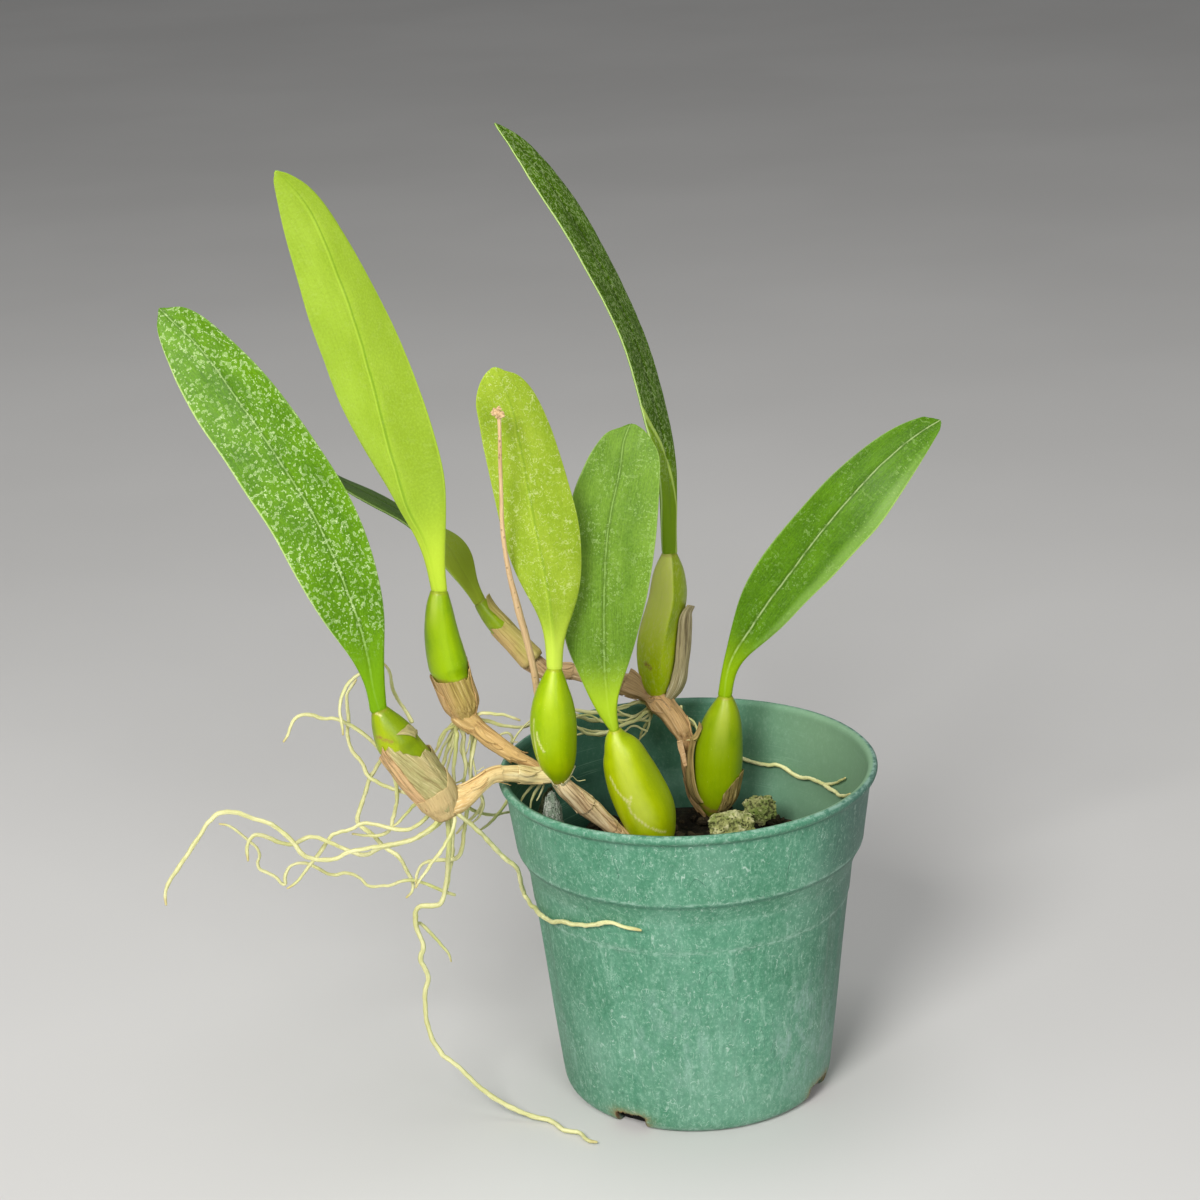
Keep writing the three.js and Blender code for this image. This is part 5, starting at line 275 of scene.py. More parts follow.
def tube(points, radii, sides=12, caps=(0.8, 0.8), reference=(0.31, -0.9, 0.3), wobble=None):
    """A round-ended tube. Returns vertices, faces, and per vertex: angle, distance along, radius."""
    points, radii = np.asarray(points, float), np.asarray(radii, float)
    t, e1, e2 = carried_frames(points, reference)
    s = lengths(points)
    rows, rad, along = [], [], []
    th = np.arange(sides) * 2 * np.pi / sides

    def ring(p, a, b, r):
        rr = r * np.ones(sides)
        return p + np.outer(rr * np.cos(th), a) + np.outer(rr * np.sin(th), b)

    head = [(0.98, 0.45), (0.72, 0.78), (0.36, 0.95)]
    if caps[0]:
        for k, w in head:
            rows.append(ring(points[0] - t[0] * radii[0] * caps[0] * k, e1[0], e2[0], radii[0] * w))
            rad.append(radii[0] * w)
            along.append(s[0] - radii[0] * caps[0] * k)
    for i in range(len(points)):
        rows.append(ring(points[i], e1[i], e2[i], radii[i]))
        rad.append(radii[i])
        along.append(s[i])
    if caps[1]:
        for k, w in reversed(head):
            rows.append(ring(points[-1] + t[-1] * radii[-1] * caps[1] * k, e1[-1], e2[-1], radii[-1] * w))
            rad.append(radii[-1] * w)
            along.append(s[-1] + radii[-1] * caps[1] * k)
    n = len(rows)
    v = np.vstack(rows)
    ang = np.tile(th, n)
    al = np.repeat(along, sides)
    ra = np.repeat(rad, sides)
    first, last = n * sides, n * sides + 1
    v = np.vstack([v, points[0] - t[0] * radii[0] * caps[0] * 1.05, points[-1] + t[-1] * radii[-1] * caps[1] * 1.05])
    faces = [grid_faces(n, sides, True), fan(first, np.arange(sides)), fan(last, np.arange(sides) + (n - 1) * sides, True)]
    return v, faces, np.r_[ang, 0, 0], np.r_[al, along[0], along[-1]], np.r_[ra, 0.01, 0.01]


def push(v, faces, amount):
    """Moves each vertex along its normal by amount (mm)."""
    n = np.zeros_like(v)
    for f in faces:
        f = np.asarray(f)
        a, b, c = v[f[:, 0]], v[f[:, 1]], v[f[:, 2]]
        fn = np.cross(b - a, c - a)
        if f.shape[1] == 4:
            d = v[f[:, 3]]
            fn = fn + np.cross(c - a, d - a)
        for k in range(f.shape[1]):
            np.add.at(n, f[:, k], fn)
    return v + unit(n) * np.asarray(amount)[:, None]


def ball(level):
    """A unit icosphere as vertices and triangles."""
    t = (1 + 5**0.5) / 2
    v = [(-1, t, 0), (1, t, 0), (-1, -t, 0), (1, -t, 0), (0, -1, t), (0, 1, t), (0, -1, -t), (0, 1, -t), (t, 0, -1), (t, 0, 1), (-t, 0, -1), (-t, 0, 1)]
    f = [(0, 11, 5), (0, 5, 1), (0, 1, 7), (0, 7, 10), (0, 10, 11), (1, 5, 9), (5, 11, 4), (11, 10, 2), (10, 7, 6), (7, 1, 8), (3, 9, 4), (3, 4, 2), (3, 2, 6), (3, 6, 8), (3, 8, 9), (4, 9, 5), (2, 4, 11), (6, 2, 10), (8, 6, 7), (9, 8, 1)]
    v = [np.array(p) / np.linalg.norm(p) for p in v]
    for _ in range(level):
        mids, nf = {}, []

        def mid(a, b):
            k = (min(a, b), max(a, b))
            if k not in mids:
                m = v[a] + v[b]
                v.append(m / np.linalg.norm(m))
                mids[k] = len(v) - 1
            return mids[k]

        for a, b, c in f:
            ab, bc, ca = mid(a, b), mid(b, c), mid(c, a)
            nf += [(a, ab, ca), (b, bc, ab), (c, ca, bc), (ab, bc, ca)]
        f = nf
    return np.array(v), np.array(f)


# ------------------------------------------------------------ materials
class Mat:
    """A procedural material: a Principled shader and short names for the nodes that feed it."""

    def __init__(self, name):
        self.m = bpy.data.materials.new(name)
        self.m.use_nodes = True
        self.t = self.m.node_tree
        self.t.nodes.clear()
        out = self.t.nodes.new("ShaderNodeOutputMaterial")
        self.b = self.t.nodes.new("ShaderNodeBsdfPrincipled")
        self.t.links.new(self.b.outputs[0], out.inputs[0])

    def put(self, socket, value):
        if isinstance(value, bpy.types.NodeSocket):
            self.t.links.new(value, socket)
        elif value is not None:
            socket.default_value = value

    def set(self, **kw):
        names = {"color": "Base Color", "rough": "Roughness", "normal": "Normal", "sss": "Subsurface Weight", "sss_scale": "Subsurface Scale", "sss_radius": "Subsurface Radius", "spec": "Specular IOR Level", "coat": "Coat Weight", "coat_rough": "Coat Roughness", "sheen": "Sheen Weight", "ior": "IOR"}
        for k, v in kw.items():
            self.put(self.b.inputs[names[k]], v)
        return self

    def attr(self, name, out="Vector"):
        n = self.t.nodes.new("ShaderNodeAttribute")
        n.attribute_type = "GEOMETRY"
        n.attribute_name = name
        return n.outputs[out]

    def obj(self):
        return self.t.nodes.new("ShaderNodeTexCoord").outputs["Object"]

    def scale(self, vec, sx, sy=None, sz=None):
        n = self.t.nodes.new("ShaderNodeVectorMath")
        n.operation = "MULTIPLY"
        self.put(n.inputs[0], vec)
        sy = sx if sy is None else sy
        sz = sx if sz is None else sz
        n.inputs[1].default_value = (sx, sy, sz)
        return n.outputs[0]

    def vadd(self, a, b):
        n = self.t.nodes.new("ShaderNodeVectorMath")
        n.operation = "ADD"
        self.put(n.inputs[0], a)
        self.put(n.inputs[1], b)
        return n.outputs[0]

    def split(self, vec):
        n = self.t.nodes.new("ShaderNodeSeparateXYZ")
        self.put(n.inputs[0], vec)
        return n.outputs

    def join(self, x, y, z):
        n = self.t.nodes.new("ShaderNodeCombineXYZ")
        for i, v in enumerate((x, y, z)):
            self.put(n.inputs[i], v)
        return n.outputs[0]

    def noise(self, vec, scale=1.0, detail=3.0, rough=0.5, distort=0.0, out="Fac"):
        n = self.t.nodes.new("ShaderNodeTexNoise")
        self.put(n.inputs["Vector"], vec)
        n.inputs["Scale"].default_value = scale
        n.inputs["Detail"].default_value = detail
        n.inputs["Roughness"].default_value = rough
        n.inputs["Distortion"].default_value = distort
        return n.outputs[out]

    def cells(self, vec, scale=1.0, feature="F1", random=1.0, out="Distance"):
        n = self.t.nodes.new("ShaderNodeTexVoronoi")
        n.feature = feature
        self.put(n.inputs["Vector"], vec)
        n.inputs["Scale"].default_value = scale
        n.inputs["Randomness"].default_value = random
        return n.outputs[out]

    def math(self, op, a, b=None, c=None, clamp=False):
        n = self.t.nodes.new("ShaderNodeMath")
        n.operation = op
        n.use_clamp = clamp
        self.put(n.inputs[0], a)
        if b is not None:
            self.put(n.inputs[1], b)
        if c is not None:
            self.put(n.inputs[2], c)
        return n.outputs[0]

    def rng(self, v, a, b, lo=0.0, hi=1.0, soft=True):
        """v from a..b to lo..hi, clamped."""
        n = self.t.nodes.new("ShaderNodeMapRange")
        n.interpolation_type = "SMOOTHSTEP" if soft else "LINEAR"
        self.put(n.inputs[0], v)
        for i, x in enumerate((a, b, lo, hi)):
            self.put(n.inputs[i + 1], x)
        return n.outputs[0]

    def mix(self, fac, a, b, how="MIX"):
        n = self.t.nodes.new("ShaderNodeMix")
        n.data_type = "RGBA"
        n.blend_type = how
        n.clamp_factor = True
        self.put(n.inputs[0], fac)
        self.put(n.inputs[6], a)
        self.put(n.inputs[7], b)
        return n.outputs[2]

    def ramp(self, fac, stops):
        n = self.t.nodes.new("ShaderNodeValToRGB")
        self.put(n.inputs[0], fac)
        e = n.color_ramp.elements
        while len(e) > 1:
            e.remove(e[-1])
        e[0].position, e[0].color = stops[0]
        for p, c in stops[1:]:
            x = e.new(p)
            x.color = c
        return n.outputs[0]

    def bump(self, height, strength=0.3, distance=0.0003, normal=None):
        n = self.t.nodes.new("ShaderNodeBump")
        n.inputs["Strength"].default_value = strength
        n.inputs["Distance"].default_value = distance
        self.put(n.inputs["Height"], height)
        if normal is not None:
            self.put(n.inputs["Normal"], normal)
        return n.outputs[0]

    def band(self, v, a, b, soft):
        """1 where v is between a and b."""
        up = self.rng(v, a - soft, a + soft)
        down = self.rng(v, b - soft, b + soft, 1.0, 0.0)
        return self.math("MULTIPLY", up, down)


# ------------------------------------------------------------ camera
CAM = np.array([0.0, -700.0, 376.7326])
RIGHT = np.array([0.99897557, 0.01628504, -0.04222087])
UP = np.array([0.03474591, 0.32171114, 0.94620012])
AHEAD = np.array([-0.02899183, 0.94669781, -0.32081573])
FOCAL = 2802.6602  # in pixels of a 1200-pixel frame


def seen(p):
    """Where millimetre points fall in the 1200 x 1200 frame."""
    d = np.atleast_2d(p) - CAM
    z = d @ AHEAD
    return np.stack([600 + FOCAL * (d @ RIGHT) / z, 600 - FOCAL * (d @ UP) / z], -1)


def sight(u, v):
    d = AHEAD + (u - 600) / FOCAL * RIGHT - (v - 600) / FOCAL * UP
    return d / np.linalg.norm(d)


def tree_of(verts, faces):
    polys = [p for f in faces for p in np.asarray(f).tolist()]
    return BVHTree.FromPolygons([tuple(x) for x in verts], polys)


def landed(tree, u, v):
    """The point (mm) and normal where the line of sight through (u, v) meets a surface."""
    hit = tree.ray_cast(Vector(CAM), Vector(sight(u, v)))
    return (np.array(hit[0]), np.array(hit[1])) if hit[0] is not None else (None, None)


def near_line(p, line):
    """Distance of points p to a 3-D line of points, and the share along it."""
    best, where = np.full(len(p), 1e9), np.zeros(len(p))
    line = np.asarray(line, float)
    s = lengths(line)
    for i in range(len(line) - 1):
        a, d = line[i], line[i + 1] - line[i]
        t = np.clip(((p - a) @ d) / max(d @ d, 1e-9), 0, 1)
        dist = np.linalg.norm(p - a - t[:, None] * d, axis=1)
        less = dist < best
        best[less] = dist[less]
        where[less] = ((s[i] + t * (s[i + 1] - s[i])) / s[-1])[less]
    return best, where

# ------------------------------------------------------------ finishes
def squiggles(m, lf, scale, width, cover, seed, soft=0.02):
    """Short curled strokes and small rings, as drops leave when they dry: broken contour lines of a fine noise."""
    q = m.vadd(m.scale(lf, scale, scale * 0.9, 0), (seed * 3.7, seed * 1.9, 0))
    line = m.band(m.noise(q, detail=1.2, rough=0.5), 0.5 - width, 0.5 + width, soft)
    gate = m.noise(m.vadd(m.scale(lf, scale * 0.62, scale * 0.55, 0), (seed * 5.1, 2.0, 0)), detail=2, rough=0.65)
    return m.math("MULTIPLY", line, m.rng(gate, cover, cover + 0.05))


def islands(m, lf, scale, cut, seed, fill=0.4, edge=0.035, squash=0.9):
    """Small ragged spots with a brighter outline, as drops leave when they dry."""
    n = m.noise(m.vadd(m.scale(lf, scale, scale * squash, 0), (seed * 4.3, seed * 2.6, 0)), detail=1.4, rough=0.5)
    inner = m.math("MULTIPLY", m.rng(n, cut, cut + 0.03), fill)
    return m.math("MAXIMUM", inner, m.band(n, cut, cut + edge, 0.012))


def leaf_upper(name, deep, light, rib, speck_amount, rings=True, rib_pale=True, speck_colour=None, spec=0.16, gloss=0.42, base_pale=0.10, cover=0.5, foot=None, margin=(0.5, 0.3), fold=None, roll=0.0, rib_gain=0.8):
    """Upper face of a leaf: fine cells and lengthwise veins, a fine midrib, a bright margin that is partly painted
    sheen along the right edge, and dried water marks.
    """
    m = Mat(name)
    lf, ln = m.attr("lf"), m.attr("ln")
    x, y, _ = m.split(lf)
    c, v, _w = m.split(ln)
    cloud = m.noise(m.scale(lf, 0.13, 0.06, 0), detail=3, rough=0.6)
    col = m.mix(m.rng(cloud, 0.3, 0.72), deep, light)
    cells = m.noise(m.scale(lf, 2.2, 1.2, 0), detail=4, rough=0.7)
    col = m.mix(m.rng(cells, 0.42, 0.7, 0, 0.3), col, tuple(min(1, k * 1.45 + 0.004) for k in light[:3]) + (1,))
    col = m.mix(m.rng(cells, 0.5, 0.3, 0, 0.35), col, tuple(k * 0.6 for k in deep[:3]) + (1,))
    veins = m.noise(m.scale(lf, 1.6, 0.03, 0), detail=2, rough=0.5)
    vein = m.band(veins, 0.49, 0.53, 0.012)
    col = m.mix(m.math("MULTIPLY", vein, 0.2), col, tuple(min(1, k * 1.5) for k in light[:3]) + (1,))
    ax = m.math("ABSOLUTE", m.math("ADD", x, m.math("MULTIPLY", m.math("SUBTRACT", m.noise(m.scale(lf, 0, 0.2, 0), detail=1), 0.5), 0.3)))
    rib_w = m.rng(v, 0.1, 0.95, 0.34, 0.2, soft=False)
    ribf = m.rng(m.math("DIVIDE", ax, rib_w), 0.4, 1.0, 1, 0)
    shade = m.rng(m.math("DIVIDE", ax, rib_w), 1.0, 4.0, 0.5, 0)
    broken = m.rng(m.noise(m.scale(lf, 0.5, 0.35, 0), detail=3), 0.35, 0.55, 0.35, 1.0)
    col = m.mix(shade, col, tuple(k * 0.6 for k in deep[:3]) + (1,))
    col = m.mix(m.math("MULTIPLY", m.math("MULTIPLY", ribf, broken), rib_gain if rib_pale else 0.35), col, rib)
    low = m.rng(v, base_pale + 0.12, base_pale - 0.07, 0, 0.85)
    col = m.mix(low, col, foot or tuple(a * 0.45 + b * 0.55 for a, b in zip(light, lin(150, 190, 40))))
    if fold:
        # the blade closes towards its stalk, so the far half shows its paler back beyond a bright line
        f0, f1, back, line_col = fold
        where = m.rng(v, f0, f1, 0.75, -1.15, soft=False)
        d = m.math("SUBTRACT", where, c)
        near = m.math("MULTIPLY", m.rng(d, 0.0, 0.08), m.rng(v, f1 + 0.01, f1 - 0.05))
        col = m.mix(near, col, back)
        col = m.mix(m.math("MULTIPLY", m.math("MULTIPLY", m.rng(d, -0.10, 0.0), m.rng(d, 0.22, 0.08)), m.rng(v, f1 + 0.04, f1 - 0.03)), col, line_col)
    pale = tuple(min(1, k * 1.9 + 0.05) for k in light[:3]) + (1,)
    if roll:
        band = m.math("MULTIPLY", m.rng(c, 0.62, 0.86), m.math("MULTIPLY", m.rng(v, 0.1, 0.3), m.rng(v, 1.0, 0.8)))
        col = m.mix(m.math("MULTIPLY", band, roll), col, lin(150, 186, 96))
    # a pale left margin in its own colour, and a lighter right margin that is partly its own colour and partly painted
    # sheen
    left = m.math("MULTIPLY", m.rng(c, -0.95, -0.985), margin[0])
    right = m.math("MULTIPLY", m.rng(c, 0.955, 0.99), margin[1])
    col = m.mix(left, col, lin(196, 222, 140))
    col = m.mix(right, col, lin(170, 200, 110))
    # dried drops
    sc = speck_colour or lin(186, 212, 140)
    warp = m.vadd(lf, m.scale(m.noise(m.scale(lf, 1.4, 1.4, 0), detail=2, out="Color"), 0.7, 0.7, 0))
    warp2 = m.vadd(lf, m.scale(m.noise(m.scale(lf, 2.6, 2.6, 0), detail=1, out="Color"), 0.3, 0.3, 0))
    if rings:
        dots = islands(m, warp2, 0.92, cover, 1.0)
        dots = m.math("MAXIMUM", dots, m.math("MULTIPLY", islands(m, warp2, 0.55, cover + 0.045, 2.0, fill=0.3, edge=0.02), 0.9))
        dots = m.math("MAXIMUM", dots, m.math("MULTIPLY", islands(m, lf, 2.0, cover + 0.06, 3.0, fill=0.9, squash=0.7), 0.7))
        dots = m.math("MAXIMUM", dots, m.math("MULTIPLY", squiggles(m, warp, 0.8, 0.02, 0.6, 4.0), 0.7))
    else:
        dots = squiggles(m, warp, 0.75, 0.022, cover + 0.05, 3.0)
        dots = m.math("MAXIMUM", dots, m.math("MULTIPLY", islands(m, warp2, 0.8, cover + 0.07, 5.0, fill=0.5), 0.8))
        dots = m.math("MAXIMUM", dots, m.math("MULTIPLY", islands(m, lf, 1.7, cover + 0.1, 6.0, fill=0.9), 0.7))
    crowd = m.rng(m.noise(m.scale(lf, 0.1, 0.06, 0), detail=2), 0.3, 0.5, 0.35, 1.0) if rings else m.rng(m.noise(m.scale(lf, 0.12, 0.07, 0), detail=2), 0.38, 0.6, 0.1, 1.0)
    far = m.rng(v, 0.10, 0.22)
    grain = m.rng(m.noise(m.scale(lf, 3.6, 3.6, 0), detail=1), 0.32, 0.6, 0.45, 1.0)
    dots = m.math("MULTIPLY", m.math("MULTIPLY", dots, grain), m.math("MULTIPLY", crowd, far))
    dots = m.math("MULTIPLY", dots, speck_amount, clamp=True)
    col = m.mix(dots, col, sc)
    rough = m.math("ADD", gloss, m.math("MULTIPLY", dots, 0.3))
    h = m.math("ADD", m.math("MULTIPLY", cells, 0.5), m.math("MULTIPLY", dots, 0.6))
    h = m.math("ADD", h, m.math("MULTIPLY", vein, 0.25))
    m.set(color=col, rough=rough, spec=spec, normal=m.bump(h, 0.35, 0.00025), sss=0.05, sss_scale=0.002)
    m.b.inputs["Subsurface Radius"].default_value = (0.5, 1.0, 0.1)
    return m.m


def leaf_under(name, deep, light, rib, fleck=0.25, gloss=0.45, rib_strength=0.6, base_pale=0.10, foot=None, side=0.0, cover=0.5):
    """Under face of a leaf: paler and smoother, with a soft midrib line and faint lengthwise veins."""
    m = Mat(name)
    lf, ln = m.attr("lf"), m.attr("ln")
    x, y, _ = m.split(lf)
    c, v, _w = m.split(ln)
    cloud = m.noise(m.scale(lf, 0.1, 0.045, 0), detail=3, rough=0.55)
    col = m.mix(m.rng(cloud, 0.3, 0.7), deep, light)
    # painted light and shade: the half towards the left edge is painted lighter, the half towards the right edge darker
    if side:
        col = m.mix(m.rng(c, 0.0, 0.25, 0, side), col, tuple(k * 0.8 for k in deep[:3]) + (1,))
        col = m.mix(m.rng(c, -0.15, -0.6, 0, side * 0.8), col, tuple(min(1, k * 1.12 + 0.01) for k in light[:3]) + (1,))
    cells = m.noise(m.scale(lf, 2.4, 1.3, 0), detail=3, rough=0.65)
    col = m.mix(m.rng(cells, 0.45, 0.7, 0, 0.22), col, tuple(min(1, k * 1.3 + 0.01) for k in light[:3]) + (1,))
    col = m.mix(m.rng(cells, 0.48, 0.28, 0, 0.3), col, tuple(k * 0.74 for k in deep[:3]) + (1,))
    veins = m.noise(m.scale(lf, 1.7, 0.03, 0), detail=2, rough=0.5)
    vein = m.band(veins, 0.485, 0.52, 0.014)
    col = m.mix(m.math("MULTIPLY", vein, 0.18), col, tuple(k * 0.8 for k in deep[:3]) + (1,))
    bend = m.math("MULTIPLY", m.math("SUBTRACT", m.noise(m.scale(lf, 0, 0.12, 0), detail=1), 0.5), 0.4)
    sx = m.math("ADD", x, bend)
    ax = m.math("ABSOLUTE", sx)
    rib_w = m.rng(v, 0.05, 0.95, 0.55, 0.25, soft=False)
    ribf = m.rng(m.math("DIVIDE", ax, rib_w), 0.2, 1.1, 1, 0)
    gone = m.rng(v, 0.85, 1.0, 1, 0.2)
    col = m.mix(m.math("MULTIPLY", m.math("MULTIPLY", ribf, gone), rib_strength), col, rib)
    # a thin pale ridge beside the darker line
    ridge = m.rng(m.math("ABSOLUTE", m.math("ADD", sx, 0.62)), 0.32, 0.05, 0, 1)
    col = m.mix(m.math("MULTIPLY", m.math("MULTIPLY", ridge, gone), rib_strength * 0.55), col, tuple(min(1, k * 1.35 + 0.02) for k in light[:3]) + (1,))
    low = m.rng(v, base_pale + 0.1, base_pale - 0.06, 0, 0.75)
    col = m.mix(low, col, foot or lin(160, 192, 48))
    edge = m.rng(m.math("ABSOLUTE", c), 0.955, 0.99)
    col = m.mix(m.math("MULTIPLY", edge, 0.45), col, tuple(min(1, k * 1.4 + 0.02) for k in light[:3]) + (1,))
    warp = m.vadd(lf, m.scale(m.noise(m.scale(lf, 1.3, 1.3, 0), detail=2, out="Color"), 0.8, 0.8, 0))
    vec = m.scale(warp, 1.25, 1.1, 0)
    who = m.split(m.cells(vec, out="Color"))[0]
    spot = m.math("MULTIPLY", m.rng(m.cells(vec), 0.10, 0.2, 1, 0), m.rng(who, 0.7, 0.74))
    spot = m.math("MAXIMUM", spot, squiggles(m, warp, 0.62, 0.02, cover, 1.0))
    spot = m.math("MAXIMUM", spot, m.math("MULTIPLY", squiggles(m, warp, 1.1, 0.03, cover, 2.0), 0.7))
    crowd = m.rng(m.noise(m.scale(lf, 0.12, 0.06, 0), detail=2), 0.3, 0.55, 0.3, 1.0)
    spot = m.math("MULTIPLY", m.math("MULTIPLY", spot, crowd), m.rng(v, 0.12, 0.3))
    col = m.mix(m.math("MULTIPLY", spot, fleck), col, lin(232, 240, 176))
    h = m.math("ADD", m.math("MULTIPLY", cells, 0.5), m.math("MULTIPLY", ribf, 0.5))
    h = m.math("ADD", h, m.math("MULTIPLY", spot, 0.4 * min(1.0, fleck * 2)))
    m.set(color=col, rough=gloss, spec=0.14, normal=m.bump(h, 0.25, 0.0002), sss=0.08, sss_scale=0.002)
    m.b.inputs["Subsurface Radius"].default_value = (0.6, 1.0, 0.1)
    return m.m


def bulb_finish(name, low, mid, high, side, gloss=0.34, streak=0.12, fleck=0.25, painted_light_and_tints=(), outline_sheen=None, haze=0.0):
    """A pseudobulb's skin: waxy and greener at the ends, with painted shade making it greener round the right and back,
    painted light on the left and front, a painted sheen along its outline, faint lengthwise streaks and pale flecks.
    """
    m = Mat(name)
    bl, bn = m.attr("bl"), m.attr("bn")
    v, cx, sx = m.split(bn)
    turn = m.math("DIVIDE", m.math("ARCTAN2", sx, cx), 2 * math.pi)
    col = m.ramp(v, [(0.0, low), (0.32, mid), (0.7, mid), (1.0, high)])
    cloud = m.noise(m.scale(bl, 0.16, 0.16, 0.1), detail=3, rough=0.55)
    col = m.mix(m.rng(cloud, 0.4, 0.75, 0, 0.55), col, side)
    lines = m.noise(m.scale(bl, 0.75, 0.75, 0.03), detail=3, rough=0.6)
    # turn runs 0..1 round the bulb from the front: right 0.25, back 0.5, left 0.75
    # mostly painted light, as paler bands on the left and front, and painted shade, as darker bands round the right
    for t0, t1, v0, v1, soft, colour, gain in painted_light_and_tints:
        away = m.math("ABSOLUTE", m.math("SUBTRACT", m.math("FRACT", m.math("ADD", turn, 1.5 - (t0 + t1) / 2)), 0.5))
        f = m.rng(away, (t1 - t0) / 2 + soft, (t1 - t0) / 2 - soft)
        f = m.math("MULTIPLY", f, m.rng(v, v0, v1))
        col = m.mix(m.math("MULTIPLY", f, gain), col, colour)
    if haze:
        hz = m.noise(m.scale(bl, 1.5, 1.5, 0.7), detail=4, rough=0.7)
        col = m.mix(m.rng(hz, 0.45, 0.75, 0, haze), col, lin(214, 214, 150))
    col = m.mix(m.rng(lines, 0.5, 0.72, 0, streak), col, tuple(k * 0.8 for k in side[:3]) + (1,))
    col = m.mix(m.rng(lines, 0.45, 0.28, 0, streak * 0.8), col, tuple(min(1, k * 1.2 + 0.004) for k in mid[:3]) + (1,))
    # painted sheen: a thin pale line along the bulb's outline
    if outline_sheen:
        t0, wid, v0, v1, gain = outline_sheen
        away = m.math("ABSOLUTE", m.math("SUBTRACT", m.math("FRACT", m.math("ADD", turn, 1.5 - t0)), 0.5))
        f = m.math("MULTIPLY", m.rng(away, wid, wid * 0.4), m.math("MULTIPLY", m.rng(v, v0, v0 + 0.06), m.rng(v, v1, v1 - 0.08)))
        col = m.mix(m.math("MULTIPLY", f, gain), col, lin(232, 240, 150))
    fine = m.noise(m.scale(bl, 2.4, 2.4, 1.6), detail=3, rough=0.6)
    col = m.mix(m.rng(fine, 0.55, 0.75, 0, 0.22), col, tuple(min(1, k * 1.3 + 0.02) for k in mid[:3]) + (1,))
    vec = m.scale(bl, 1.0, 1.0, 0.7)
    who = m.split(m.cells(vec, out="Color"))[0]
    dot = m.math("MULTIPLY", m.rng(m.cells(vec), 0.05, 0.13, 1, 0), m.rng(who, 0.72, 0.75))
    col = m.mix(m.math("MULTIPLY", dot, fleck), col, lin(225, 228, 150))
    scar = m.attr("scar", "Fac")
    ragged = m.math("MULTIPLY", scar, m.rng(m.noise(m.scale(bl, 1.6), detail=2), 0.3, 0.5, 0.2, 0.75))
    col = m.mix(ragged, col, lin(232, 228, 160))
    brown = m.attr("brown", "Fac")
    grit = m.rng(m.noise(m.scale(bl, 1.8), detail=3), 0.3, 0.65, 0.35, 1.0)
    col = m.mix(m.math("MULTIPLY", brown, grit), col, lin(150, 118, 60))
    rough = m.rng(fine, 0.3, 0.7, gloss - 0.04, gloss + 0.1)
    rough = m.math("ADD", rough, m.math("MULTIPLY", ragged, 0.3))
    h = m.math("ADD", m.math("MULTIPLY", lines, 0.8), m.math("MULTIPLY", fine, 0.35))
    h = m.math("ADD", h, m.math("MULTIPLY", ragged, 0.8))
    m.set(color=col, rough=rough, spec=0.28, normal=m.bump(h, 0.22, 0.0003), sss=0.12, sss_scale=0.003)
    m.b.inputs["Subsurface Radius"].default_value = (0.8, 1.0, 0.1)
    return m.m


def papery(name, tan, grey, dark, pale, spacing=1.0, contrast=0.6, rough=0.75):
    """Dry bract or sheath: lengthwise fibres in dark and pale lines over patches of tan and grey."""
    m = Mat(name)
    bl, bn = m.attr("bl"), m.attr("bn")
    v, tone, _ = m.split(bn)
    patch = m.noise(m.scale(bl, 0.17, 0.17, 0.09), detail=3, rough=0.6)
    col = m.mix(m.math("ADD", m.math("MULTIPLY", m.rng(patch, 0.35, 0.68), 0.35), m.math("MULTIPLY", tone, 0.75), clamp=True), tan, grey)
    fib = m.noise(m.scale(bl, 1.5 * spacing, 1.5 * spacing, 0.06), detail=3, rough=0.65)
    fine = m.noise(m.scale(bl, 4.5 * spacing, 4.5 * spacing, 0.2), detail=2, rough=0.6)
    col = m.mix(m.rng(fib, 0.5, 0.68, 0, contrast), col, dark)
    col = m.mix(m.rng(fib, 0.46, 0.3, 0, contrast * 0.8), col, pale)
    col = m.mix(m.rng(fine, 0.52, 0.75, 0, contrast * 0.5), col, dark)
    col = m.mix(m.rng(fine, 0.45, 0.25, 0, contrast * 0.5), col, pale)
    blot = m.noise(m.scale(bl, 0.5, 0.5, 0.4), detail=4, rough=0.7)
    col = m.mix(m.rng(blot, 0.56, 0.75, 0, 0.5), col, tuple(k * 0.6 for k in tan[:3]) + (1,))
    deep = m.attr("deep", "Fac")
    col = m.mix(m.math("MULTIPLY", deep, 0.75), col, tuple(k * 0.35 for k in dark[:3]) + (1,))
    h = m.math("ADD", m.math("MULTIPLY", fib, 1.0), m.math("MULTIPLY", fine, 0.4))
    m.set(color=col, rough=rough, spec=0.18, normal=m.bump(h, 0.5, 0.0005))
    return m.m


def root_finish(name="root"):
    m = Mat(name)
    bl = m.attr("bl")
    v, tip, _ = m.split(m.attr("bn"))
    n = m.noise(m.scale(bl, 0.5, 0.5, 0.12), detail=3, rough=0.6)
    col = m.mix(m.rng(n, 0.3, 0.7), lin(196, 196, 132), lin(228, 226, 172))
    fine = m.noise(m.scale(bl, 2.6, 2.6, 0.8), detail=3, rough=0.65)
    col = m.mix(m.rng(fine, 0.5, 0.75, 0, 0.45), col, lin(168, 158, 92))
    col = m.mix(m.rng(fine, 0.42, 0.25, 0, 0.5), col, lin(240, 238, 200))
    green = m.noise(m.scale(bl, 0.12, 0.12, 0.05), detail=2)
    col = m.mix(m.rng(green, 0.55, 0.72, 0, 0.45), col, lin(176, 186, 96))
    col = m.mix(m.math("MULTIPLY", tip, 0.6), col, lin(190, 172, 112))
    m.set(color=col, rough=0.62, spec=0.3, normal=m.bump(m.math("ADD", m.math("MULTIPLY", n, 0.5), fine), 0.5, 0.0003))
    return m.m


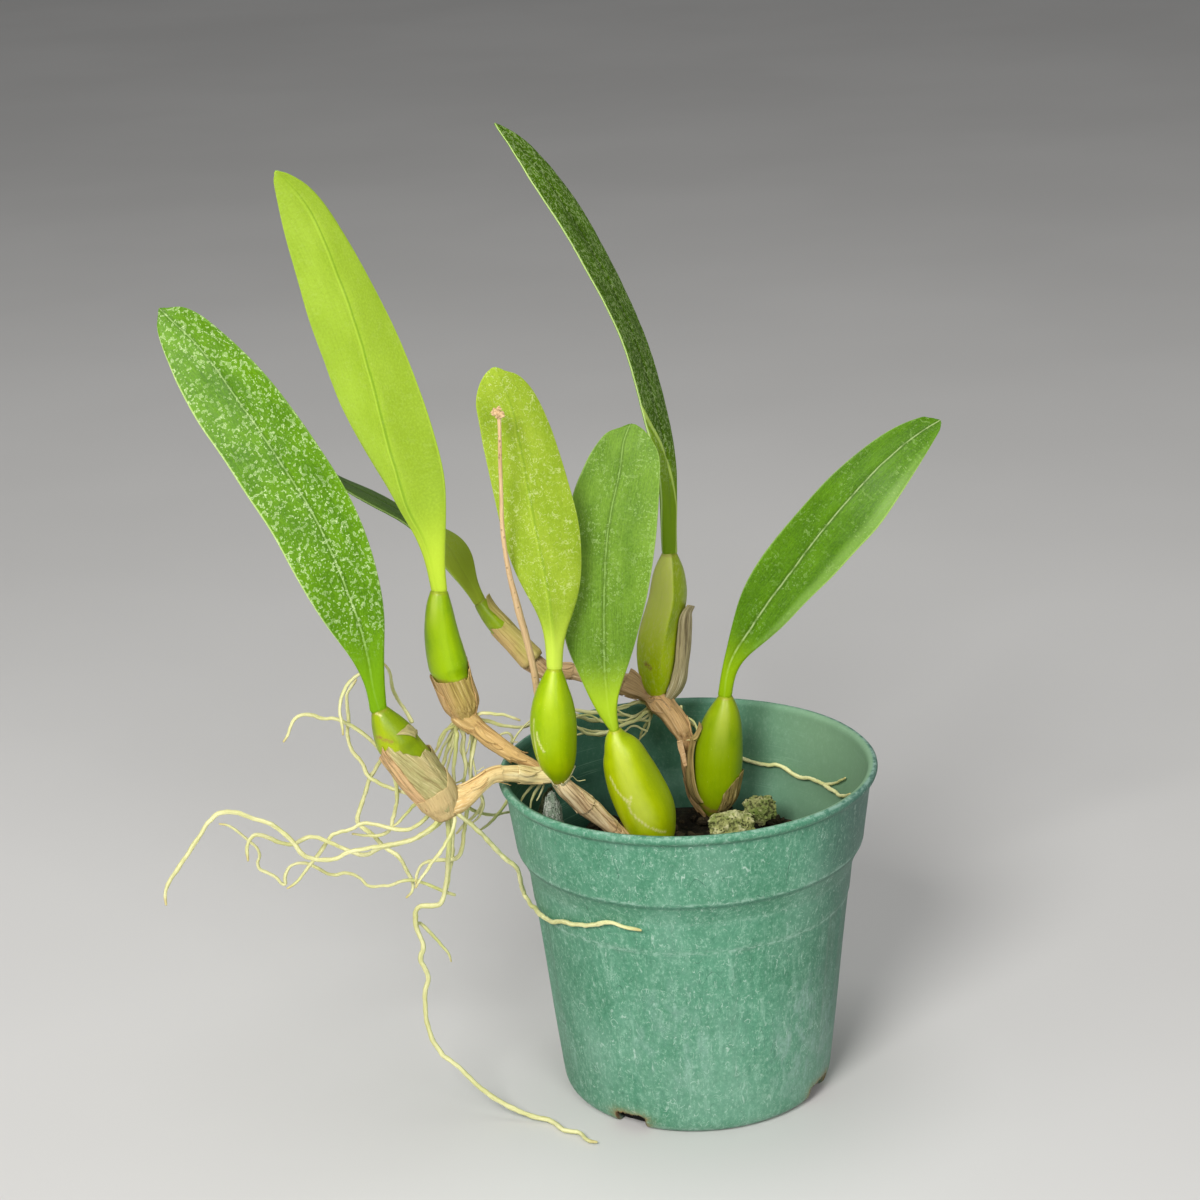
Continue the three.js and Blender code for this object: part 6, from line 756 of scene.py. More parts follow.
def pot_finish(name="pot_plastic"):
    """Thin teal nursery plastic: mineral film, curled and straight pale scuffs, rubbed edges and brown stains at the
    notches, with painted shade and light: a darker right side, dark lines under the fold and lip, a shaded inside with
    a lit right wall, and near-black through the notches.
    """
    m = Mat(name)
    p = m.scale(m.obj(), 1000)
    px, py, pz = m.split(p)
    wear, inside, low = m.split(m.attr("wr"))
    stain, fold_and_lip_shadow, lip = m.split(m.attr("st"))
    film = m.noise(m.scale(p, 0.035, 0.035, 0.03), detail=5, rough=0.62)
    base = m.mix(m.rng(film, 0.32, 0.68), lin(68, 128, 98), lin(86, 144, 116))
    mid = m.noise(m.scale(p, 0.5, 0.5, 0.3), detail=6, rough=0.82)
    col = m.mix(m.rng(mid, 0.5, 0.68, 0, 0.62), base, lin(130, 172, 150))
    col = m.mix(m.rng(mid, 0.48, 0.32, 0, 0.55), col, lin(50, 104, 80))
    fine = m.noise(m.scale(p, 1.2, 1.2, 0.9), detail=4, rough=0.75)
    col = m.mix(m.rng(fine, 0.52, 0.66, 0, 0.5), col, lin(150, 190, 168))
    col = m.mix(m.rng(fine, 0.47, 0.34, 0, 0.4), col, lin(48, 102, 80))
    # upright rubbed streaks
    up = m.noise(m.vadd(m.scale(p, 0.55, 0.55, 0.045), (5.0, 8.0, 2.0)), detail=4, rough=0.7)
    col = m.mix(m.math("MULTIPLY", m.rng(up, 0.54, 0.7, 0, 0.4), m.rng(pz, 66, 58)), col, lin(140, 180, 160))
    col = m.mix(m.math("MULTIPLY", m.rng(up, 0.45, 0.32, 0, 0.3), m.rng(pz, 66, 58)), col, lin(56, 112, 88))
    # a pale bloom in patches low at the right and down the middle
    def bloom(cx, cz, rx, rz, gain):
        d = m.math("ADD", m.math("POWER", m.math("DIVIDE", m.math("SUBTRACT", px, cx), rx), 2), m.math("POWER", m.math("DIVIDE", m.math("SUBTRACT", pz, cz), rz), 2))
        return m.math("MULTIPLY", m.rng(d, 1.0, 0.05), gain)
    spread = m.math("MAXIMUM", bloom(30.0, 22.0, 13.0, 26.0, 1.0), bloom(-6.0, 30.0, 16.0, 24.0, 0.5))
    spread = m.math("MULTIPLY", spread, m.rng(m.noise(m.scale(p, 0.3, 0.3, 0.16), detail=5, rough=0.72), 0.42, 0.66))
    out = m.math("SUBTRACT", 1.0, inside)
    veil = m.noise(m.vadd(m.scale(p, 0.05, 0.05, 0.028), (3.7, 1.2, 8.1)), detail=4, rough=0.6)
    veil_f = m.math("MULTIPLY", m.rng(veil, 0.46, 0.72), m.math("SUBTRACT", 1.0, m.math("MULTIPLY", inside, 0.6)))
    col = m.mix(m.math("MULTIPLY", veil_f, 0.24), col, lin(136, 172, 156))
    # more film low on the wall
    col = m.mix(m.math("MULTIPLY", spread, 0.6), col, lin(150, 178, 170))
    # painted shade with a grey painted sheen: the outside turns darker and greyer towards its right side, away from the
    # light
    right_shade_and_sheen = m.math("MULTIPLY", m.rng(px, 26.0, 48.0), m.math("SUBTRACT", 1.0, inside))
    col = m.mix(m.math("MULTIPLY", right_shade_and_sheen, 0.7), col, lin(70, 94, 92))
    foot = m.math("MULTIPLY", m.rng(pz, 46, 14), m.rng(m.noise(m.scale(p, 0.08, 0.08, 0.05), detail=4), 0.36, 0.62))
    col = m.mix(m.math("MULTIPLY", m.math("MULTIPLY", foot, out), 0.26), col, lin(134, 174, 154))
    total = None

    def strokes(sx, sz, width, mask_scale, cut, gain, off, warp):
        q = m.vadd(m.scale(p, sx, sx, sz), (off, off * 1.7, off * 0.6))
        line = m.noise(q, detail=0.6, distort=warp)
        f = m.band(line, 0.5 - width, 0.5 + width, width * 0.8)
        mask = m.rng(m.noise(m.vadd(m.scale(p, mask_scale, mask_scale, mask_scale * 0.75), (off * 3.1, 5.0, off)), detail=2, rough=0.6), cut, cut + 0.05)
        return m.math("MULTIPLY", m.math("MULTIPLY", f, mask), gain)

    for args in ((0.36, 0.10, 0.009, 0.4, 0.59, 0.6, 1.3, 0.9), (0.7, 0.16, 0.016, 0.6, 0.56, 0.5, 4.1, 0.7), (0.30, 0.22, 0.007, 0.3, 0.58, 0.7, 7.7, 1.9), (0.42, 0.36, 0.012, 0.4, 0.6, 0.65, 11.3, 2.4)):
        f = strokes(*args)
        total = f if total is None else m.math("MAXIMUM", total, f)
    # small curled rings
    ring_p = m.vadd(m.scale(p, 0.34, 0.34, 0.3), m.scale(m.noise(m.scale(p, 0.5), detail=1, out="Color"), 0.5, 0.5, 0.5))
    rd = m.cells(ring_p)
    who = m.split(m.cells(ring_p, out="Color"))[0]
    size = m.rng(who, 0.7, 1.0, 0.16, 0.34, soft=False)
    gap = m.math("ABSOLUTE", m.math("SUBTRACT", rd, size))
    rings = m.math("MULTIPLY", m.rng(gap, 0.055, 0.02, 0, 1), m.rng(who, 0.68, 0.7))
    rings = m.math("MULTIPLY", rings, m.rng(m.noise(m.scale(p, 0.6), detail=1), 0.42, 0.5))
    total = m.math("MAXIMUM", total, m.math("MULTIPLY", rings, m.rng(m.noise(m.scale(p, 0.12), detail=1), 0.5, 0.62, 0.0, 0.5)))
    dots = m.cells(m.scale(p, 0.8, 0.8, 0.62))
    who2 = m.split(m.cells(m.scale(p, 0.8, 0.8, 0.62), out="Color"))[0]
    dots = m.math("MULTIPLY", m.rng(dots, 0.04, 0.16, 1, 0), m.rng(who2, 0.72, 0.86))
    total = m.math("MAXIMUM", total, m.math("MULTIPLY", dots, 0.3))
    total = m.math("MULTIPLY", total, m.rng(veil, 0.3, 0.62, 0.55, 1.0))
    total = m.math("MULTIPLY", total, m.math("SUBTRACT", 1.0, m.math("MULTIPLY", inside, 0.75)))
    col = m.mix(total, col, lin(188, 212, 198))
    # hairline cracks, darker than the film
    hair = m.band(m.noise(m.vadd(m.scale(p, 0.09, 0.09, 0.035), (21.0, 3.0, 2.0)), detail=1.5, distort=0.4), 0.4985, 0.5015, 0.0012)
    hair = m.math("MULTIPLY", hair, m.rng(m.noise(m.vadd(m.scale(p, 0.07), (2.0, 9.0, 1.0)), detail=1), 0.56, 0.6))
    col = m.mix(m.math("MULTIPLY", m.math("MULTIPLY", hair, out), 0.75), col, lin(40, 86, 68))
    # rubbed edges, and painted shadow: the dark lines under the fold and under the lip bead
    rub = m.math("MULTIPLY", wear, m.rng(m.noise(m.scale(p, 0.5, 0.5, 1.2), detail=4, rough=0.7), 0.42, 0.6))
    col = m.mix(m.math("MULTIPLY", rub, 0.7), col, lin(168, 200, 184))
    col = m.mix(m.math("MULTIPLY", fold_and_lip_shadow, 0.6), col, lin(38, 84, 68))
    col = m.mix(m.math("MULTIPLY", lip, 0.15), col, lin(60, 118, 98))
    # the inside is duller and darker as painted shade, most of all low down and at the left, with painted light on its
    # right wall and faint turning lines
    col = m.mix(m.math("MULTIPLY", inside, 0.55), col, lin(80, 124, 100))
    # painted light on the inner right wall
    lit_inner_right_wall = m.math("MULTIPLY", inside, m.rng(px, 6.0, 40.0))
    col = m.mix(m.math("MULTIPLY", lit_inner_right_wall, 0.55), col, lin(144, 174, 138))
    # painted shade on the inner left wall
    shade = m.math("MULTIPLY", inside, m.rng(px, 6.0, -30.0))
    col = m.mix(m.math("MULTIPLY", shade, 0.6), col, lin(34, 74, 60))
    # painted shade low down inside
    col = m.mix(m.math("MULTIPLY", m.math("MULTIPLY", inside, low), 0.35), col, lin(40, 78, 62))
    turn = m.noise(m.scale(p, 0.012, 0.012, 0.75), detail=2, rough=0.5)
    patchy = m.rng(m.noise(m.scale(p, 0.06, 0.06, 0.06), detail=2), 0.45, 0.6)
    turned = m.math("MULTIPLY", m.band(turn, 0.5, 0.52, 0.012), patchy)
    col = m.mix(m.math("MULTIPLY", m.math("MULTIPLY", inside, turned), 0.25), col, lin(150, 186, 160))
    grit = m.rng(m.noise(m.scale(p, 0.9), detail=4, rough=0.7), 0.3, 0.62, 0.25, 1.0)
    st = m.math("MULTIPLY", stain, grit, clamp=True)
    col = m.mix(m.math("MULTIPLY", st, 0.85), col, lin(150, 112, 60))
    col = m.mix(m.math("MULTIPLY", m.rng(stain, 0.86, 1.04), 0.7), col, lin(96, 66, 38))
    # painted shade: near-black where the inside shows through each drain notch
    notch_shadow = m.attr("notch_shadow", "Fac")
    col = m.mix(notch_shadow, col, lin(9, 8, 6))
    rough = m.math("ADD", m.rng(mid, 0.3, 0.7, 0.46, 0.62), m.math("MULTIPLY", total, 0.2))
    rough = m.math("ADD", rough, m.math("MULTIPLY", st, 0.2), clamp=True)
    h = m.math("ADD", m.math("MULTIPLY", mid, 0.5), m.math("MULTIPLY", total, 0.7))
    h = m.math("SUBTRACT", h, m.math("MULTIPLY", hair, 0.8))
    m.set(color=col, rough=rough, spec=0.3, normal=m.bump(h, 0.25, 0.00025))
    return m.m


def soil_finish(name, dark, light, scale=1.0, rough=0.85, moss=None, shade_below=None):
    m = Mat(name)
    p = m.scale(m.obj(), 1000)
    n = m.noise(m.scale(p, 0.25 * scale), detail=6, rough=0.7)
    col = m.mix(m.rng(n, 0.32, 0.7), dark, light)
    fine = m.noise(m.scale(p, 1.3 * scale), detail=5, rough=0.75)
    col = m.mix(m.rng(fine, 0.55, 0.78, 0, 0.75), col, tuple(min(1, k * 2.4 + 0.01) for k in light[:3]) + (1,))
    col = m.mix(m.rng(fine, 0.46, 0.26, 0, 0.8), col, tuple(k * 0.35 for k in dark[:3]) + (1,))
    if moss:
        g = m.noise(m.vadd(m.scale(p, 0.3 * scale), (9.0, 2.0, 4.0)), detail=5, rough=0.7)
        col = m.mix(m.rng(g, moss[1], moss[1] + 0.16, 0, moss[2]), col, moss[0])
    tint = m.attr("tone", "Fac")
    col = m.mix(m.math("MULTIPLY", tint, 0.8), col, tuple(min(1, k * 2.2 + 0.004) for k in light[:3]) + (1,))
    # painted shade: the medium turns near-black below this height, deep inside the pot
    if shade_below:
        col = m.mix(m.rng(m.split(p)[2], shade_below + 6, shade_below), col, lin(7, 6, 5))
    m.set(color=col, rough=rough, spec=0.2, normal=m.bump(m.math("ADD", n, m.math("MULTIPLY", fine, 0.6)), 0.8, 0.0012))
    return m.m


def stone_finish(name, body, pale, green, dark, scale=1.0):
    """Porous pumice with a green film: pits, pale high spots and dark hollows."""
    m = Mat(name)
    p = m.scale(m.obj(), 1000)
    n = m.noise(m.scale(p, 0.28 * scale), detail=6, rough=0.66)
    col = m.mix(m.rng(n, 0.34, 0.66), body, green)
    high = m.attr("high", "Fac")
    col = m.mix(m.rng(high, 0.1, 0.85, 0, 0.75), col, pale)
    col = m.mix(m.rng(high, -0.05, -0.8, 0, 0.85), col, dark)
    pits = m.cells(m.scale(p, 1.15 * scale), feature="F1")
    pit = m.rng(pits, 0.12, 0.42, 1, 0)
    who = m.split(m.cells(m.scale(p, 1.15 * scale), out="Color"))[0]
    pit = m.math("MULTIPLY", pit, m.rng(who, 0.4, 0.6))
    col = m.mix(m.math("MULTIPLY", pit, 0.7), col, dark)
    fine = m.noise(m.scale(p, 2.2 * scale), detail=5, rough=0.75)
    col = m.mix(m.rng(fine, 0.52, 0.75, 0, 0.6), col, pale)
    col = m.mix(m.rng(fine, 0.46, 0.25, 0, 0.6), col, tuple(k * 0.5 for k in body[:3]) + (1,))
    h = m.math("SUBTRACT", m.math("ADD", m.math("MULTIPLY", n, 0.8), m.math("MULTIPLY", fine, 0.6)), m.math("MULTIPLY", pit, 0.9))
    m.set(color=col, rough=0.9, spec=0.2, normal=m.bump(h, 0.9, 0.0012))
    return m.m

# ------------------------------------------------------------ pot
RIM_R, POT_H, WALL, LIP_H = 51.0, 92.5, 1.2, 2.6
COLLAR_TOP, FOLD_R, FOLD_Z = 49.3, 46.95, 71.8
BODY_TOP_R, BODY_TOP_Z, FOOT_R, FOOT_Z = 43.95, 65.2, 36.95, 3.2
BASE_R, FLOOR_T = 33.6, 1.5
PANEL_TOP = 56.5
NOTCHES = [(-120.4, 9.2, 4.4), (-26.5, 10.4, 4.6), (60.0, 9.2, 4.4), (150.0, 9.2, 4.4)]


def densify(pts, step):
    out = []
    for (r0, z0), (r1, z1) in zip(pts[:-1], pts[1:]):
        n = max(1, int(math.ceil(math.hypot(r1 - r0, z1 - z0) / step)))
        out += [(r0 + (r1 - r0) * i / n, z0 + (z1 - z0) * i / n) for i in range(n)]
    return out + [pts[-1]]


def rounded(pts, times=2):
    p = np.array(pts, float)
    for _ in range(times):
        q = p.copy()
        q[1:-1] = 0.25 * p[:-2] + 0.5 * p[1:-1] + 0.25 * p[2:]
        p = q
    return p


def make_pot():
    top, w = POT_H, WALL
    outer = [(BASE_R, 0.0), (BASE_R + 1.7, 0.45), (BASE_R + 2.8, 1.6), (FOOT_R, FOOT_Z), (BODY_TOP_R, BODY_TOP_Z),
             (BODY_TOP_R + 1.1, BODY_TOP_Z + 2.9), (BODY_TOP_R + 2.1, BODY_TOP_Z + 5.0), (FOLD_R - 0.1, FOLD_Z - 0.5), (FOLD_R + 0.12, FOLD_Z + 0.1), (FOLD_R + 0.1, FOLD_Z + 0.8),
             (COLLAR_TOP - 0.1, top - LIP_H - 0.6), (COLLAR_TOP + 0.1, top - LIP_H - 0.1), (RIM_R - 0.75, top - LIP_H + 0.25), (RIM_R - 0.2, top - LIP_H + 0.7),
             (RIM_R, top - 1.2), (RIM_R - 0.15, top - 0.6), (RIM_R - 0.6, top - 0.12), (RIM_R - 1.15, top)]
    inner = [(RIM_R - 1.8, top - 0.02), (RIM_R - 2.4, top - 0.25), (RIM_R - 2.85, top - 0.75), (COLLAR_TOP - w - 0.1, top - LIP_H),
             (FOLD_R - w + 0.35, FOLD_Z + 4.6), (FOLD_R - w, FOLD_Z + 0.2), (FOLD_R - w - 0.7, FOLD_Z - 1.4), (BODY_TOP_R - w + 0.9, BODY_TOP_Z + 2.6),
             (BODY_TOP_R - w, BODY_TOP_Z), (FOOT_R - w, FOOT_Z + 0.2), (FOOT_R - w - 0.9, FLOOR_T + 0.5), (BASE_R - 0.4, FLOOR_T)]
    prof = rounded(densify(outer + inner, 0.9), 2)
    floor_ring = [(r, 0.0) for r in (3.0, 10.0, 18.0, 26.0, 31.0)]
    top_ring = [(r, FLOOR_T) for r in (30.0, 20.0, 10.0, 3.0)]
    prof = np.vstack([floor_ring, prof, top_ring])
    n_out = len(floor_ring) + len(densify(outer, 0.9))
    N = 256
    th = -math.pi / 2 + np.arange(N) * 2 * math.pi / N
    deg = np.degrees(th)
    rows = []
    for i, (r, z) in enumerate(prof):
        rr = np.full(N, r)
        outside = i < n_out
        if 2.5 < z < 64.5 and r > 34:
            # shallow upright channels below the step line, deepest at their tops
            d = np.zeros(N)
            for k in range(8):
                a0 = -119.8 + 45 * k
                u = (deg - a0 + 180) % 360 - 180
                ch = sstep(-0.45, 0.15, u) * sstep(9.2, 7.4, u)
                d += ch * (0.14 + 0.26 * sstep(10, 56, z))
            d *= sstep(PANEL_TOP + 0.3, PANEL_TOP - 1.3, z) * sstep(6, 16, z)
            ledge = 0.24 * sstep(PANEL_TOP + 0.35, PANEL_TOP - 0.35, z) * sstep(20, 48, z)
            rr -= (d + ledge) * (1.0 if outside else 0.5)
        rows.append(np.stack([rr * np.cos(th), rr * np.sin(th), np.full(N, z)], -1))
    v = np.vstack(rows)
    # the lip and wall are never quite true
    a = np.arctan2(v[:, 1], v[:, 0])
    hgt = v[:, 2] / POT_H
    bow = 0.28 * hgt**2 * (np.sin(2 * a + 0.7) + 0.5 * np.sin(3 * a + 2.1)) + 0.12 * noise3(v * 0.06, 5) * hgt
    rad = np.hypot(v[:, 0], v[:, 1])
    keep = rad > 33
    scale = np.where(keep, 1 + bow / np.maximum(rad, 1), 1)
    v[:, 0] *= scale
    v[:, 1] *= scale
    v[:, 2] += np.where(v[:, 2] > 60, 0.12 * np.sin(3 * a + 0.4) * sstep(60, 92, v[:, 2]), 0) * 0.7
    n_rows = len(prof)
    v = np.vstack([v, [(0, 0, 0), (0, 0, FLOOR_T)]])
    k = n_rows * N
    faces = [grid_faces(n_rows, N, True), fan(k, np.arange(N)), fan(k + 1, np.arange(N) + (n_rows - 1) * N, True)]
    me = bpy.data.meshes.new("pot_body_tmp")
    me.from_pydata((v * MM).tolist(), [], [p for f in faces for p in f.tolist()])
    o = bpy.data.objects.new("pot_body_tmp", me)
    bpy.context.scene.collection.objects.link(o)
    cut = []
    for q, (ang, wid, hig) in enumerate(NOTCHES):
        # an uneven notch outline, pushed through the wall
        rngq = np.random.default_rng(40 + q)
        n = 26
        xs = np.linspace(-wid / 2, wid / 2, n)
        zs = hig + 0.22 * rngq.standard_normal(n) - 0.5 * (np.abs(xs) / (wid / 2)) ** 6 + (0.35 * xs / wid if q == 0 else -0.3 * xs / wid)
        outline = [(-wid / 2, -2.0)] + list(zip(xs, zs)) + [(wid / 2, -2.0)]
        vv, ca, sa = [], math.cos(math.radians(ang)), math.sin(math.radians(ang))
        for rr in (31.9, 41.5):
            for x, z in outline:
                vv.append((rr * ca - x * sa, rr * sa + x * ca, z))
        m = len(outline)
        ff = [tuple(range(m))[::-1], tuple(range(m, 2 * m))] + [(i, (i + 1) % m, m + (i + 1) % m, m + i) for i in range(m)]
        cm = bpy.data.meshes.new("cut")
        cm.from_pydata((np.array(vv) * MM).tolist(), [], ff)
        bm = bmesh.new()
        bm.from_mesh(cm)
        bmesh.ops.recalc_face_normals(bm, faces=bm.faces[:])
        bm.to_mesh(cm)
        bm.free()
        co = bpy.data.objects.new("cut", cm)
        bpy.context.scene.collection.objects.link(co)
        md = o.modifiers.new("n%d" % q, "BOOLEAN")
        md.operation, md.object, md.solver = "DIFFERENCE", co, "EXACT"
        cut.append(co)
    dg = bpy.context.evaluated_depsgraph_get()
    res = bpy.data.meshes.new_from_object(o.evaluated_get(dg))
    for c in cut + [o]:
        bpy.data.objects.remove(c)
    nv = len(res.vertices)
    co = np.empty(nv * 3, dtype=np.float32)
    res.vertices.foreach_get("co", co)
    p = co.reshape(-1, 3).astype(float) / MM
    r = np.hypot(p[:, 0], p[:, 1])
    z = p[:, 2]
    ang = np.degrees(np.arctan2(p[:, 1], p[:, 0]))
    wall_mid = np.interp(z, [0, FOOT_Z, BODY_TOP_Z, FOLD_Z, POT_H - LIP_H, POT_H - 0.8, POT_H], [BASE_R - 2, FOOT_R - 0.6, BODY_TOP_R - 0.6, FOLD_R - 0.6, COLLAR_TOP - 0.6, RIM_R - 1.7, RIM_R - 1.5])
    aa = np.arctan2(p[:, 1], p[:, 0])
    hh = z / POT_H
    bowed = 0.28 * hh**2 * (np.sin(2 * aa + 0.7) + 0.5 * np.sin(3 * aa + 2.1)) + 0.12 * noise3(p * 0.06, 5) * hh
    gap = np.where(z < PANEL_TOP + 1.5, 0.42, 0.0)
    inside = sstep(0.12, -0.12, r - bowed - wall_mid + gap) * sstep(1.0, 1.6, z)
    wear = np.exp(-((z - FOLD_Z - 0.3) / 0.45) ** 2) * 0.75
    wear = np.maximum(wear, np.exp(-((z - PANEL_TOP - 0.1) / 0.5) ** 2) * 0.9)
    wear = np.maximum(wear, sstep(POT_H - 0.75, POT_H - 0.2, z) * 0.8)
    wear = np.maximum(wear, np.exp(-((z - BODY_TOP_Z) / 0.8) ** 2) * 0.25)
    wear = np.maximum(wear, sstep(3.0, 0.8, z) * 0.7)
    for kk in range(8):
        u = (ang - (-119.8 + 45 * kk) + 180) % 360 - 180
        line = np.exp(-((u + 0.5) / 0.5) ** 2) * sstep(PANEL_TOP, 50, z) * sstep(4, 14, z) * 0.75
        wear = np.maximum(wear, line)
    wear *= 1 - 0.5 * inside
    stain = np.zeros(nv)
    # painted shade for the view through each notch: near-black on the inner cut and the floor edge there
    notch_shadow = np.zeros(nv)
    for ang0, wid, hig in NOTCHES:
        u = ((ang - ang0 + 180) % 360 - 180) * math.pi / 180 * r
        dx = np.maximum(np.abs(u) - wid / 2, 0)
        dz = np.maximum(z - hig, 0)
        stain = np.maximum(stain, np.exp(-(dx / 1.5) - (dz / 0.95)) * 1.05)
        notch_shadow = np.maximum(notch_shadow, sstep(wid / 2 + 1.2, wid / 2 + 0.4, np.abs(u)) * sstep(hig + 1.6, hig + 0.9, z) * sstep(34.6, 34.2, r))
    stain *= sstep(34.4, 35.0, r)
    # painted shade: the inside darkens low down (third value of wr)
    low = sstep(88, 66, z)
    at = res.attributes.new("notch_shadow", "FLOAT", "POINT")
    at.data.foreach_set("value", notch_shadow.astype(np.float32))
    # the second value of st is painted shadow: dark lines under the fold and under the lip bead
    for key, val in (("wr", np.stack([wear, inside, low], -1)), ("st", np.stack([stain, np.maximum(np.exp(-((z - FOLD_Z + 0.75) / 0.5) ** 2), np.exp(-((z - POT_H + LIP_H + 0.35) / 0.35) ** 2) * 0.9) * (1 - inside), sstep(POT_H - 2.2, POT_H - 1.2, z)], -1))):
        at = res.attributes.new(key, "FLOAT_VECTOR", "POINT")
        at.data.foreach_set("vector", val.astype(np.float32).ravel())
    res.name = "pot_shell"
    res.materials.clear()
    res.materials.append(pot_finish())
    flags = np.full(len(res.polygons), True)
    res.polygons.foreach_set("use_smooth", flags)
    o = bpy.data.objects.new("pot_shell", res)
    bpy.context.scene.collection.objects.link(o)
    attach(o, "root")
    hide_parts("pot")
    return o


# ------------------------------------------------------------ medium, stones and chips
def crumb(sh, centre, size, seed, flat=0.5, level=1, angular=0.5, tone=0.0):
    """One irregular crumb or chip."""
    g = np.random.default_rng(seed)
    v, f = ball(level)
    v = v * (1 + 0.35 * noise3(v * 1.3 + seed * 3.7, seed)[:, None] + 0.12 * g.standard_normal((len(v), 1)) * (1 if level < 2 else 0.3))
    if angular:
        for _ in range(5):
            d = unit(g.standard_normal(3))
            lim = g.uniform(0.45, 0.8)
            over = np.maximum(v @ d - lim, 0)
            v = v - over[:, None] * d * angular * 1.6
    v = v * np.array([1, g.uniform(0.55, 0.9), flat])
    a, b = g.uniform(0, 2 * math.pi), g.uniform(-0.45, 0.45)
    ca, sa = math.cos(a), math.sin(a)
    rz = np.array([[ca, -sa, 0], [sa, ca, 0], [0, 0, 1]])
    cb, sb = math.cos(b), math.sin(b)
    rx = np.array([[1, 0, 0], [0, cb, -sb], [0, sb, cb]])
    v = v @ rx.T @ rz.T * size + np.asarray(centre)
    sh.add(v, [f], tone=np.full(len(v), tone))


def medium_top(x, y):
    r = np.hypot(x, y)
    return 64.2 - 2.2 * (np.minimum(r, 42) / 42) ** 2


def make_medium():
    sh = Shape()
    N, rad = 200, np.r_[np.linspace(0.8, 41.2, 66), 41.75]
    wall = lambda z: FOOT_R - WALL - 0.35 + (BODY_TOP_R - FOOT_R) * (z - FOOT_Z) / (BODY_TOP_Z - FOOT_Z)
    rows = []
    th = np.arange(N) * 2 * np.pi / N
    for r in rad:
        x, y = r * np.cos(th), r * np.sin(th)
        p = np.stack([x, y, medium_top(x, y)], -1)
        q = p * np.array([0.14, 0.14, 0.0])
        h = 1.1 * fbm(q, 3, 21) + 0.55 * fbm(p * np.array([0.55, 0.55, 0]), 3, 4)
        edge = 1 - sstep(38, 41.2, r) * 0.8
        p[:, 2] += np.clip(h, -2.2, 1.7) * edge - 0.4
        rows.append(p)
    for z in (60, 45, 25, 4.4):
        r = wall(z)
        rows.append(np.stack([r * np.cos(th), r * np.sin(th), np.full(N, z)], -1))
    for r in (BASE_R - 1.4, 12.0):
        rows.append(np.stack([r * np.cos(th), r * np.sin(th), np.full(N, FLOOR_T + 0.4)], -1))
    v = np.vstack(rows + [[(0, 0, 63.6), (0, 0, FLOOR_T + 0.4)]])
    n = len(rows)
    faces = [grid_faces(n, N, True, True), fan(n * N, np.arange(N), True), fan(n * N + 1, np.arange(N) + (n - 1) * N)]
    sh.add(v, faces, tone=np.zeros(len(v)))
    sh.build("medium_bed", [soil_finish("soil", lin(22, 18, 12), lin(50, 44, 30), moss=(lin(84, 88, 52), 0.56, 0.5), shade_below=14)], ["potting_medium"], "bark")

    chips = Shape()
    g = np.random.default_rng(11)
    blocked = [(11.5, 8.6, 6.5), (19.8, 20.2, 5.0)]
    for i in range(420):
        r, a = 41.0 * math.sqrt(g.uniform(0.0, 1.0)), g.uniform(0, 2 * math.pi)
        x, y = r * math.cos(a), r * math.sin(a)
        if any(math.hypot(x - bx, y - by) < br for bx, by, br in blocked):
            continue
        s = float(np.clip(g.lognormal(0.35, 0.45), 0.6, 3.4))
        s = min(s, max(0.6, (41.4 - r) * 0.9 + 0.5))
        z = float(medium_top(x, y)) + g.uniform(-0.2, 0.7) * min(s, 1.6)
        crumb(chips, (x, y, z), s, 300 + i, flat=g.uniform(0.35, 0.8), level=1 if s < 2 else 2, tone=float(g.uniform(0, 1) ** 3))
    chips.build("loose_bark", [soil_finish("bark_crumbs", lin(28, 22, 14), lin(66, 56, 38), moss=(lin(96, 100, 66), 0.58, 0.4))], slot="bark", smooth=False)

    for name, c, size, seed, flat in (("bark_chip_right", (29.5, 7.5, 65.9), 4.9, 81, 0.42), ("bark_chip_middle", (0.5, -13.5, 66.2), 4.3, 82, 0.4), ("bark_chip_left", (-21.5, 17.5, 66.0), 4.5, 83, 0.4)):
        s = Shape()
        crumb(s, c, size, seed, flat=flat, level=4, angular=0.6)
        vv = s.v[0]
        s.v[0] = vv + unit(vv - np.array(c)) * (0.28 * fbm(vv * 0.8, 3, seed))[:, None]
        s.build(name + "_piece", [soil_finish(name, lin(38, 26, 18), lin(84, 62, 44), 0.8)], [name], "bark")


def stone(node, centre, radii, seed, mat, level=5, rough=0.17, cuts=7, slot="pumice", stretch=None, spin=0.0):
    g = np.random.default_rng(seed)
    v, f = ball(level)
    for _ in range(cuts):
        d = unit(g.standard_normal(3))
        over = np.maximum(v @ d - g.uniform(0.62, 0.86), 0)
        v = v - over[:, None] * d * 0.8
    base = v.copy()
    big = fbm(base * 1.7 + seed, 3, seed)
    small = fbm(base * 5.5 + seed, 3, seed + 7)
    pits = -np.maximum(0, noise3(base * 6.5 + 3.1 * seed, seed + 3) - 0.25) * 0.9
    high = np.clip(0.55 * big + 0.5 * small + pits * 1.4, -1.2, 1.2)
    v = v * (1 + rough * big + rough * 0.42 * small + pits * rough * 0.75)[:, None]
    v = v * np.asarray(radii)
    if spin:
        c, s = math.cos(spin), math.sin(spin)
        v = v @ np.array([[c, 0, -s], [0, 1, 0], [s, 0, c]])
    v = v + np.asarray(centre)
    sh = Shape()
    sh.add(v, [f], high=high)
    return sh.build(node + "_rock", [mat], [node], slot)


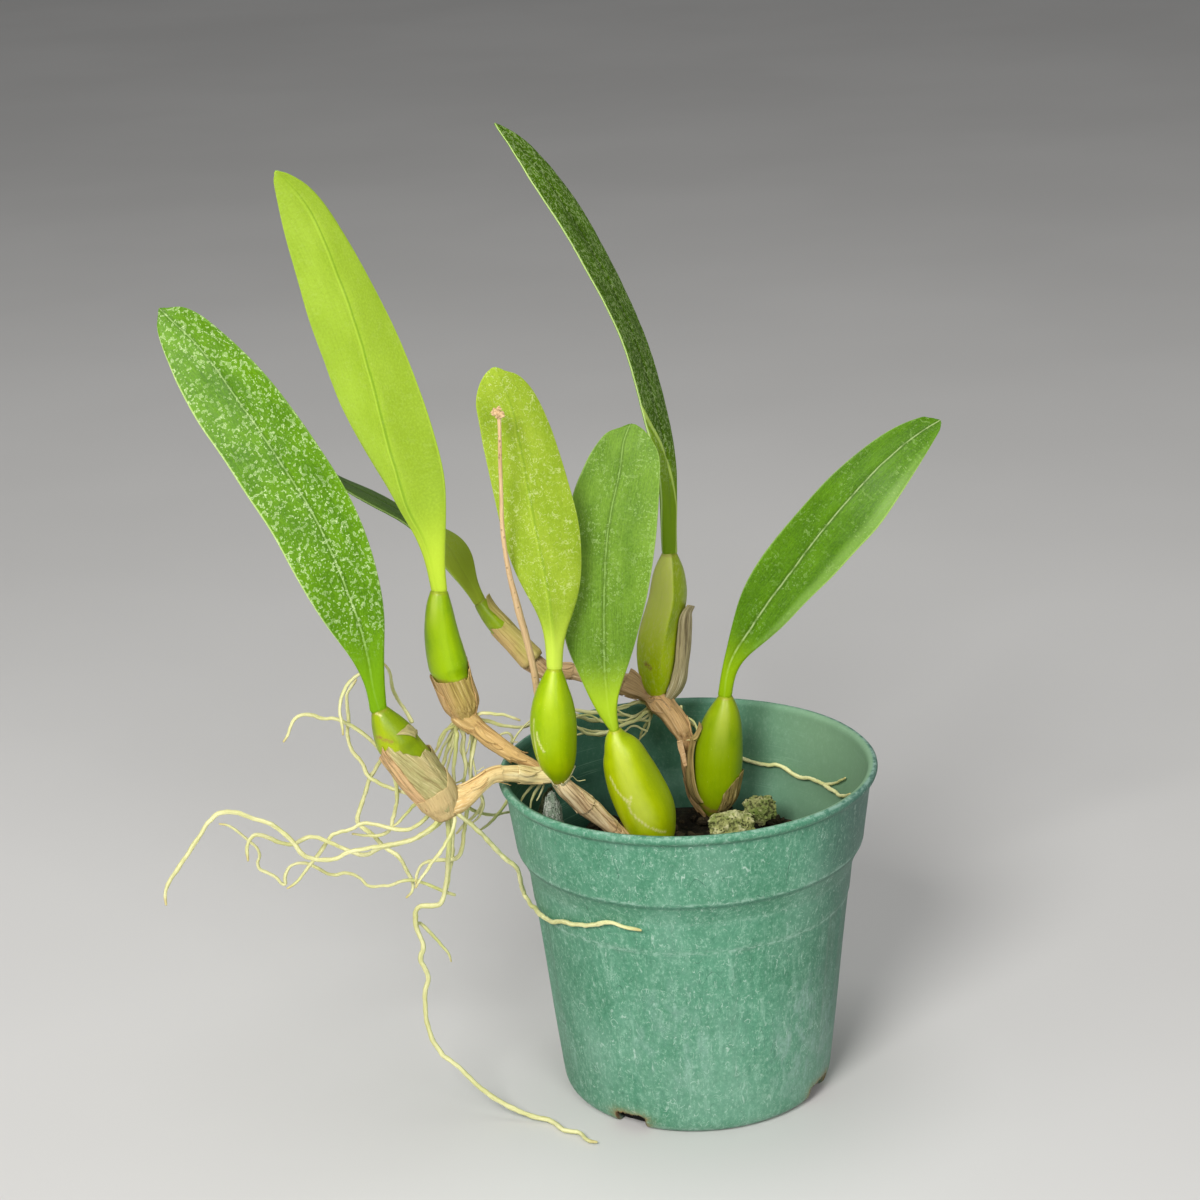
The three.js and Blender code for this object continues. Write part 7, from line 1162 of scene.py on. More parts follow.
def make_stones():
    stone("pumice_stone_front", (11.5, 8.6, 69.9), (6.2, 5.0, 4.35), 3, stone_finish("pumice_front_skin", lin(166, 168, 104), lin(226, 222, 170), lin(138, 150, 80), lin(64, 66, 32)))
    stone("pumice_stone_rear", (19.8, 20.2, 69.4), (4.7, 4.2, 4.2), 8, stone_finish("pumice_rear_skin", lin(144, 148, 92), lin(206, 200, 150), lin(108, 128, 56), lin(52, 56, 28)), cuts=9)
    stone("grey_bark_chunk_right", (-36.4, -5.6, 76.6), (2.9, 2.9, 10.4), 12, stone_finish("grey_right_skin", lin(150, 160, 144), lin(222, 226, 212), lin(124, 144, 120), lin(70, 82, 68), 1.5), rough=0.1, cuts=5, slot="grey_bark")
    stone("grey_bark_chunk_left", (-38.9, 1.6, 76.0), (2.8, 2.8, 9.9), 15, stone_finish("grey_left_skin", lin(98, 102, 78), lin(160, 162, 128), lin(82, 98, 58), lin(36, 38, 26), 1.3), rough=0.12, cuts=5, slot="grey_bark", spin=0.22)


# ------------------------------------------------------------ leaves
LEAF_THICKNESS = [(0, 3.0), (0.03, 2.9), (0.07, 2.6), (0.12, 2.1), (0.19, 1.7), (0.27, 1.45), (0.36, 1.3), (0.7, 1.15), (0.92, 0.95), (1, 0.7)]
UPPER_SEEN = {"a": True, "b": False, "c": True, "d": False, "e": True, "f": True, "g": True}


# how far back from the end the margins start to close, how far the end is carried on, and the power of the curve
TIPS = {"a": (3.4, 0.35, 2.6), "b": (2.6, 0.5, 2.4), "c": (3.0, 0.4, 2.4), "d": (10.0, 0.5, 2.15), "e": (12.0, 0.4, 2.2), "f": (2.0, 0.3, 2.4), "g": (2.4, 0.4, 2.6)}
# half width of the blade (mm) against distance from its end, where the end is blunt
BLUNT = {"d": [(0, 5.5), (3, 6.2), (6, 6.9), (9, 7.5), (13, 8.2), (20, 9.05), (28, 9.6)], "e": [(0, 7.4), (3, 8.0), (6, 8.6), (9, 9.2), (13, 10.0), (19, 11.1), (27, 11.9)], "a": [(0, 2.0), (2, 3.5), (4.2, 4.9), (9.6, 7.0), (18, 8.9), (28, 10.6)]}
NOTCH = {"a": 0.7, "b": 0.15, "c": 0.2, "d": 0.35, "e": 0.55, "f": 0.0, "g": 0.35}


def eased(x, y, sigma):
    """y over x, smoothed along x with its ends kept."""
    n = 400
    u = np.linspace(x[0], x[-1], n)
    f = np.stack([np.interp(u, x, y[:, i]) for i in range(y.shape[1])], -1)
    w = max(1, int(3 * sigma / (u[1] - u[0])))
    ext = np.vstack([2 * f[0] - f[w:0:-1], f, 2 * f[-1] - f[-2 : -w - 2 : -1]])
    kern = np.exp(-0.5 * (np.arange(-w, w + 1) * (u[1] - u[0]) / sigma) ** 2)
    kern /= kern.sum()
    g = np.stack([np.convolve(ext[:, i], kern, "valid") for i in range(y.shape[1])], -1)
    return np.stack([np.interp(x, u, g[:, i]) for i in range(y.shape[1])], -1)


def make_leaf(k, mats, wave=0.14, ease=3.2):
    st = np.array(LEAF_STATIONS[k]).reshape(-1, 3, 3)
    mid = st[:, 1]
    s = lengths(mid)
    back, carry, power_t = TIPS[k]
    notch = NOTCH[k]
    full = s[-1] + carry
    q = np.unique(np.r_[np.linspace(0, full, 118), np.linspace(full - 7, full, 40)])
    inner_q = np.minimum(q, s[-1])
    L, M, R = (smooth_curve(s, st[:, i], inner_q) for i in range(3))
    L, M, R = (eased(q, a, ease) for a in (L, M, R))
    ahead = unit(M[inner_q < s[-1]][-1] - M[inner_q < s[-1]][-6])
    over = (q - inner_q)[:, None] * ahead
    L, M, R = L + over, M + over, R + over
    s = np.r_[s[:-1], full]
    closing = np.clip((q - (full - back)) / back, 0, 1)
    close = np.maximum((1 - closing**power_t) ** (1 / power_t), 0.03)
    NC = 33
    c = np.sin(np.pi / 2 * np.linspace(-1, 1, NC))
    v = q / s[-1]
    half_v = (R - L) / 2 * close[:, None]
    if k in BLUNT:
        want = np.interp(full - q, *zip(*BLUNT[k]))
        have = np.linalg.norm((R - L) / 2, axis=1)
        mixed = np.maximum(have, want) * sstep(28, 20, full - q) + have * (1 - sstep(28, 20, full - q))
        half_v = half_v * eased(q, (mixed / have)[:, None], 1.5)
    cen = (L + R) / 2
    cen = M + (cen - M) * close[:, None]
    P = M[:, None] + c[None, :, None] * half_v[:, None] + (c**2)[None, :, None] * (cen - M)[:, None]
    T = unit(np.gradient(M, axis=0))
    W = unit(half_v)
    N = unit(np.cross(T, W))
    to_cam = CAM - M
    facing = np.sign(np.sum(N * to_cam, axis=1).mean())
    up = facing * (1 if UPPER_SEEN[k] else -1)  # N * up points out of the upper face
    halfw = np.linalg.norm(half_v, axis=1)
    thick = np.interp(v, *zip(*LEAF_THICKNESS))
    x = c[None] * halfw[:, None]
    blade = sstep(0.04, 0.2, v)[:, None]
    power = 2 + 10 * blade
    prof = np.sqrt(np.clip(1 - np.abs(c[None]) ** power, 0, 1)) * (1 - 0.3 * blade * np.abs(c[None]))
    half = thick[:, None] / 2 * prof
    # gentle unevenness of the blade, more at the margins
    key = np.stack([c[None] * 1.2 + 0 * v[:, None], v[:, None] * 7 + 0 * c[None], np.full(x.shape, ord(k) * 1.7)], -1).reshape(-1, 3)
    und = noise3(key, 3).reshape(x.shape) * wave * (0.35 + np.abs(c[None]) ** 2) * blade
    fine = fbm(np.stack([x * 0.35, np.repeat(q[:, None], NC, 1) * 0.25, np.full(x.shape, 2.0 + ord(k))], -1).reshape(-1, 3), 2, 9).reshape(x.shape) * 0.06 * blade
    # fold along the midrib: a groove above, a keel below
    fade = (1 - sstep(0.75, 1.0, v))[:, None] * sstep(0.02, 0.12, v)[:, None]
    groove = 0.38 * np.exp(-((x / 0.75) ** 2)) * fade
    keel = 0.42 * np.exp(-((x / 0.95) ** 2)) * fade * (1 - 0.55 * v[:, None])
    # blunt tip with a small notch
    tipw = np.clip((v - (1 - 3.2 / s[-1])) / (3.2 / s[-1]), 0, 1)
    P = P - T[:, None] * (notch * np.exp(-((c / 0.45) ** 2)))[None, :, None] * (tipw**2)[:, None, None]
    base = P + (und + fine)[..., None] * N[:, None]
    top = base + N[:, None] * up * (half - groove)[..., None]
    bot = base - N[:, None] * up * (half + keel)[..., None]
    # carry the stalk a little way down into the bulb
    root = base[0].mean(0) - T[0] * 1.0
    ring = np.concatenate([top, bot[:, ::-1][:, 1:-1]], axis=1)
    first = ring[0].mean(0) + (ring[0] - ring[0].mean(0)) * 0.86 - T[0] * 1.1
    ring = np.concatenate([first[None], ring], axis=0)
    n, m = ring.shape[:2]
    cc = np.r_[c, c[::-1][1:-1]]
    vv = np.r_[0, v]
    hw = np.r_[halfw[0], halfw]
    lf = np.stack([cc[None] * hw[:, None], np.repeat(np.r_[0, q][:, None], m, 1), np.zeros((n, m))], -1).reshape(-1, 3)
    lf[:, 2] += 0
    ln = np.stack([np.repeat(cc[None], n, 0), np.repeat(vv[:, None], m, 1), np.repeat(hw[:, None], m, 1)], -1).reshape(-1, 3)
    pts = ring.reshape(-1, 3)
    end = ring[-1].mean(0)
    pts = np.vstack([pts, first.mean(0) - T[0] * 0.3, end])
    lf = np.vstack([lf, [0, 0, 0], [0, q[-1], 0]])
    ln = np.vstack([ln, [0, 0, hw[0]], [0, 1, hw[-1]]])
    g = grid_faces(n, m, True).reshape(n - 1, m, 4)
    upper = g[:, : NC - 1].reshape(-1, 4)
    under = g[:, NC - 1 :].reshape(-1, 4)
    fa, fb = fan(n * m, np.arange(m)), fan(n * m + 1, np.arange(m) + (n - 1) * m, True)
    # outward faces
    a, b, d = pts[upper[len(upper) // 2][:3]]
    out_n = np.cross(b - a, d - a)
    centre_row = n // 2
    good = out_n @ (N[centre_row - 1] * up) > 0
    if not good:
        upper, under, fa, fb = upper[:, ::-1], under[:, ::-1], fa[:, ::-1], fb[:, ::-1]
    sh = Shape()
    sh.add(pts, [upper], 0, lf=lf, ln=ln)
    sh.f.extend(under.tolist())
    sh.m.extend([1] * len(under))
    sh.f.extend(fa.tolist() + fb.tolist())
    sh.m.extend([0] * (len(fa) + len(fb)))
    sh.build("leaf_%s_blade" % k, mats, ["leaf_" + k], "leaf_" + k)


def make_leaves():
    make_leaf("a", [leaf_upper("leaf_a_upper", lin(66, 110, 0), lin(92, 138, 2), lin(170, 204, 120), 0.82, foot=lin(116, 162, 0), margin=(0.75, 0.2), cover=0.605, rib_gain=0.5, speck_colour=lin(206, 228, 168)), leaf_under("leaf_a_under", lin(90, 140, 20), lin(114, 160, 30), lin(78, 130, 20))])
    make_leaf("b", [leaf_upper("leaf_b_upper", lin(62, 120, 6), lin(92, 150, 14), lin(150, 190, 90), 0.5), leaf_under("leaf_b_under", lin(144, 174, 42), lin(160, 190, 58), lin(112, 150, 30), fleck=0.06, rib_strength=0.6, side=0.45, foot=lin(196, 222, 60))])
    make_leaf("c", [leaf_upper("leaf_c_upper", lin(46, 82, 0), lin(70, 108, 0), lin(130, 166, 44), 0.2, foot=lin(176, 196, 60), base_pale=0.24, spec=0.1), leaf_under("leaf_c_under", lin(60, 100, 4), lin(84, 124, 10), lin(80, 122, 14), foot=lin(176, 196, 60), base_pale=0.24)])
    make_leaf("d", [leaf_upper("leaf_d_upper", lin(64, 122, 8), lin(96, 152, 18), lin(150, 190, 90), 0.5), leaf_under("leaf_d_under", lin(132, 160, 34), lin(156, 180, 52), lin(110, 146, 30), fleck=0.4, rib_strength=0.4, cover=0.52, foot=lin(204, 228, 80))])
    make_leaf("e", [leaf_upper("leaf_e_upper", lin(84, 120, 28), lin(108, 144, 42), lin(158, 192, 102), 0.5, rings=False, gloss=0.46, foot=lin(178, 210, 40), base_pale=0.14, cover=0.54, margin=(0.3, 0.3), rib_gain=0.45), leaf_under("leaf_e_under", lin(112, 152, 34), lin(134, 170, 44), lin(98, 142, 28))])
    make_leaf("f", [leaf_upper("leaf_f_upper", lin(54, 84, 0), lin(78, 116, 4), lin(90, 128, 30), 0.75, foot=lin(116, 154, 4), base_pale=0.16, rib_gain=0.1, margin=(0.85, 0.4), cover=0.575, speck_colour=lin(186, 210, 144), fold=(0.1, 0.34, lin(116, 150, 26), lin(180, 208, 96)), spec=0.08, gloss=0.5), leaf_under("leaf_f_under", lin(88, 130, 24), lin(110, 148, 30), lin(86, 126, 24))])
    make_leaf("g", [leaf_upper("leaf_g_upper", lin(62, 102, 0), lin(84, 128, 2), lin(196, 216, 150), 0.42, rings=False, foot=lin(150, 186, 12), margin=(0.3, 0.7), roll=0.35, cover=0.555, rib_gain=0.5, speck_colour=lin(176, 206, 128)), leaf_under("leaf_g_under", lin(104, 146, 30), lin(128, 166, 40), lin(92, 136, 24))])


# ------------------------------------------------------------ pseudobulbs
TO_FRONT = (0.0, -0.93, 0.34)
CLOSE = {"a": 0.71, "b": 0.44, "c": 0.61}
BULBS = {}


def polygonal(th, n, phase, amount):
    """Radius factor of a rounded n-sided section."""
    a = (th - phase) % (2 * math.pi / n) - math.pi / n
    return 1 + amount * (math.cos(math.pi / n) / np.cos(a) - 1)


GIRTH = {"e": [3.84, 5.65, 6.99, 7.62, 7.72, 7.5, 7.1, 6.4, 5.3, 3.6, 1.75], "g": [2.54, 4.67, 5.96, 6.58, 6.75, 6.75, 6.45, 5.9, 5.0, 3.65, 2.0], "f": [1.4, 3.5, 4.66, 5.3, 5.5, 5.35, 5.15, 5.1, 4.75, 3.9, 2.2]}
FLARE = {"a": 0.9, "b": 0.9}


def bulb_surface(k, sides=84, rows_n=92):
    rows = np.array(BULB_AXES[k])
    if k in GIRTH:
        rows[:, 3] = GIRTH[k]
    s = lengths(rows[:, :3])
    q = np.linspace(0, s[-1], rows_n)
    P = eased(q, smooth_curve(s, rows[:, :3], q), 1.6)
    r = eased(q, smooth_curve(s, rows[:, 3], q)[:, None], 1.1)[:, 0]
    r = np.maximum(r, 1.2)
    v = q / s[-1]
    if k in CLOSE:
        cover = 1 - sstep(CLOSE[k] - 0.12, CLOSE[k] - 0.02, v)
        r = r - 0.62 * cover
    # round the shoulder under the leaf stalk
    t, e1, e2 = carried_frames(P, TO_FRONT)
    th = np.arange(sides) * 2 * np.pi / sides
    shape = {"f": (4, math.radians(9), 0.62), "g": (4, math.radians(-12), 0.1), "d": (6, math.radians(14), 0.12), "e": (5, math.radians(22), 0.07), "a": (5, 0.9, 0.12), "b": (5, 0.3, 0.06), "c": (4, 0.2, 0.1)}[k]
    ring = []
    for i in range(rows_n):
        m = polygonal(th, shape[0], shape[1], shape[2] * math.sin(math.pi * min(1, max(0, v[i]))) ** 0.5)
        m = m / (0.5 * (np.interp(math.pi / 2, th, m) + np.interp(1.5 * math.pi, th, m)))
        key = np.stack([np.cos(th) * 1.3, np.sin(th) * 1.3, np.full(sides, v[i] * 2.2 + ord(k))], -1)
        m = m + 0.012 * noise3(key, 6) + 0.004 * noise3(key * 3.1, 8)
        rr = r[i] * m
        ring.append(P[i] + np.outer(rr * np.cos(th), e1[i]) + np.outer(rr * np.sin(th), e2[i]))
    head = []
    for kx, w in ((0.5, 0.3), (0.44, 0.55), (0.33, 0.76), (0.18, 0.92)):
        head.append(P[0] - t[0] * r[0] * kx + (ring[0] - P[0]) * w)
    tail = []
    for kx, w in ((0.12, 0.9), (0.2, 0.7), (0.26, 0.4)):
        tail.append(P[-1] + t[-1] * r[-1] * kx + (ring[-1] - P[-1]) * w)
    allr = head + ring + tail
    pts = np.vstack(allr)
    n = len(allr)
    qq = np.r_[[-r[0] * 0.5, -r[0] * 0.44, -r[0] * 0.33, -r[0] * 0.18], q, q[-1] + r[-1] * np.array([0.12, 0.2, 0.26])]
    rr = np.r_[r[0] * np.array([0.3, 0.55, 0.76, 0.92]), r, r[-1] * np.array([0.9, 0.7, 0.4])]
    vv = np.clip(qq / s[-1], 0, 1)
    c1, c2 = n * sides, n * sides + 1
    pts = np.vstack([pts, P[0] - t[0] * r[0] * 0.53, P[-1] + t[-1] * r[-1] * 0.28])
    faces = [grid_faces(n, sides, True), fan(c1, np.arange(sides)), fan(c2, np.arange(sides) + (n - 1) * sides, True)]
    R = np.repeat(rr, sides)
    TH = np.tile(th, n)
    bl = np.stack([R * np.cos(TH), R * np.sin(TH), np.repeat(qq, sides)], -1)
    bl = np.vstack([bl, [0, 0, qq[0]], [0, 0, qq[-1]]])
    bl[:, :2] += ord(k) * 7.3
    bn = np.stack([np.repeat(vv, sides), np.cos(TH), np.sin(TH)], -1)
    bn = np.vstack([bn, [0, 1, 0], [1, 1, 0]])
    # keep faces turned outwards
    a, b, d = pts[faces[0][len(faces[0]) // 2][:3]]
    mid_row = n // 2
    if np.cross(b - a, d - a) @ (a - P[min(rows_n - 1, mid_row)]) < 0:
        faces = [f[:, ::-1] for f in faces]
    BULBS[k] = {"s": s[-1], "P": P, "r": r, "t": t, "e1": e1, "e2": e2, "v": v, "tree": tree_of(pts, faces), "pts": pts}
    return pts, faces, bl, bn


def traced(tree, line, lift=0.0, fallback=None):
    """A line of frame pixels laid on a surface (mm)."""
    out = []
    for u, w in line:
        p, n = landed(tree, u, w)
        if p is not None:
            out.append(p + n * lift)
    return np.array(out)


SCARS = {
    "e": [[(610, 777), (613, 783), (616, 789), (619, 793)], [(619, 793), (624, 799), (629, 804), (630, 810)], [(630, 810), (636, 818), (642, 822), (648, 827)], [(652, 828), (658, 831), (666, 832)], [(626, 799), (630, 802), (631, 797)]],
    "d": [[(537, 733), (538, 740), (541, 747), (544, 752)], [(534, 720), (535, 742), (538, 758), (541, 768)]],
    "a": [[(376, 713), (378, 714), (381, 716)]],
}
BROWN = {
    "a": [([(376, 737.4), (381, 737.4), (383.5, 740), (387, 740.5), (392, 742)], 0.22)],
    "e": [([(640, 838), (645, 837)], 1.0), ([(607, 800), (611, 818), (619, 830)], 0.6)],
    "f": [([(641, 684), (646, 694), (654, 698), (662, 697)], 1.0), ([(646, 664), (650, 668)], 0.6)],
    "g": [([(694, 745), (699, 725), (701, 720)], 0.9), ([(694, 790), (703, 806), (716, 812), (728, 808), (738, 795)], 1.3)],
    "b": [([(437, 680), (450, 684), (466, 680)], 0.8)],
}
BULB_COLOURS = {
    # base, body, top, shaded side
    "a": ((136, 148, 16), (150, 168, 10), (130, 156, 14), (98, 124, 6)),
    "b": ((140, 172, 0), (154, 188, 0), (150, 180, 8), (98, 146, 0)),
    "c": ((140, 164, 24), (150, 176, 26), (140, 166, 34), (106, 138, 14)),
    "d": ((166, 184, 0), (158, 186, 0), (156, 184, 0), (122, 160, 0)),
    "e": ((162, 182, 0), (182, 200, 2), (176, 196, 14), (132, 156, 0)),
    "f": ((184, 206, 0), (186, 208, 4), (190, 206, 60), (150, 180, 0)),
    "g": ((124, 144, 4), (136, 162, 0), (148, 170, 10), (110, 142, 0)),
}
# Bands round each bulb, mostly painted light on the left and front and painted shade on the right. Turn from, to (1 =
# once round to the right), share of height fading in from, to, softness, colour, strength
PAINTED_LIGHT_AND_TINTS = {
    "f": [(-0.24, 0.02, 0.25, 0.75, 0.012, (224, 230, 124), 0.7), (0.03, 0.3, 0.35, 0.6, 0.012, (124, 150, 4), 0.7), (-0.26, -0.2, 0.3, 0.5, 0.03, (206, 200, 130), 0.5)],
    "e": [(-0.06, 0.05, 0.2, 0.4, 0.04, (208, 220, 92), 0.55), (0.1, 0.3, 0.1, 0.3, 0.05, (128, 152, 2), 0.6), (-0.2, -0.1, 0.2, 0.5, 0.03, (180, 200, 0), 0.6)],
    "d": [(-0.08, 0.0, 0.55, 0.95, 0.03, (206, 224, 70), 0.5), (0.09, 0.3, 0.0, 0.3, 0.03, (128, 158, 0), 0.6)],
    "g": [(-0.06, 0.05, 0.45, 0.9, 0.04, (180, 192, 74), 0.55), (0.17, 0.3, 0.2, 0.5, 0.03, (112, 140, 0), 0.4)],
    "b": [(-0.12, -0.03, 0.7, 0.95, 0.03, (196, 214, 90), 0.5), (0.1, 0.3, 0.0, 0.3, 0.04, (110, 150, 2), 0.45)],
    "a": [(0.03, 0.3, 0.4, 0.6, 0.03, (112, 138, 2), 0.7), (-0.14, -0.02, 0.3, 0.6, 0.03, (166, 184, 4), 0.5)],
    "c": [],
}
# painted sheen along each bulb's outline: turn, half width, share of height from, to, strength
OUTLINE_SHEEN = {"d": (-0.235, 0.014, 0.02, 0.62, 0.8), "e": (-0.24, 0.014, 0.2, 0.95, 0.6), "f": (-0.245, 0.016, 0.3, 0.8, 0.4), "g": (0.24, 0.012, 0.3, 0.9, 0.3), "b": (0.235, 0.012, 0.2, 0.7, 0.5)}


def make_bulbs():
    for k in "abcdefg":
        pts, faces, bl, bn = bulb_surface(k)
        scar = np.zeros(len(pts))
        for line in SCARS.get(k, []):
            tr = traced(BULBS[k]["tree"], line)
            if len(tr) > 1:
                d, _ = near_line(pts, tr)
                scar = np.maximum(scar, sstep(0.42, 0.12, d))
        brown = np.zeros(len(pts))
        for line, wdt in BROWN.get(k, []):
            tr = traced(BULBS[k]["tree"], line)
            if len(tr) > 1:
                d, _ = near_line(pts, tr)
                brown = np.maximum(brown, sstep(wdt + 0.5, wdt * 0.3, d))
        v = bn[:, 0]
        brown = np.maximum(brown, sstep(0.035, 0.0, v) * 0.7)
        # a dry ring where the leaf stalk comes out
        brown = np.maximum(brown, sstep(0.985, 1.0, v) * 0.35)
        cols = [lin(*c) for c in BULB_COLOURS[k]]
        sh = Shape()
        sh.add(pts, faces, bl=bl, bn=bn, scar=scar, brown=brown)
        sh.build("pseudobulb_%s_body" % k, [bulb_finish("bulb_" + k, cols[0], cols[1], cols[2], cols[3], painted_light_and_tints=[t[:5] + (lin(*t[5]), t[6]) for t in PAINTED_LIGHT_AND_TINTS[k]], outline_sheen=OUTLINE_SHEEN.get(k), haze=0.35 if k == "f" else 0.0)], ["pseudobulb_" + k], "pseudobulb_" + k)

# ------------------------------------------------------------ papery sheaths
def shell(sh, outer, inner, wrap, mat=0, **attrs):
    """A thin closed skin from two grids of points (rows x cols x 3)."""
    r, c = outer.shape[:2]
    n = r * c
    fo = grid_faces(r, c, wrap)
    fi = grid_faces(r, c, wrap, True, n)
    j = np.arange(c if wrap else c - 1)
    jn = (j + 1) % c
    bot = np.stack([j, n + j, n + jn, jn], -1)
    top = np.stack([(r - 1) * c + j, (r - 1) * c + jn, n + (r - 1) * c + jn, n + (r - 1) * c + j], -1)
    faces = [fo, fi, bot, top]
    if not wrap:
        i = np.arange(r - 1)
        faces.append(np.stack([i * c, (i + 1) * c, n + (i + 1) * c, n + i * c], -1))
        faces.append(np.stack([i * c + c - 1, n + i * c + c - 1, n + (i + 1) * c + c - 1, (i + 1) * c + c - 1], -1))
    pts = np.vstack([outer.reshape(-1, 3), inner.reshape(-1, 3)])
    two = {k: np.concatenate([a.reshape((n,) + a.shape[2:])] * 2) for k, a in attrs.items()}
    # outward: the outer grid's faces must look away from the inner grid
    m = len(fo) // 2
    a, b, d = (pts[x] for x in fo[m][:3])
    away = outer.reshape(-1, 3)[fo[m][0]] - inner.reshape(-1, 3)[fo[m][0]]
    if np.cross(b - a, d - a) @ away < 0:
        faces = [f[:, ::-1] for f in faces]
    sh.add(pts, faces, mat, **two)


def line_on(k, line, below=0.0):
    """The (angle, share of height) of frame pixels that fall on a bulb."""
    B = BULBS[k]
    out = []
    for u, w in line:
        p, _n = landed(B["tree"], u, w)
        if p is None:
            continue
        i = int(np.argmin(np.linalg.norm(B["P"] - p, axis=1)))
        d = p - B["P"][i]
        out.append((math.degrees(math.atan2(d @ B["e2"][i], d @ B["e1"][i])), float(B["v"][i] + (d @ B["t"][i]) / B["s"]) - below))
    return sorted(out)


def wrap_bulb(sh, k, th0, th1, start, top, off, tone, seed, cols=130, rows=46, thick=0.2, rag=0.03, ridge=0.16, flare=0.35, side_rag=0.0, full=False, dark_edge=0.5, skew=0.0):
    """A torn sheath round pseudobulb k. start, top, off and tone are tables over the angle in degrees, or over the share of the height for off."""
    B = BULBS[k]
    raw = np.array(BULB_AXES[k])
    s_raw = lengths(raw[:, :3])
    length = s_raw[-1]
    th = np.linspace(math.radians(th0), math.radians(th1), cols, endpoint=not full)
    deg = np.degrees(th)
    circ = np.stack([np.cos(th), np.sin(th), np.full(cols, seed * 1.37)], -1)
    ragged = rag * noise3(circ * 3.2, seed) + 0.6 * rag * noise3(circ * 9.0, seed + 1) + 0.35 * rag * noise3(circ * 24.0, seed + 2)
    s0 = np.interp(deg, *zip(*start))
    s1 = np.interp(deg, *zip(*top)) + ragged
    t = np.linspace(0, 1, rows)
    S = s0[None] + (s1 - s0)[None] * t[:, None]
    if side_rag:
        TH = th[None] + side_rag * (noise3(np.stack([t * 7, t * 0, np.full(rows, seed + 0.5)], -1), seed)[:, None]) * np.abs(np.linspace(-1, 1, cols))[None] ** 3
    else:
        TH = np.repeat(th[None], rows, 0)
    ss = np.clip(S, 0, 1) * length
    flat = ss.reshape(-1)
    P = smooth_curve(s_raw, raw[:, :3], flat)
    R = smooth_curve(s_raw, raw[:, 3], flat)
    if k in FLARE:
        R = R + FLARE[k] * sstep(0.3, 0.0, S.reshape(-1))
    idx = np.clip((flat / length * (len(B["P"]) - 1)).astype(int), 0, len(B["P"]) - 1)
    e1, e2, tt = B["e1"][idx], B["e2"][idx], B["t"][idx]
    below = np.minimum(S.reshape(-1), 0) * length
    P = P + tt * below[:, None]
    R = R * (1 + below / max(R[0], 1) * 0.45)
    A = TH.reshape(-1)
    c3 = np.stack([np.cos(A) * R, np.sin(A) * R, flat * 0.06 + seed], -1)
    ridges = ridge * noise3(c3 * np.array([1.1, 1.1, 1]), seed + 5) + 0.45 * ridge * noise3(c3 * np.array([3.2, 3.2, 2]), seed + 6)
    T = np.repeat(t, cols)
    lift = flare * sstep(0.72, 1.0, T) * (0.35 + noise3(np.stack([np.cos(A) * 2.2, np.sin(A) * 2.2, np.full(len(A), seed + 3.3)], -1), seed + 8))
    offs = np.interp(S.reshape(-1), *zip(*off))
    rr = R + offs + ridges + lift
    dirn = e1 * np.cos(A)[:, None] + e2 * np.sin(A)[:, None]
    outer = (P + dirn * rr[:, None]).reshape(rows, cols, 3)
    inner = (P + dirn * (rr - thick)[:, None]).reshape(rows, cols, 3)
    AF = A + skew * (flat + below) / length
    bl = np.stack([np.cos(AF) * R + ord(k) * 5.1, np.sin(AF) * R, flat + below], -1).reshape(rows, cols, 3)
    tn = np.interp(np.degrees(A), *zip(*tone)).reshape(rows, cols)
    bn = np.stack([T.reshape(rows, cols), tn, np.zeros((rows, cols))], -1)
    deep = (sstep(0.10, 0.0, T) * 0.5 + dark_edge * sstep(0.97, 1.0, T) * 0.6).reshape(rows, cols)
    shell(sh, outer, inner, full, bl=bl, bn=bn, deep=deep)


def pixel_patch(sh, rows_px, place, thick=0.18, tone=0.3, n=16, m=22, curl=0.0, seed=1, lift=0.12):
    """A thin scrap whose outline is given in the frame's pixels, as lines from one end to the other, each laid at its own depth or on a surface."""
    rows_px = [np.array(r, float) for r in rows_px]
    lines = []
    for r in rows_px:
        s = lengths(r)
        lines.append(smooth_curve(s / s[-1], r, np.linspace(0, 1, m)) if len(r) > 2 else r[0] + (r[1] - r[0]) * np.linspace(0, 1, m)[:, None])
    lines = np.array(lines)
    q = np.linspace(0, 1, n)
    g = smooth_curve(np.linspace(0, 1, len(lines)), lines.reshape(len(lines), -1), q).reshape(n, m, 2)
    jit = noise3(np.stack([np.repeat(q, m) * 5, np.tile(np.linspace(0, 1, m), n) * 5, np.full(n * m, seed + 0.3)], -1), seed).reshape(n, m)
    out = np.zeros((n, m, 3))
    nor = np.zeros((n, m, 3))
    ok = np.zeros((n, m), bool)
    for i in range(n):
        for j in range(m):
            u, w = g[i, j]
            if callable(place):
                d = sight(u, w)
                y = place(u, w)
                out[i, j] = CAM + d * ((y - CAM[1]) / d[1])
                nor[i, j] = -d
                ok[i, j] = True
            else:
                p, nn = landed(place, u, w)
                if p is not None:
                    out[i, j], nor[i, j], ok[i, j] = p, nn, True
    if not ok.all():
        good = np.argwhere(ok)
        if not len(good):
            return
        for i, j in np.argwhere(~ok):
            a, b = good[np.argmin(np.abs(good - [i, j]).sum(1))]
            out[i, j], nor[i, j] = out[a, b], nor[a, b]
    edge = np.maximum(np.abs(np.linspace(-1, 1, n))[:, None], np.abs(np.linspace(-1, 1, m))[None])
    h = lift + 0.10 * jit + curl * sstep(0.7, 1.0, edge) * (0.5 + 0.5 * jit)
    outer = out + nor * (h + thick / 2)[..., None]
    inner = out + nor * (h - thick / 2)[..., None]
    x = np.tile(np.linspace(0, 1, m) * 6, (n, 1))
    y = np.repeat(q[:, None] * 9, m, 1)
    bl = np.stack([x + seed * 3.3, x * 0, y], -1)
    bn = np.stack([np.repeat(q[:, None], m, 1), np.full((n, m), tone), np.zeros((n, m))], -1)
    shell(sh, outer, inner, False, bl=bl, bn=bn, deep=np.zeros((n, m)))


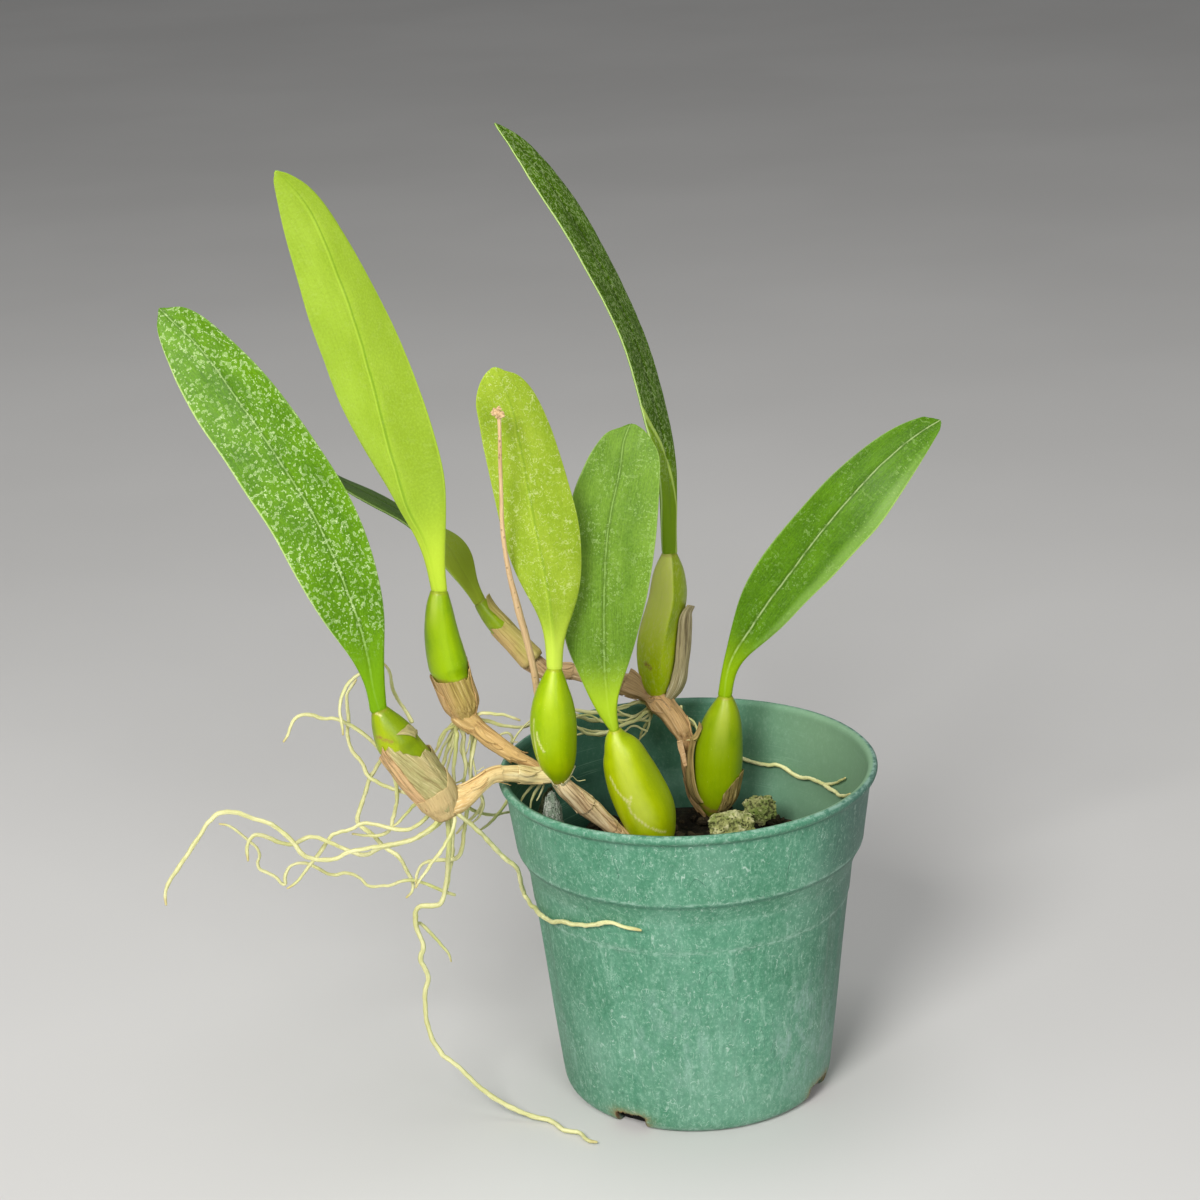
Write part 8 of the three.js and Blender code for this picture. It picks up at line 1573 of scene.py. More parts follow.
def at_depth(y0, slope=0.0, u0=0.0):
    return lambda u, w: y0 + slope * (u - u0)


def loose_sheath(sh, left, right, front, back, tone=0.5, n=60, m=34, thick=0.2, seed=1, wrinkle=0.12, curl=0.5, cover=1.0):
    """A dry sheath standing off its bulb: its near edge and its outline are lines of frame pixels, front and back the depths of the two."""
    q = np.linspace(0, 1, n)
    A = smooth_curve(lengths(np.array(left, float)) / lengths(np.array(left, float))[-1], np.array(left, float), q)
    B = smooth_curve(lengths(np.array(right, float)) / lengths(np.array(right, float))[-1], np.array(right, float), q)
    u = np.linspace(0, cover, m)
    out = np.zeros((n, m, 3))
    for i in range(n):
        for j in range(m):
            g = u[j] * math.pi / 2
            w = math.sin(min(g, math.pi / 2)) if g <= math.pi / 2 else math.sin(g)
            px = A[i] + (B[i] - A[i]) * w
            y = front + (back - front) * (1 - math.cos(g))
            d = sight(*px)
            out[i, j] = CAM + d * ((y - CAM[1]) / d[1])
    gu, gv = np.gradient(out, axis=0), np.gradient(out, axis=1)
    nor = unit(np.cross(gu, gv))
    toward = CAM - out
    flip = np.sign(np.sum(nor[:, : m // 2] * toward[:, : m // 2]))
    nor = nor * flip
    key = np.stack([np.tile(u * 3.2, (n, 1)), np.repeat(q[:, None] * 1.1, m, 1), np.full((n, m), seed + 0.4)], -1).reshape(-1, 3)
    bump = (noise3(key * np.array([2.2, 1, 1]), seed) + 0.5 * noise3(key * np.array([6, 2, 1]), seed + 1)).reshape(n, m) * wrinkle
    edge = curl * sstep(0.1, 0.0, q)[:, None] * (0.4 + 0.6 * noise3(key, seed + 3).reshape(n, m))
    outer = out + nor * (bump + edge)[..., None]
    inner = outer - nor * thick
    x = np.tile(u * 7.0, (n, 1))
    y = np.repeat((q * lengths(out[:, 0])[-1])[:, None], m, 1)
    bl = np.stack([x + seed * 2.3, x * 0, y], -1)
    bn = np.stack([np.repeat(q[:, None], m, 1), np.full((n, m), float(tone)), np.zeros((n, m))], -1)
    shell(sh, outer, inner, False, bl=bl, bn=bn, deep=np.zeros((n, m)))


def table(points, lo, hi, low_value, high_value=None):
    """An angle table: the given points, with fixed values outside them."""
    pts = [p for p in points if lo < p[0] < hi]
    return [(lo, low_value)] + pts + [(hi, low_value if high_value is None else high_value)]


def make_sheaths():
    sheath_a = papery("sheath_a_paper", lin(208, 170, 124), lin(168, 162, 108), lin(118, 100, 60), lin(226, 210, 164), contrast=0.62, spacing=1.4)
    foot_a = papery("sheath_foot_paper", lin(200, 172, 122), lin(186, 172, 120), lin(140, 112, 70), lin(224, 208, 164), contrast=0.4, spacing=0.8)
    sheath_b = papery("sheath_b_paper", lin(204, 166, 116), lin(170, 150, 80), lin(118, 94, 50), lin(222, 200, 146), contrast=0.65, spacing=1.4)
    sheath_c = papery("sheath_c_paper", lin(206, 176, 118), lin(176, 168, 88), lin(138, 112, 58), lin(226, 208, 156), contrast=0.5)
    sheath_f = papery("sheath_f_paper", lin(196, 178, 134), lin(176, 164, 124), lin(84, 70, 42), lin(236, 226, 196), contrast=1.0, spacing=0.95)
    bract_f = papery("bract_f_paper", lin(206, 166, 126), lin(188, 152, 110), lin(122, 92, 60), lin(230, 204, 166), contrast=0.6)
    sheath_g = papery("sheath_g_paper", lin(170, 146, 92), lin(118, 106, 54), lin(78, 62, 32), lin(202, 184, 128), contrast=0.8)
    flat = [(-1, -0.16), (0.3, -0.12), (1, -0.1)]
    top_a = line_on("a", [(382, 754), (383.3, 746.8), (388.8, 746.3), (391, 748.8), (399.7, 749.9), (403.2, 753), (404, 755), (407.4, 753.3), (411.3, 755), (415.2, 755.3), (418.3, 756.6), (419.9, 754.1), (423.3, 749.9), (430, 754.1), (434.7, 755), (439.3, 758.4), (445.5, 763.1), (450, 769), (453, 776)])
    grey = [q for q in top_a if q[0] > -34]
    s = Shape()
    wrap_bulb(s, "a", -180, 180, [(-180, -0.12), (180, -0.12)], table(grey, -180, 180, 0.5, 0.5), flat, [(-180, 0.0), (-40, 0.0), (-31, 0.35), (-24, 1.0), (70, 1.0), (110, 0.6), (180, 0.0)], 31, cols=200, rows=54, rag=0.006, ridge=0.22, full=True, skew=1.5, dark_edge=0.15)
    tan_line = [q for q in top_a if q[0] < -24]
    wrap_bulb(s, "a", -160, -27, [(-160, -0.08), (-60, -0.02), (-27, 0.06)], table(tan_line, -160, -27, 0.5, 0.5), [(-1, 0.02), (0.4, 0.14), (1, 0.34)], [(-160, 0), (-27, 0)], 37, cols=84, rows=44, rag=0.006, ridge=0.26, flare=0.5, side_rag=0.06, dark_edge=0.2, skew=0.5)
    pixel_patch(s, [[(396, 735), (400.7, 730.7), (405, 727.3), (407.4, 724.4)], [(402.8, 734.8), (405, 731), (408, 728), (411.3, 726.7)], [(410.5, 735.9), (411, 733), (413, 731), (414.5, 729.6)], [(414.4, 738), (415, 736), (416.2, 734), (417.3, 732.8)]], BULBS["a"]["tree"], tone=1.0, seed=4, lift=0.15, curl=0.25)
    s.build("sheath_a_torn", [sheath_a], ["sheath_a"], "dry_sheath")
    s = Shape()
    foot_line = line_on("a", [(420, 799.5), (424, 799.5), (430, 797), (437, 792), (444, 787), (450, 782.5), (454, 779)])
    wrap_bulb(s, "a", -110, 150, [(-110, -0.15), (150, -0.15)], table(foot_line, -110, 150, 0.08, 0.3), [(-1, 0.15), (0.4, 0.12), (1, 0.25)], [(-110, 0.0), (150, 0.6)], 39, cols=110, rows=26, rag=0.006, ridge=0.1, flare=0.1, dark_edge=0.1, skew=-0.5)
    s.build("sheath_a_foot", [foot_a], slot="dry_sheath")

    s = Shape()
    top_b = line_on("b", [(433, 676.5), (437.7, 681.6), (444.6, 682), (451.5, 682), (458.4, 680.8), (463.6, 678.5), (465.3, 680.8), (466.2, 675), (467, 669.6), (468.4, 662.7), (469.6, 661), (471, 664)])
    wrap_bulb(s, "b", -180, 180, [(-180, -0.16), (180, -0.16)], table(top_b, -180, 180, 0.36, 0.4), flat, [(-180, 0.2), (-60, 0.0), (-25, 0.4), (-5, 1.0), (50, 1.0), (90, 0.2), (180, 0.2)], 41, cols=190, rows=46, rag=0.004, ridge=0.16, full=True, dark_edge=0.1, skew=0.8)
    wrap_bulb(s, "b", -150, -38, [(-150, -0.05), (-38, -0.05)], [(-150, 0.34), (-90, 0.37), (-38, 0.2)], [(-1, 0.0), (1, 0.16)], [(-150, 0.0), (-38, 0.0)], 47, cols=60, rows=40, rag=0.008, ridge=0.18, flare=0.2, side_rag=0.04, dark_edge=0.1)
    wrap_bulb(s, "b", 60, 150, [(60, -0.06), (150, -0.06)], [(60, 0.12), (70, 0.3), (84, 0.42), (110, 0.42), (150, 0.36)], [(-1, 0.0), (1, 0.2)], [(60, 0.1), (150, 0.3)], 43, cols=60, rows=40, rag=0.01, ridge=0.18, flare=0.3, side_rag=0.05, dark_edge=0.1)
    s.build("sheath_b_torn", [sheath_b], ["sheath_b"], "dry_sheath")

    s = Shape()
    top_c = line_on("c", [(488, 629), (491, 629), (495, 629), (500, 627.8), (503, 625), (504.5, 622), (506, 617)])
    wrap_bulb(s, "c", -180, 180, [(-180, -0.05), (180, -0.05)], table(top_c, -180, 180, 0.5, 0.62), [(-1, 0.1), (0.2, 0.5), (0.6, 0.1), (1, -0.1)], [(-180, 0.0), (-40, 0.0), (10, 0.8), (90, 0.6), (180, 0.3)], 51, cols=120, rows=34, rag=0.01, ridge=0.12, full=True, dark_edge=0.1)
    loose_sheath(s, [(486, 597), (489, 608), (497, 616), (503, 622.5), (508, 628)], [(489, 593.5), (493.5, 601), (499, 608), (509, 618), (518, 628)], 30.4, 33.4, tone=0.9, seed=52, curl=0.3, n=40, m=20, wrinkle=0.08)
    s.build("sheath_c_torn", [sheath_c], ["sheath_c"], "dry_sheath")

    s = Shape()
    loose_sheath(s, [(687.5, 604.5), (683.5, 610), (680.2, 616), (678.0, 629), (676.2, 646), (674.8, 663), (671.8, 676), (668.8, 687.5), (664.6, 697)], [(692.5, 605.5), (691.2, 611), (691.4, 620), (691.2, 631), (690.4, 648), (688.5, 663), (686, 682), (681.7, 691), (673, 700.5)], 25.6, 30.2, tone=0.8, seed=61, n=110, m=40, wrinkle=0.2, curl=0.9, cover=1.75)
    s.build("sheath_f_torn", [sheath_f], ["sheath_f"], "dry_sheath")

    s = Shape()
    wrap_bulb(s, "g", 8, 170, [(8, 0.0), (170, 0.0)], table(line_on("g", [(716, 803), (718, 800), (722.8, 795.4), (727.4, 789.2), (732.9, 783), (736, 777.5), (739, 775.2), (741.5, 771)]), 8, 170, 0.05, 0.3), [(-1, 0.15), (1, 0.4)], [(8, 0.9), (90, 0.7), (170, 0.5)], 71, cols=120, rows=40, rag=0.006, ridge=0.2, flare=0.3, dark_edge=0.05)
    loose_sheath(s, [(697, 738), (694.5, 748), (693.6, 756), (694.2, 772), (696, 784.5), (700, 797), (704, 803)], [(691.5, 739), (688.3, 748), (686.2, 760), (685.4, 772), (687, 786), (691.7, 797), (698, 804)], 22.4, 27.0, tone=0.15, seed=73, n=70, m=30, wrinkle=0.2, curl=0.7, cover=1.6)
    pixel_patch(s, [[(699, 721), (701, 724), (702.5, 728)], [(698, 726), (699.5, 729), (700.5, 732)], [(695, 733), (696.5, 736), (697.5, 738)], [(690.5, 737), (692, 739), (693.5, 740.5)]], at_depth(22.0, 0.0, 700), thick=0.25, tone=0.0, seed=9, curl=0.5, n=18, m=14)
    s.build("sheath_g_torn", [sheath_g], ["sheath_g"], "dry_sheath")

    # dry membrane left at the foot of the next bulbs along
    pale = papery("membrane_paper", lin(206, 196, 140), lin(222, 216, 176), lin(128, 116, 72), lin(240, 236, 206), contrast=0.6)
    s = Shape()
    wrap_bulb(s, "d", -125, 150, [(-125, -0.08), (150, -0.08)], [(-125, 0.02), (-60, 0.04), (-20, -0.02), (20, -0.025), (60, 0.02), (85, 0.1), (120, 0.07), (150, 0.03)], [(-1, 0.1), (0, 0.15), (1, 0.4)], [(-125, 0.5), (150, 1.0)], 81, cols=110, rows=18, rag=0.016, ridge=0.2, flare=0.7, dark_edge=0.1)
    wrap_bulb(s, "e", -150, -62, [(-150, -0.04), (-62, -0.04)], [(-150, 0.1), (-90, 0.12), (-62, 0.03)], [(-1, 0.12), (1, 0.35)], [(-150, 0.2), (-62, 0.2)], 85, cols=50, rows=16, rag=0.02, ridge=0.12, flare=0.3, dark_edge=0.1)
    s.build("foot_membranes", [pale], slot="dry_sheath")


# ------------------------------------------------------------ rhizomes
RHIZOME_MATS = {
    "rhizome_a_d": ((218, 180, 118), (232, 218, 160), (164, 124, 70), (244, 230, 184)),
    "rhizome_b_d": ((204, 172, 110), (188, 152, 100), (132, 98, 54), (230, 206, 152)),
    "rhizome_d_e": ((232, 212, 166), (196, 156, 108), (104, 72, 42), (244, 230, 192)),
    "rhizome_c_f": ((206, 174, 130), (190, 156, 112), (124, 94, 60), (232, 212, 172)),
    "rhizome_f_g": ((226, 184, 130), (176, 144, 96), (112, 80, 46), (240, 212, 166)),
}
# where bracts end along the piece, how far they stand out, and the tone at both ends
RHIZOME_STEPS = {
    "rhizome_a_d": ([0.0, 0.5, 1.02], 0.06, (0.0, 1.15)),
    "rhizome_b_d": ([0.0, 0.62, 1.02], 0.08, (0.0, 1.0)),
    "rhizome_d_e": ([0.0, 0.36, 0.7, 1.02], 0.1, (0.0, 1.1)),
    "rhizome_c_f": ([0.0, 0.34, 0.68, 1.02], 0.1, (0.3, 0.6)),
    "rhizome_f_g": ([0.0, 0.42, 1.02], 0.08, (0.0, 1.2)),
}
# where a piece runs on into the shoots at its ends: point and radius
RUN_ON = {
    "rhizome_a_d": ([(-63.2, -23.6, 92.6, 3.3), (-60.6, -22.7, 93.4, 3.1)], [(-37.6, -8.2, 93.6, 2.3), (-35.0, -8.0, 93.2, 2.0)]),
    "rhizome_b_d": ([(-60.2, 4.0, 107.4, 2.9), (-58.2, 3.8, 105.2, 2.9)], [(-37.6, -7.0, 93.6, 1.5), (-35.4, -7.8, 93.2, 1.3)]),
    "rhizome_d_e": ([(-34.2, -8.0, 91.6, 2.2), (-32.9, -7.6, 89.8, 2.5)], [(-17.2, 0.8, 70.8, 1.9), (-14.4, 1.8, 68.2, 1.7)]),
    "rhizome_c_f": ([(-42.6, 30.2, 112.4, 3.0), (-40.2, 30.5, 110.4, 2.7)], [(-10.8, 29.3, 102.4, 2.6), (-7.6, 28.4, 101.0, 2.3)]),
    "rhizome_f_g": ([(-8.0, 28.0, 100.6, 3.0), (-6.5, 28.0, 99.0, 3.2)], [(3.2, 33.0, 66.6, 1.8), (5.4, 30.0, 65.0, 1.6)]),
}
SWELL = {
    "rhizome_a_d": [(0, 1.25), (0.15, 1.18), (0.4, 0.98), (0.7, 1.02), (1, 1.0)],
    "rhizome_b_d": [(0, 1.15), (0.2, 1.0), (0.6, 0.96), (0.66, 0.88), (1, 0.9)],
    "rhizome_d_e": [(0, 1.0), (0.4, 1.05), (0.7, 0.95), (1, 0.9)],
    "rhizome_c_f": [(0, 1.0), (0.5, 0.86), (0.8, 1.05), (1, 1.0)],
    "rhizome_f_g": [(0, 1.15), (0.25, 1.15), (0.42, 0.72), (0.55, 0.85), (1, 1.0)],
}


def make_rhizomes():
    for name, rows in RHIZOME_AXES.items():
        before, after = RUN_ON[name]
        rows = np.array(before + [tuple(x) for x in rows] + after)
        steps, stand, tones = RHIZOME_STEPS[name]
        s = lengths(rows[:, :3])
        n = int(s[-1] / 0.25)
        q = np.linspace(0, s[-1], n)
        P, r = smooth_curve(s, rows[:, :3], q), smooth_curve(s, rows[:, 3], q)
        P = eased(q, P, 0.9)
        r = eased(q, r[:, None], 0.9)[:, 0] * np.interp(q / s[-1], *zip(*SWELL[name]))
        seed = sum(map(ord, name)) % 97
        sides = 66
        v, faces, ang, al, ra = tube(P, r, sides, caps=(0.55, 0.55))
        idx = np.clip(np.searchsorted(q, np.clip(al, 0, s[-1])), 0, n - 1)
        ax = P[idx] + (al - np.clip(al, 0, s[-1]))[:, None] * unit(np.gradient(P, axis=0))[idx]
        d = v - ax
        c3 = np.stack([np.cos(ang) * 1.6, np.sin(ang) * 1.6, al * 0.05 + seed], -1)
        share = (al + 0.9 * noise3(c3 * 1.3, seed) + 0.5 * noise3(c3 * 4, seed + 1)) / s[-1]
        k = np.clip(np.searchsorted(steps, share, side="right") - 1, 0, len(steps) - 2)
        lo, hi = np.array(steps)[k], np.array(steps)[k + 1]
        t = np.clip((share - lo) / (hi - lo), 0, 1)
        twist = ang + al * 0.035 * (1 if seed % 2 else -1)
        fibre = noise3(np.stack([np.cos(twist) * 3.4, np.sin(twist) * 3.4, al * 0.05 + k * 3.7 + seed], -1), seed + 2)
        fine = noise3(np.stack([np.cos(twist) * 9, np.sin(twist) * 9, al * 0.1 + k * 5.1], -1), seed + 3)
        lumpy = noise3(np.stack([np.cos(ang), np.sin(ang), al * 0.2 + seed], -1), seed + 4)
        mult = 0.97 + stand * (t**2.5) + 0.085 * fibre + 0.035 * fine + 0.08 * lumpy
        mult = np.where(ra < 0.05, 1, mult)
        v = ax + d * mult[:, None]
        tone = np.clip(tones[0] + (tones[1] - tones[0]) * al / s[-1] + 0.14 * lumpy + 0.16 * (hash_of(k + seed) - 0.5), 0, 1)
        deep = np.maximum(sstep(0.05, 0.0, t) * (k > 0) * 0.12, sstep(-0.4, -0.9, fibre) * 0.3)
        bl = np.stack([np.cos(twist) * ra + k * 9.1, np.sin(twist) * ra, al], -1)
        bn = np.stack([t, tone, ra], -1)
        sh = Shape()
        sh.add(v, faces, bl=bl, bn=bn, deep=deep)
        # curled strips of bract standing off the surface
        g = np.random.default_rng(seed)
        tt, e1, e2 = carried_frames(P)
        for _ in range(9 if s[-1] > 18 else 6):
            a0 = g.uniform(0, 2 * math.pi)
            i0 = int(g.uniform(0.12, 0.8) * n)
            m = int(g.uniform(3.5, 8.5) / 0.25)
            ii = np.clip(np.arange(i0, i0 + m), 0, n - 1)
            w = g.uniform(0.35, 0.8)
            up = np.linspace(0, 1, m)
            rr = r[ii] * 1.03 + 0.05 + g.uniform(0.15, 0.8) * up**3
            grid_o, grid_i = [], []
            for side in np.linspace(-1, 1, 6):
                aa = a0 + side * w * (1 - 0.75 * up**1.5) / r[ii] * 1.2 + 0.25 * np.sin(up * 3 + a0)
                dirn = e1[ii] * np.cos(aa)[:, None] + e2[ii] * np.sin(aa)[:, None]
                grid_o.append(P[ii] + dirn * (rr + 0.12 * (1 - side * side))[:, None])
                grid_i.append(P[ii] + dirn * (rr + 0.12 * (1 - side * side) - 0.12)[:, None])
            go, gi = np.array(grid_o).transpose(1, 0, 2), np.array(grid_i).transpose(1, 0, 2)
            yy = np.repeat(q[ii][:, None], 6, 1)
            xx = np.tile(np.linspace(-1, 1, 6) * w, (m, 1))
            tone0 = float(np.clip(tones[0] + (tones[1] - tones[0]) * i0 / n + g.uniform(-0.2, 0.2), 0, 1))
            shell(sh, go, gi, False, bl=np.stack([xx * 2 + a0 * 3, xx * 0, yy], -1), bn=np.stack([yy * 0, np.full_like(yy, tone0), yy * 0], -1), deep=yy * 0)
        tan, grey, dark, light = (lin(*c) for c in RHIZOME_MATS[name])
        sh.build(name + "_bracts", [papery(name + "_paper", tan, grey, dark, light, contrast=0.75, spacing=0.85)], [name], "rhizome")


def hash_of(k):
    return np.modf(np.abs(np.sin(np.asarray(k, float) * 12.9898) * 43758.5453))[0]


def make_scraps():
    """Bracts and torn scraps between the shoots."""
    tan = papery("scrap_paper", lin(192, 156, 112), lin(206, 178, 136), lin(118, 86, 54), lin(230, 206, 164), contrast=0.65)
    s = Shape()
    # the broad bract at the left foot of bulb f
    pixel_patch(s, [[(621, 690), (626, 679), (631, 668)], [(629, 693), (634, 683), (637, 672)], [(640, 697), (642, 688), (643, 680)], [(653, 701), (650, 697), (646, 693)]], at_depth(26.6, 0.03, 640), thick=0.25, tone=0.3, seed=6, curl=0.4, n=22, m=22)
    pixel_patch(s, [[(641, 697), (647, 703), (652, 711)], [(650, 699), (656, 705), (662, 713)], [(662, 699), (667, 704), (672, 710)]], at_depth(25.2, 0.0, 650), thick=0.3, tone=0.1, seed=7, curl=0.5, n=14, m=18)
    # below, where the piece to bulb g hangs down
    pixel_patch(s, [[(677, 741), (678, 748), (681, 757), (684, 767)], [(682, 740), (684, 748), (686, 757), (687, 766)]], at_depth(24.0, 0.0, 680), thick=0.22, tone=0.3, seed=8, curl=0.5, n=10, m=20)
    s.build("bract_scraps", [tan], slot="dry_sheath")


# ------------------------------------------------------------ flower stalk
def make_stalk():
    rows = np.array(STALK_AXIS)
    s = lengths(rows[:, :3])
    n = int(s[-1] / 0.3)
    q = np.linspace(0, s[-1], n)
    P, r = smooth_curve(s, rows[:, :3], q), smooth_curve(s, rows[:, 3], q)
    g = np.random.default_rng(5)
    r = r * np.interp(q / s[-1], [0, 0.3, 0.6, 1], [0.95, 0.9, 0.8, 0.72])
    r = r * (1 + 0.05 * noise3(np.stack([q * 0.3, q * 0, q * 0], -1), 8))
    P = P + 0.12 * np.stack([noise3(np.stack([q * 0.12, q * 0, q * 0 + k], -1), k) for k in (1, 2, 3)], -1)
    v, faces, ang, al, ra = tube(P, r, 22, caps=(0.6, 0.5))
    bl = np.stack([np.cos(ang) * ra, np.sin(ang) * ra, al], -1)
    bn = np.stack([al / s[-1], 0.5 + 0 * al, ra], -1)
    # small dark dots scattered along it
    rings = np.zeros(len(al))
    for _ in range(46):
        a0, x, size = g.uniform(-math.pi, math.pi), g.uniform(4, s[-1] - 4), g.uniform(0.22, 0.42)
        da = (ang - a0 + math.pi) % (2 * math.pi) - math.pi
        rings = np.maximum(rings, sstep(1.0, 0.35, np.hypot(da * ra, al - x) / size))
    sh = Shape()
    d = v - P[np.clip(np.searchsorted(q, np.clip(al, 0, s[-1])), 0, n - 1)]
    sh.add(v, faces, bl=bl, bn=bn, deep=rings * 0.9)
    # the withered head
    top = P[-1]
    for i in range(26):
        c = top + np.array([0, 0, 0.7]) + g.standard_normal(3) * np.array([0.85, 0.8, 0.5])
        b, f = ball(2)
        b = b * (1 + 0.35 * noise3(b * 2 + i, i)[:, None]) * g.uniform(0.3, 0.75) * np.array([1, 0.8, g.uniform(0.5, 1.2)])
        sh.add(b + c, [f], bl=b * 2, bn=np.tile([0.5, g.uniform(0, 1), 0], (len(b), 1)), deep=np.full(len(b), float(g.uniform(0, 0.5) ** 2)))
    m = papery("stalk_skin", lin(226, 196, 150), lin(210, 176, 132), lin(150, 112, 76), lin(244, 226, 190), spacing=1.2, contrast=0.35)
    sh.build("flower_stalk_dry", [m], ["flower_stalk"], "dry_stalk")


# ------------------------------------------------------------ roots
ROOT_NODES = {
    "root_a_far_left": ["a01"], "root_a_left_hook": ["a02"], "root_a_left_upper": ["a03"], "root_a_thin_loop": ["a04"], "root_a_side_hook": ["a05"],
    "root_a_behind_leaf": ["a06"], "root_a_behind_sheath": ["a07"], "root_a_beside_leaf": ["a08"], "root_a_swing": ["a09"], "root_a_forked": ["a10", "a11"],
    "root_to_ground": ["a13", "a14"], "root_a_straight": ["a15"], "root_a_front": ["a16"], "root_a_bent": ["a17"], "root_on_pot": ["a18"],
    "root_b_right_upper": ["b06"], "root_b_right_lower": ["b07"], "root_b_long": ["b05"], "root_b_loop": ["b08"], "root_b_cross_left": ["b10"], "root_b_cross_right": ["b11"],
    "root_f_right": ["f05"], "root_on_inner_wall": ["g01", "g02"], "roots_b_bundle": ["b01", "b02", "b03", "b04"], "roots_f_bundle": ["f01", "f02", "f03", "f04"],
}


THIN = 0.72
# where each shoot lets its roots out
ROOT_ORIGIN = {"a": (-63.6, -22.6, 91.4), "b": (-60.6, 5.0, 104.8), "f": (-7.6, 29.4, 98.6)}
LED_BACK = {"a": ("a01", "a02", "a03", "a13", "a15", "a16", "a17", "a18"), "b": ("b01", "b02", "b03", "b04", "b05", "b06", "b07"), "f": ("f01", "f02", "f03", "f04", "f05")}


def strand(sh, pts, r0, seed, taper=True, sides=10, step=0.5, knobby=1.0, kink=0.2, tip_mark=1.0):
    pts = np.asarray(pts, float)
    s = lengths(pts)
    n = max(8, int(s[-1] / step))
    q = np.linspace(0, s[-1], n)
    P = smooth_curve(s, pts, q)
    ends = np.sin(np.pi * np.clip(q / s[-1], 0, 1)) ** 0.4
    w = np.stack([noise3(np.stack([q * 0.33, q * 0 + seed, q * 0 + k], -1), seed % 50 + k) for k in (1, 2, 3)], -1)
    w2 = np.stack([noise3(np.stack([q * 0.85, q * 0 + seed * 1.3, q * 0 + k], -1), seed % 50 + k + 9) for k in (1, 2, 3)], -1)
    P = P + (kink * w + 0.45 * kink * w2) * ends[:, None]
    low = P[:, 2] - r0 * 1.05
    P[:, 2] += np.maximum(0, 0.06 - low)
    r = r0 * (1 + 0.12 * knobby * noise3(np.stack([q * 0.45, q * 0 + seed * 2.1, q * 0], -1), 17) + 0.07 * knobby * noise3(np.stack([q * 1.6, q * 0 + seed, q * 0], -1), 19))
    end = s[-1] - q
    if taper:
        r = r * (1 - 0.25 * sstep(14, 0, end)) * (1 - 0.25 * sstep(2.0, 0, end))
    v, faces, ang, al, ra = tube(P, r, sides, caps=(0.6, 1.3))
    bl = np.stack([np.cos(ang) * ra * 2 + seed, np.sin(ang) * ra * 2, al], -1)
    tip = sstep(1.6, 0.1, s[-1] - al) * tip_mark if taper else al * 0
    sh.add(v, faces, bl=bl, bn=np.stack([al / s[-1], tip, ra], -1), deep=al * 0)


def at_px(line, y0, y1):
    """Frame pixels laid at depths running from y0 to y1 (mm)."""
    out = []
    for i, (u, w) in enumerate(line):
        d = sight(u, w)
        y = y0 + (y1 - y0) * i / max(1, len(line) - 1)
        out.append(CAM + d * ((y - CAM[1]) / d[1]))
    return np.array(out)


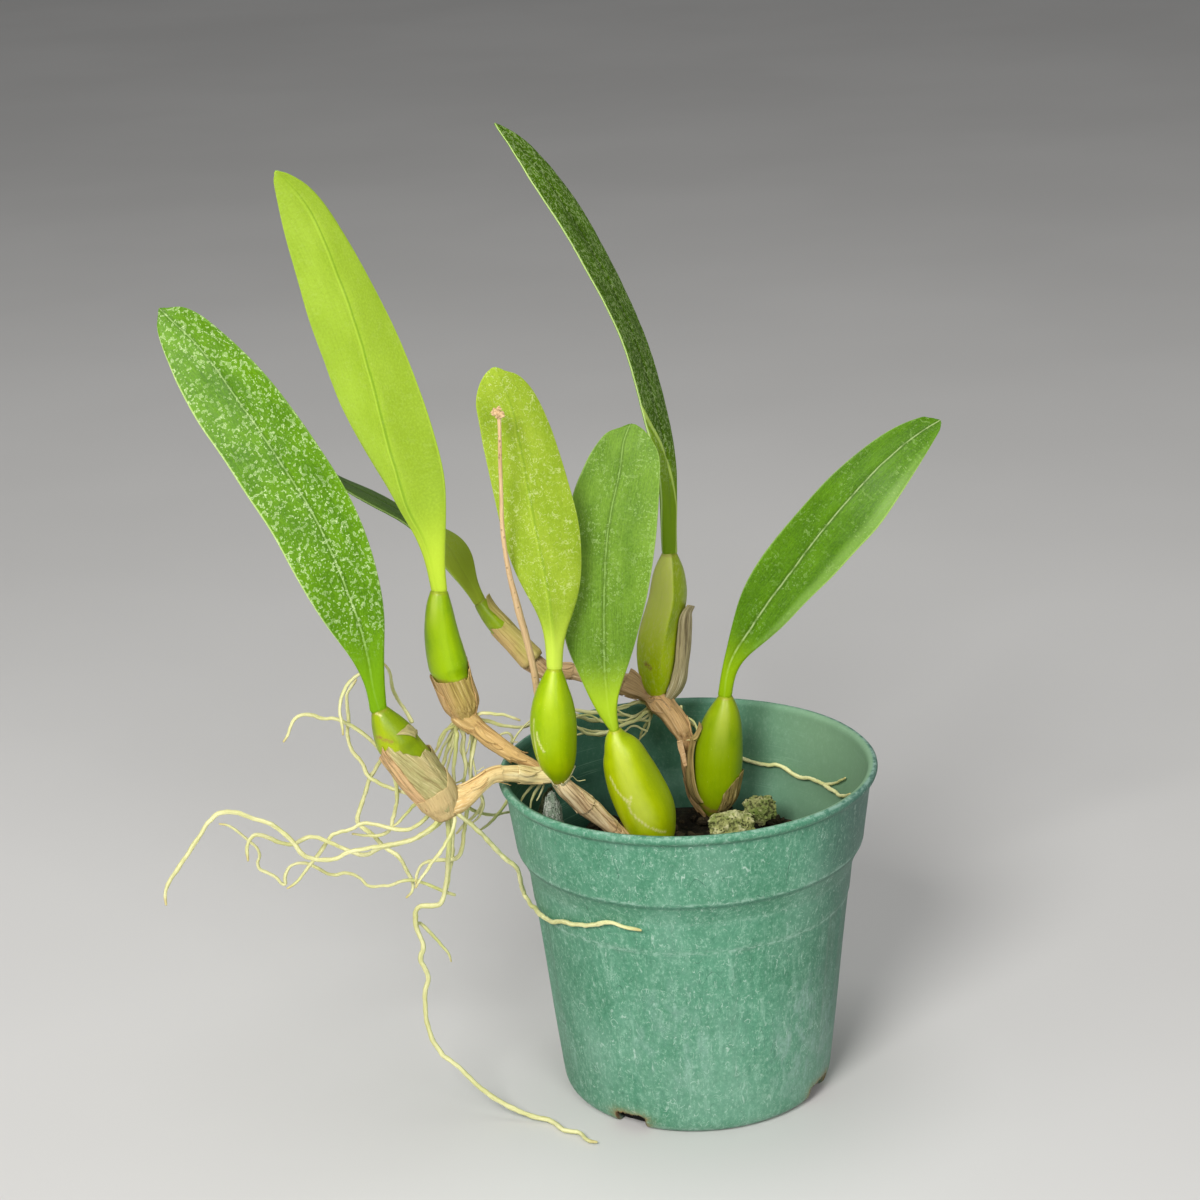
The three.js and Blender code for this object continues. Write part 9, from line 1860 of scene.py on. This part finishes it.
# further thin roots, as frame pixels with the depth at both ends and a radius
MORE_ROOTS = {
    "b": [
        ([(453, 723), (447, 730), (443, 738), (439, 745), (433, 755)], 6.0, 8.0, 0.45),
        ([(455, 725), (449, 737), (444, 745), (440, 754), (436, 766)], 6.0, 9.0, 0.45),
        ([(456, 727), (452, 742), (448, 750), (443, 762), (441, 774)], 6.5, 9.0, 0.42),
        ([(457, 728), (454, 742), (450, 757), (447, 768), (447, 782)], 6.5, 8.0, 0.4),
        ([(465, 729), (462, 742), (461, 750), (464, 758), (468, 764), (470, 770)], 6.0, 7.0, 0.38),
        ([(461, 750), (464, 760), (466, 770), (465, 777), (461, 781), (456, 783)], 6.6, 5.0, 0.36),
        ([(471, 733), (469, 743), (466, 754)], 6.0, 7.0, 0.3),
        ([(476, 738), (474, 750), (472, 760), (471, 772), (469, 788)], 6.0, 5.0, 0.45),
        ([(472, 756), (475, 768), (477, 781)], 6.0, 5.0, 0.33),
        ([(474, 770), (479, 771), (481, 769), (484, 767)], 5.4, 5.4, 0.2),
        ([(513, 741), (517, 735), (521, 730), (526, 724), (531, 720)], 8.0, 10.0, 0.33),
        ([(511, 741), (514, 742), (517, 742)], 8.0, 8.0, 0.3),
        ([(481, 797), (484, 804), (482, 811), (477, 819), (470, 824)], 1.0, -1.0, 0.42),
        ([(469, 806), (467, 815), (464, 826)], 1.0, 1.0, 0.4),
    ],
    "f": [
        ([(651, 704), (642, 712), (633, 716), (624, 714), (612, 706)], 30.0, 27.0, 0.4),
        ([(650, 708), (641, 714), (634, 717), (626, 720), (612, 719)], 30.4, 26.0, 0.42),
        ([(650, 714), (643, 719), (635, 721), (627, 724), (616, 719)], 31.0, 26.0, 0.4),
        ([(649, 721), (641, 720), (633, 720), (627, 722), (620, 728)], 31.4, 28.0, 0.38),
        ([(647, 731), (642, 729), (637, 726), (631, 726), (626, 730), (620, 736)], 30.0, 27.0, 0.36),
        ([(650, 713), (649, 725), (645, 733), (639, 740)], 31.0, 32.0, 0.36),
        ([(640, 700), (632, 704), (625, 705), (616, 708)], 29.0, 27.0, 0.34),
        ([(610, 713), (597, 713), (590, 713), (582, 712), (572, 710)], 26.0, 22.0, 0.38),
        ([(612, 724), (600, 721), (592, 716), (584, 715), (572, 718)], 26.0, 22.0, 0.38),
        ([(612, 722), (598, 720), (590, 719), (583, 717), (572, 712)], 26.5, 22.0, 0.36),
        ([(612, 733), (600, 731), (592, 731), (585, 729), (572, 726)], 27.0, 22.0, 0.38),
        ([(612, 731), (606, 734), (599, 736), (592, 734), (585, 733), (572, 736)], 27.0, 22.0, 0.38),
        ([(681, 706), (682, 714), (684, 722), (688, 729), (693, 736)], 30.0, 29.0, 0.42),
        ([(684, 717), (690, 719), (695, 724), (697, 729), (695, 736), (692, 740), (687, 740)], 29.5, 27.0, 0.34),
    ],
    "d": [
        ([(536, 783), (530, 788), (525, 794), (521, 801)], -5.0, -4.0, 0.5),
        ([(540, 785), (535, 793), (531, 802), (530, 812)], -6.0, -4.0, 0.42),
        ([(545, 783), (541, 792), (537, 800)], -7.0, -5.0, 0.36),
        ([(569, 779), (572, 776), (575, 779), (578, 781), (585, 780)], -6.0, -4.0, 0.17),
    ],
}


def make_roots():
    mat = root_finish()
    for name, keys in ROOT_NODES.items():
        sh = Shape()
        for key in keys:
            R = ROOT_STRANDS[key]
            pts = np.array(R["p"], float)
            if key in LED_BACK.get(key[0], ()):
                o = np.array(ROOT_ORIGIN[key[0]])
                spread = 0.55 * np.array([math.cos(ord(key[2]) * 2.1), math.sin(ord(key[2]) * 2.1), 0])
                pts = np.vstack([o + spread, (o + spread) * 0.45 + pts[0] * 0.55, pts[1:]]) if np.linalg.norm(pts[0] - o) < 4 else np.vstack([o + spread, pts])
            strand(sh, pts, R["r"] * THIN, sum(map(ord, key)) % 61)
        if name == "roots_f_bundle":
            c = np.array(ROOT_CROWNS["f"])
            b, f = ball(4)
            nn = fbm(b * 2.2 + 3, 4, 5)
            v = c + b * np.array((1.1, 1.3, 1.7)) * (0.92 + 0.12 * nn)[:, None]
            sh.add(v, [f], bl=b * 3, bn=np.tile([0.1, 0.5, 1.0], (len(b), 1)), deep=np.zeros(len(b)))
        sh.build(name + "_strand", [mat], [name], "root")
    for k, rows in MORE_ROOTS.items():
        sh = Shape()
        for i, (line, y0, y1, rad) in enumerate(rows):
            strand(sh, at_px(line, y0, y1), rad, 11 * i + ord(k), kink=0.1, step=0.35, tip_mark=0.5)
        sh.build("fine_roots_%s" % k, [mat], slot="root")
# ------------------------------------------------------------ camera, light and floor
def make_stage():
    sc = bpy.context.scene
    cam = bpy.data.cameras.new("camera")
    co = bpy.data.objects.new("camera", cam)
    sc.collection.objects.link(co)
    cam.sensor_fit = "HORIZONTAL"
    cam.sensor_width = 36.0
    cam.lens = FOCAL * 36.0 / 1200.0
    cam.clip_start, cam.clip_end = 0.02, 60
    m = Matrix([(RIGHT[i], UP[i], -AHEAD[i]) for i in range(3)])
    co.matrix_world = Matrix.Translation(Vector(CAM * MM)) @ m.to_4x4()
    sc.camera = co

    fm = Mat("floor_paint")
    n = fm.noise(fm.obj(), scale=3.0, detail=3)
    fm.set(color=fm.mix(fm.rng(n, 0.3, 0.7), (0.60, 0.595, 0.585, 1), (0.64, 0.635, 0.625, 1)), rough=0.7, spec=0.2)
    bpy.ops.mesh.primitive_plane_add(size=16, location=(0, 0, 0))
    floor = bpy.context.object
    floor.name = "floor"
    floor.data.materials.append(fm.m)

    def area(name, loc, target, size, power, colour=(1, 1, 1)):
        l = bpy.data.lights.new(name, "AREA")
        l.shape, l.size, l.energy, l.color = "DISK", size, power, colour
        o = bpy.data.objects.new(name, l)
        sc.collection.objects.link(o)
        o.location = loc
        o.rotation_euler = (Vector(target) - Vector(loc)).to_track_quat("-Z", "Y").to_euler()

    area("key", (-0.42, -1.1, 0.95), (-0.02, 0, 0.12), 0.55, 19.5, (1.0, 0.985, 0.96))
    area("fill", (0.45, -1.2, 0.75), (-0.02, 0, 0.1), 0.6, 6.2, (1.0, 0.99, 0.97))
    area("top", (-0.1, 0.1, 1.25), (-0.02, 0, 0.1), 0.6, 3.4, (1, 1, 1))
    w = bpy.data.worlds.new("studio")
    w.use_nodes = True
    w.node_tree.nodes["Background"].inputs[0].default_value = (0.88, 0.88, 0.88, 1)
    w.node_tree.nodes["Background"].inputs[1].default_value = 0.26
    sc.world = w
    sc.view_settings.view_transform = "Standard"
    sc.view_settings.look = "None"
    sc.view_settings.exposure = 0.0
    sc.view_settings.gamma = 1.0


make_stage()
make_pot()
make_medium()
make_stones()
make_leaves()
make_bulbs()
make_sheaths()
make_rhizomes()
make_scraps()
make_stalk()
make_roots()

bpy.context.view_layer.update()
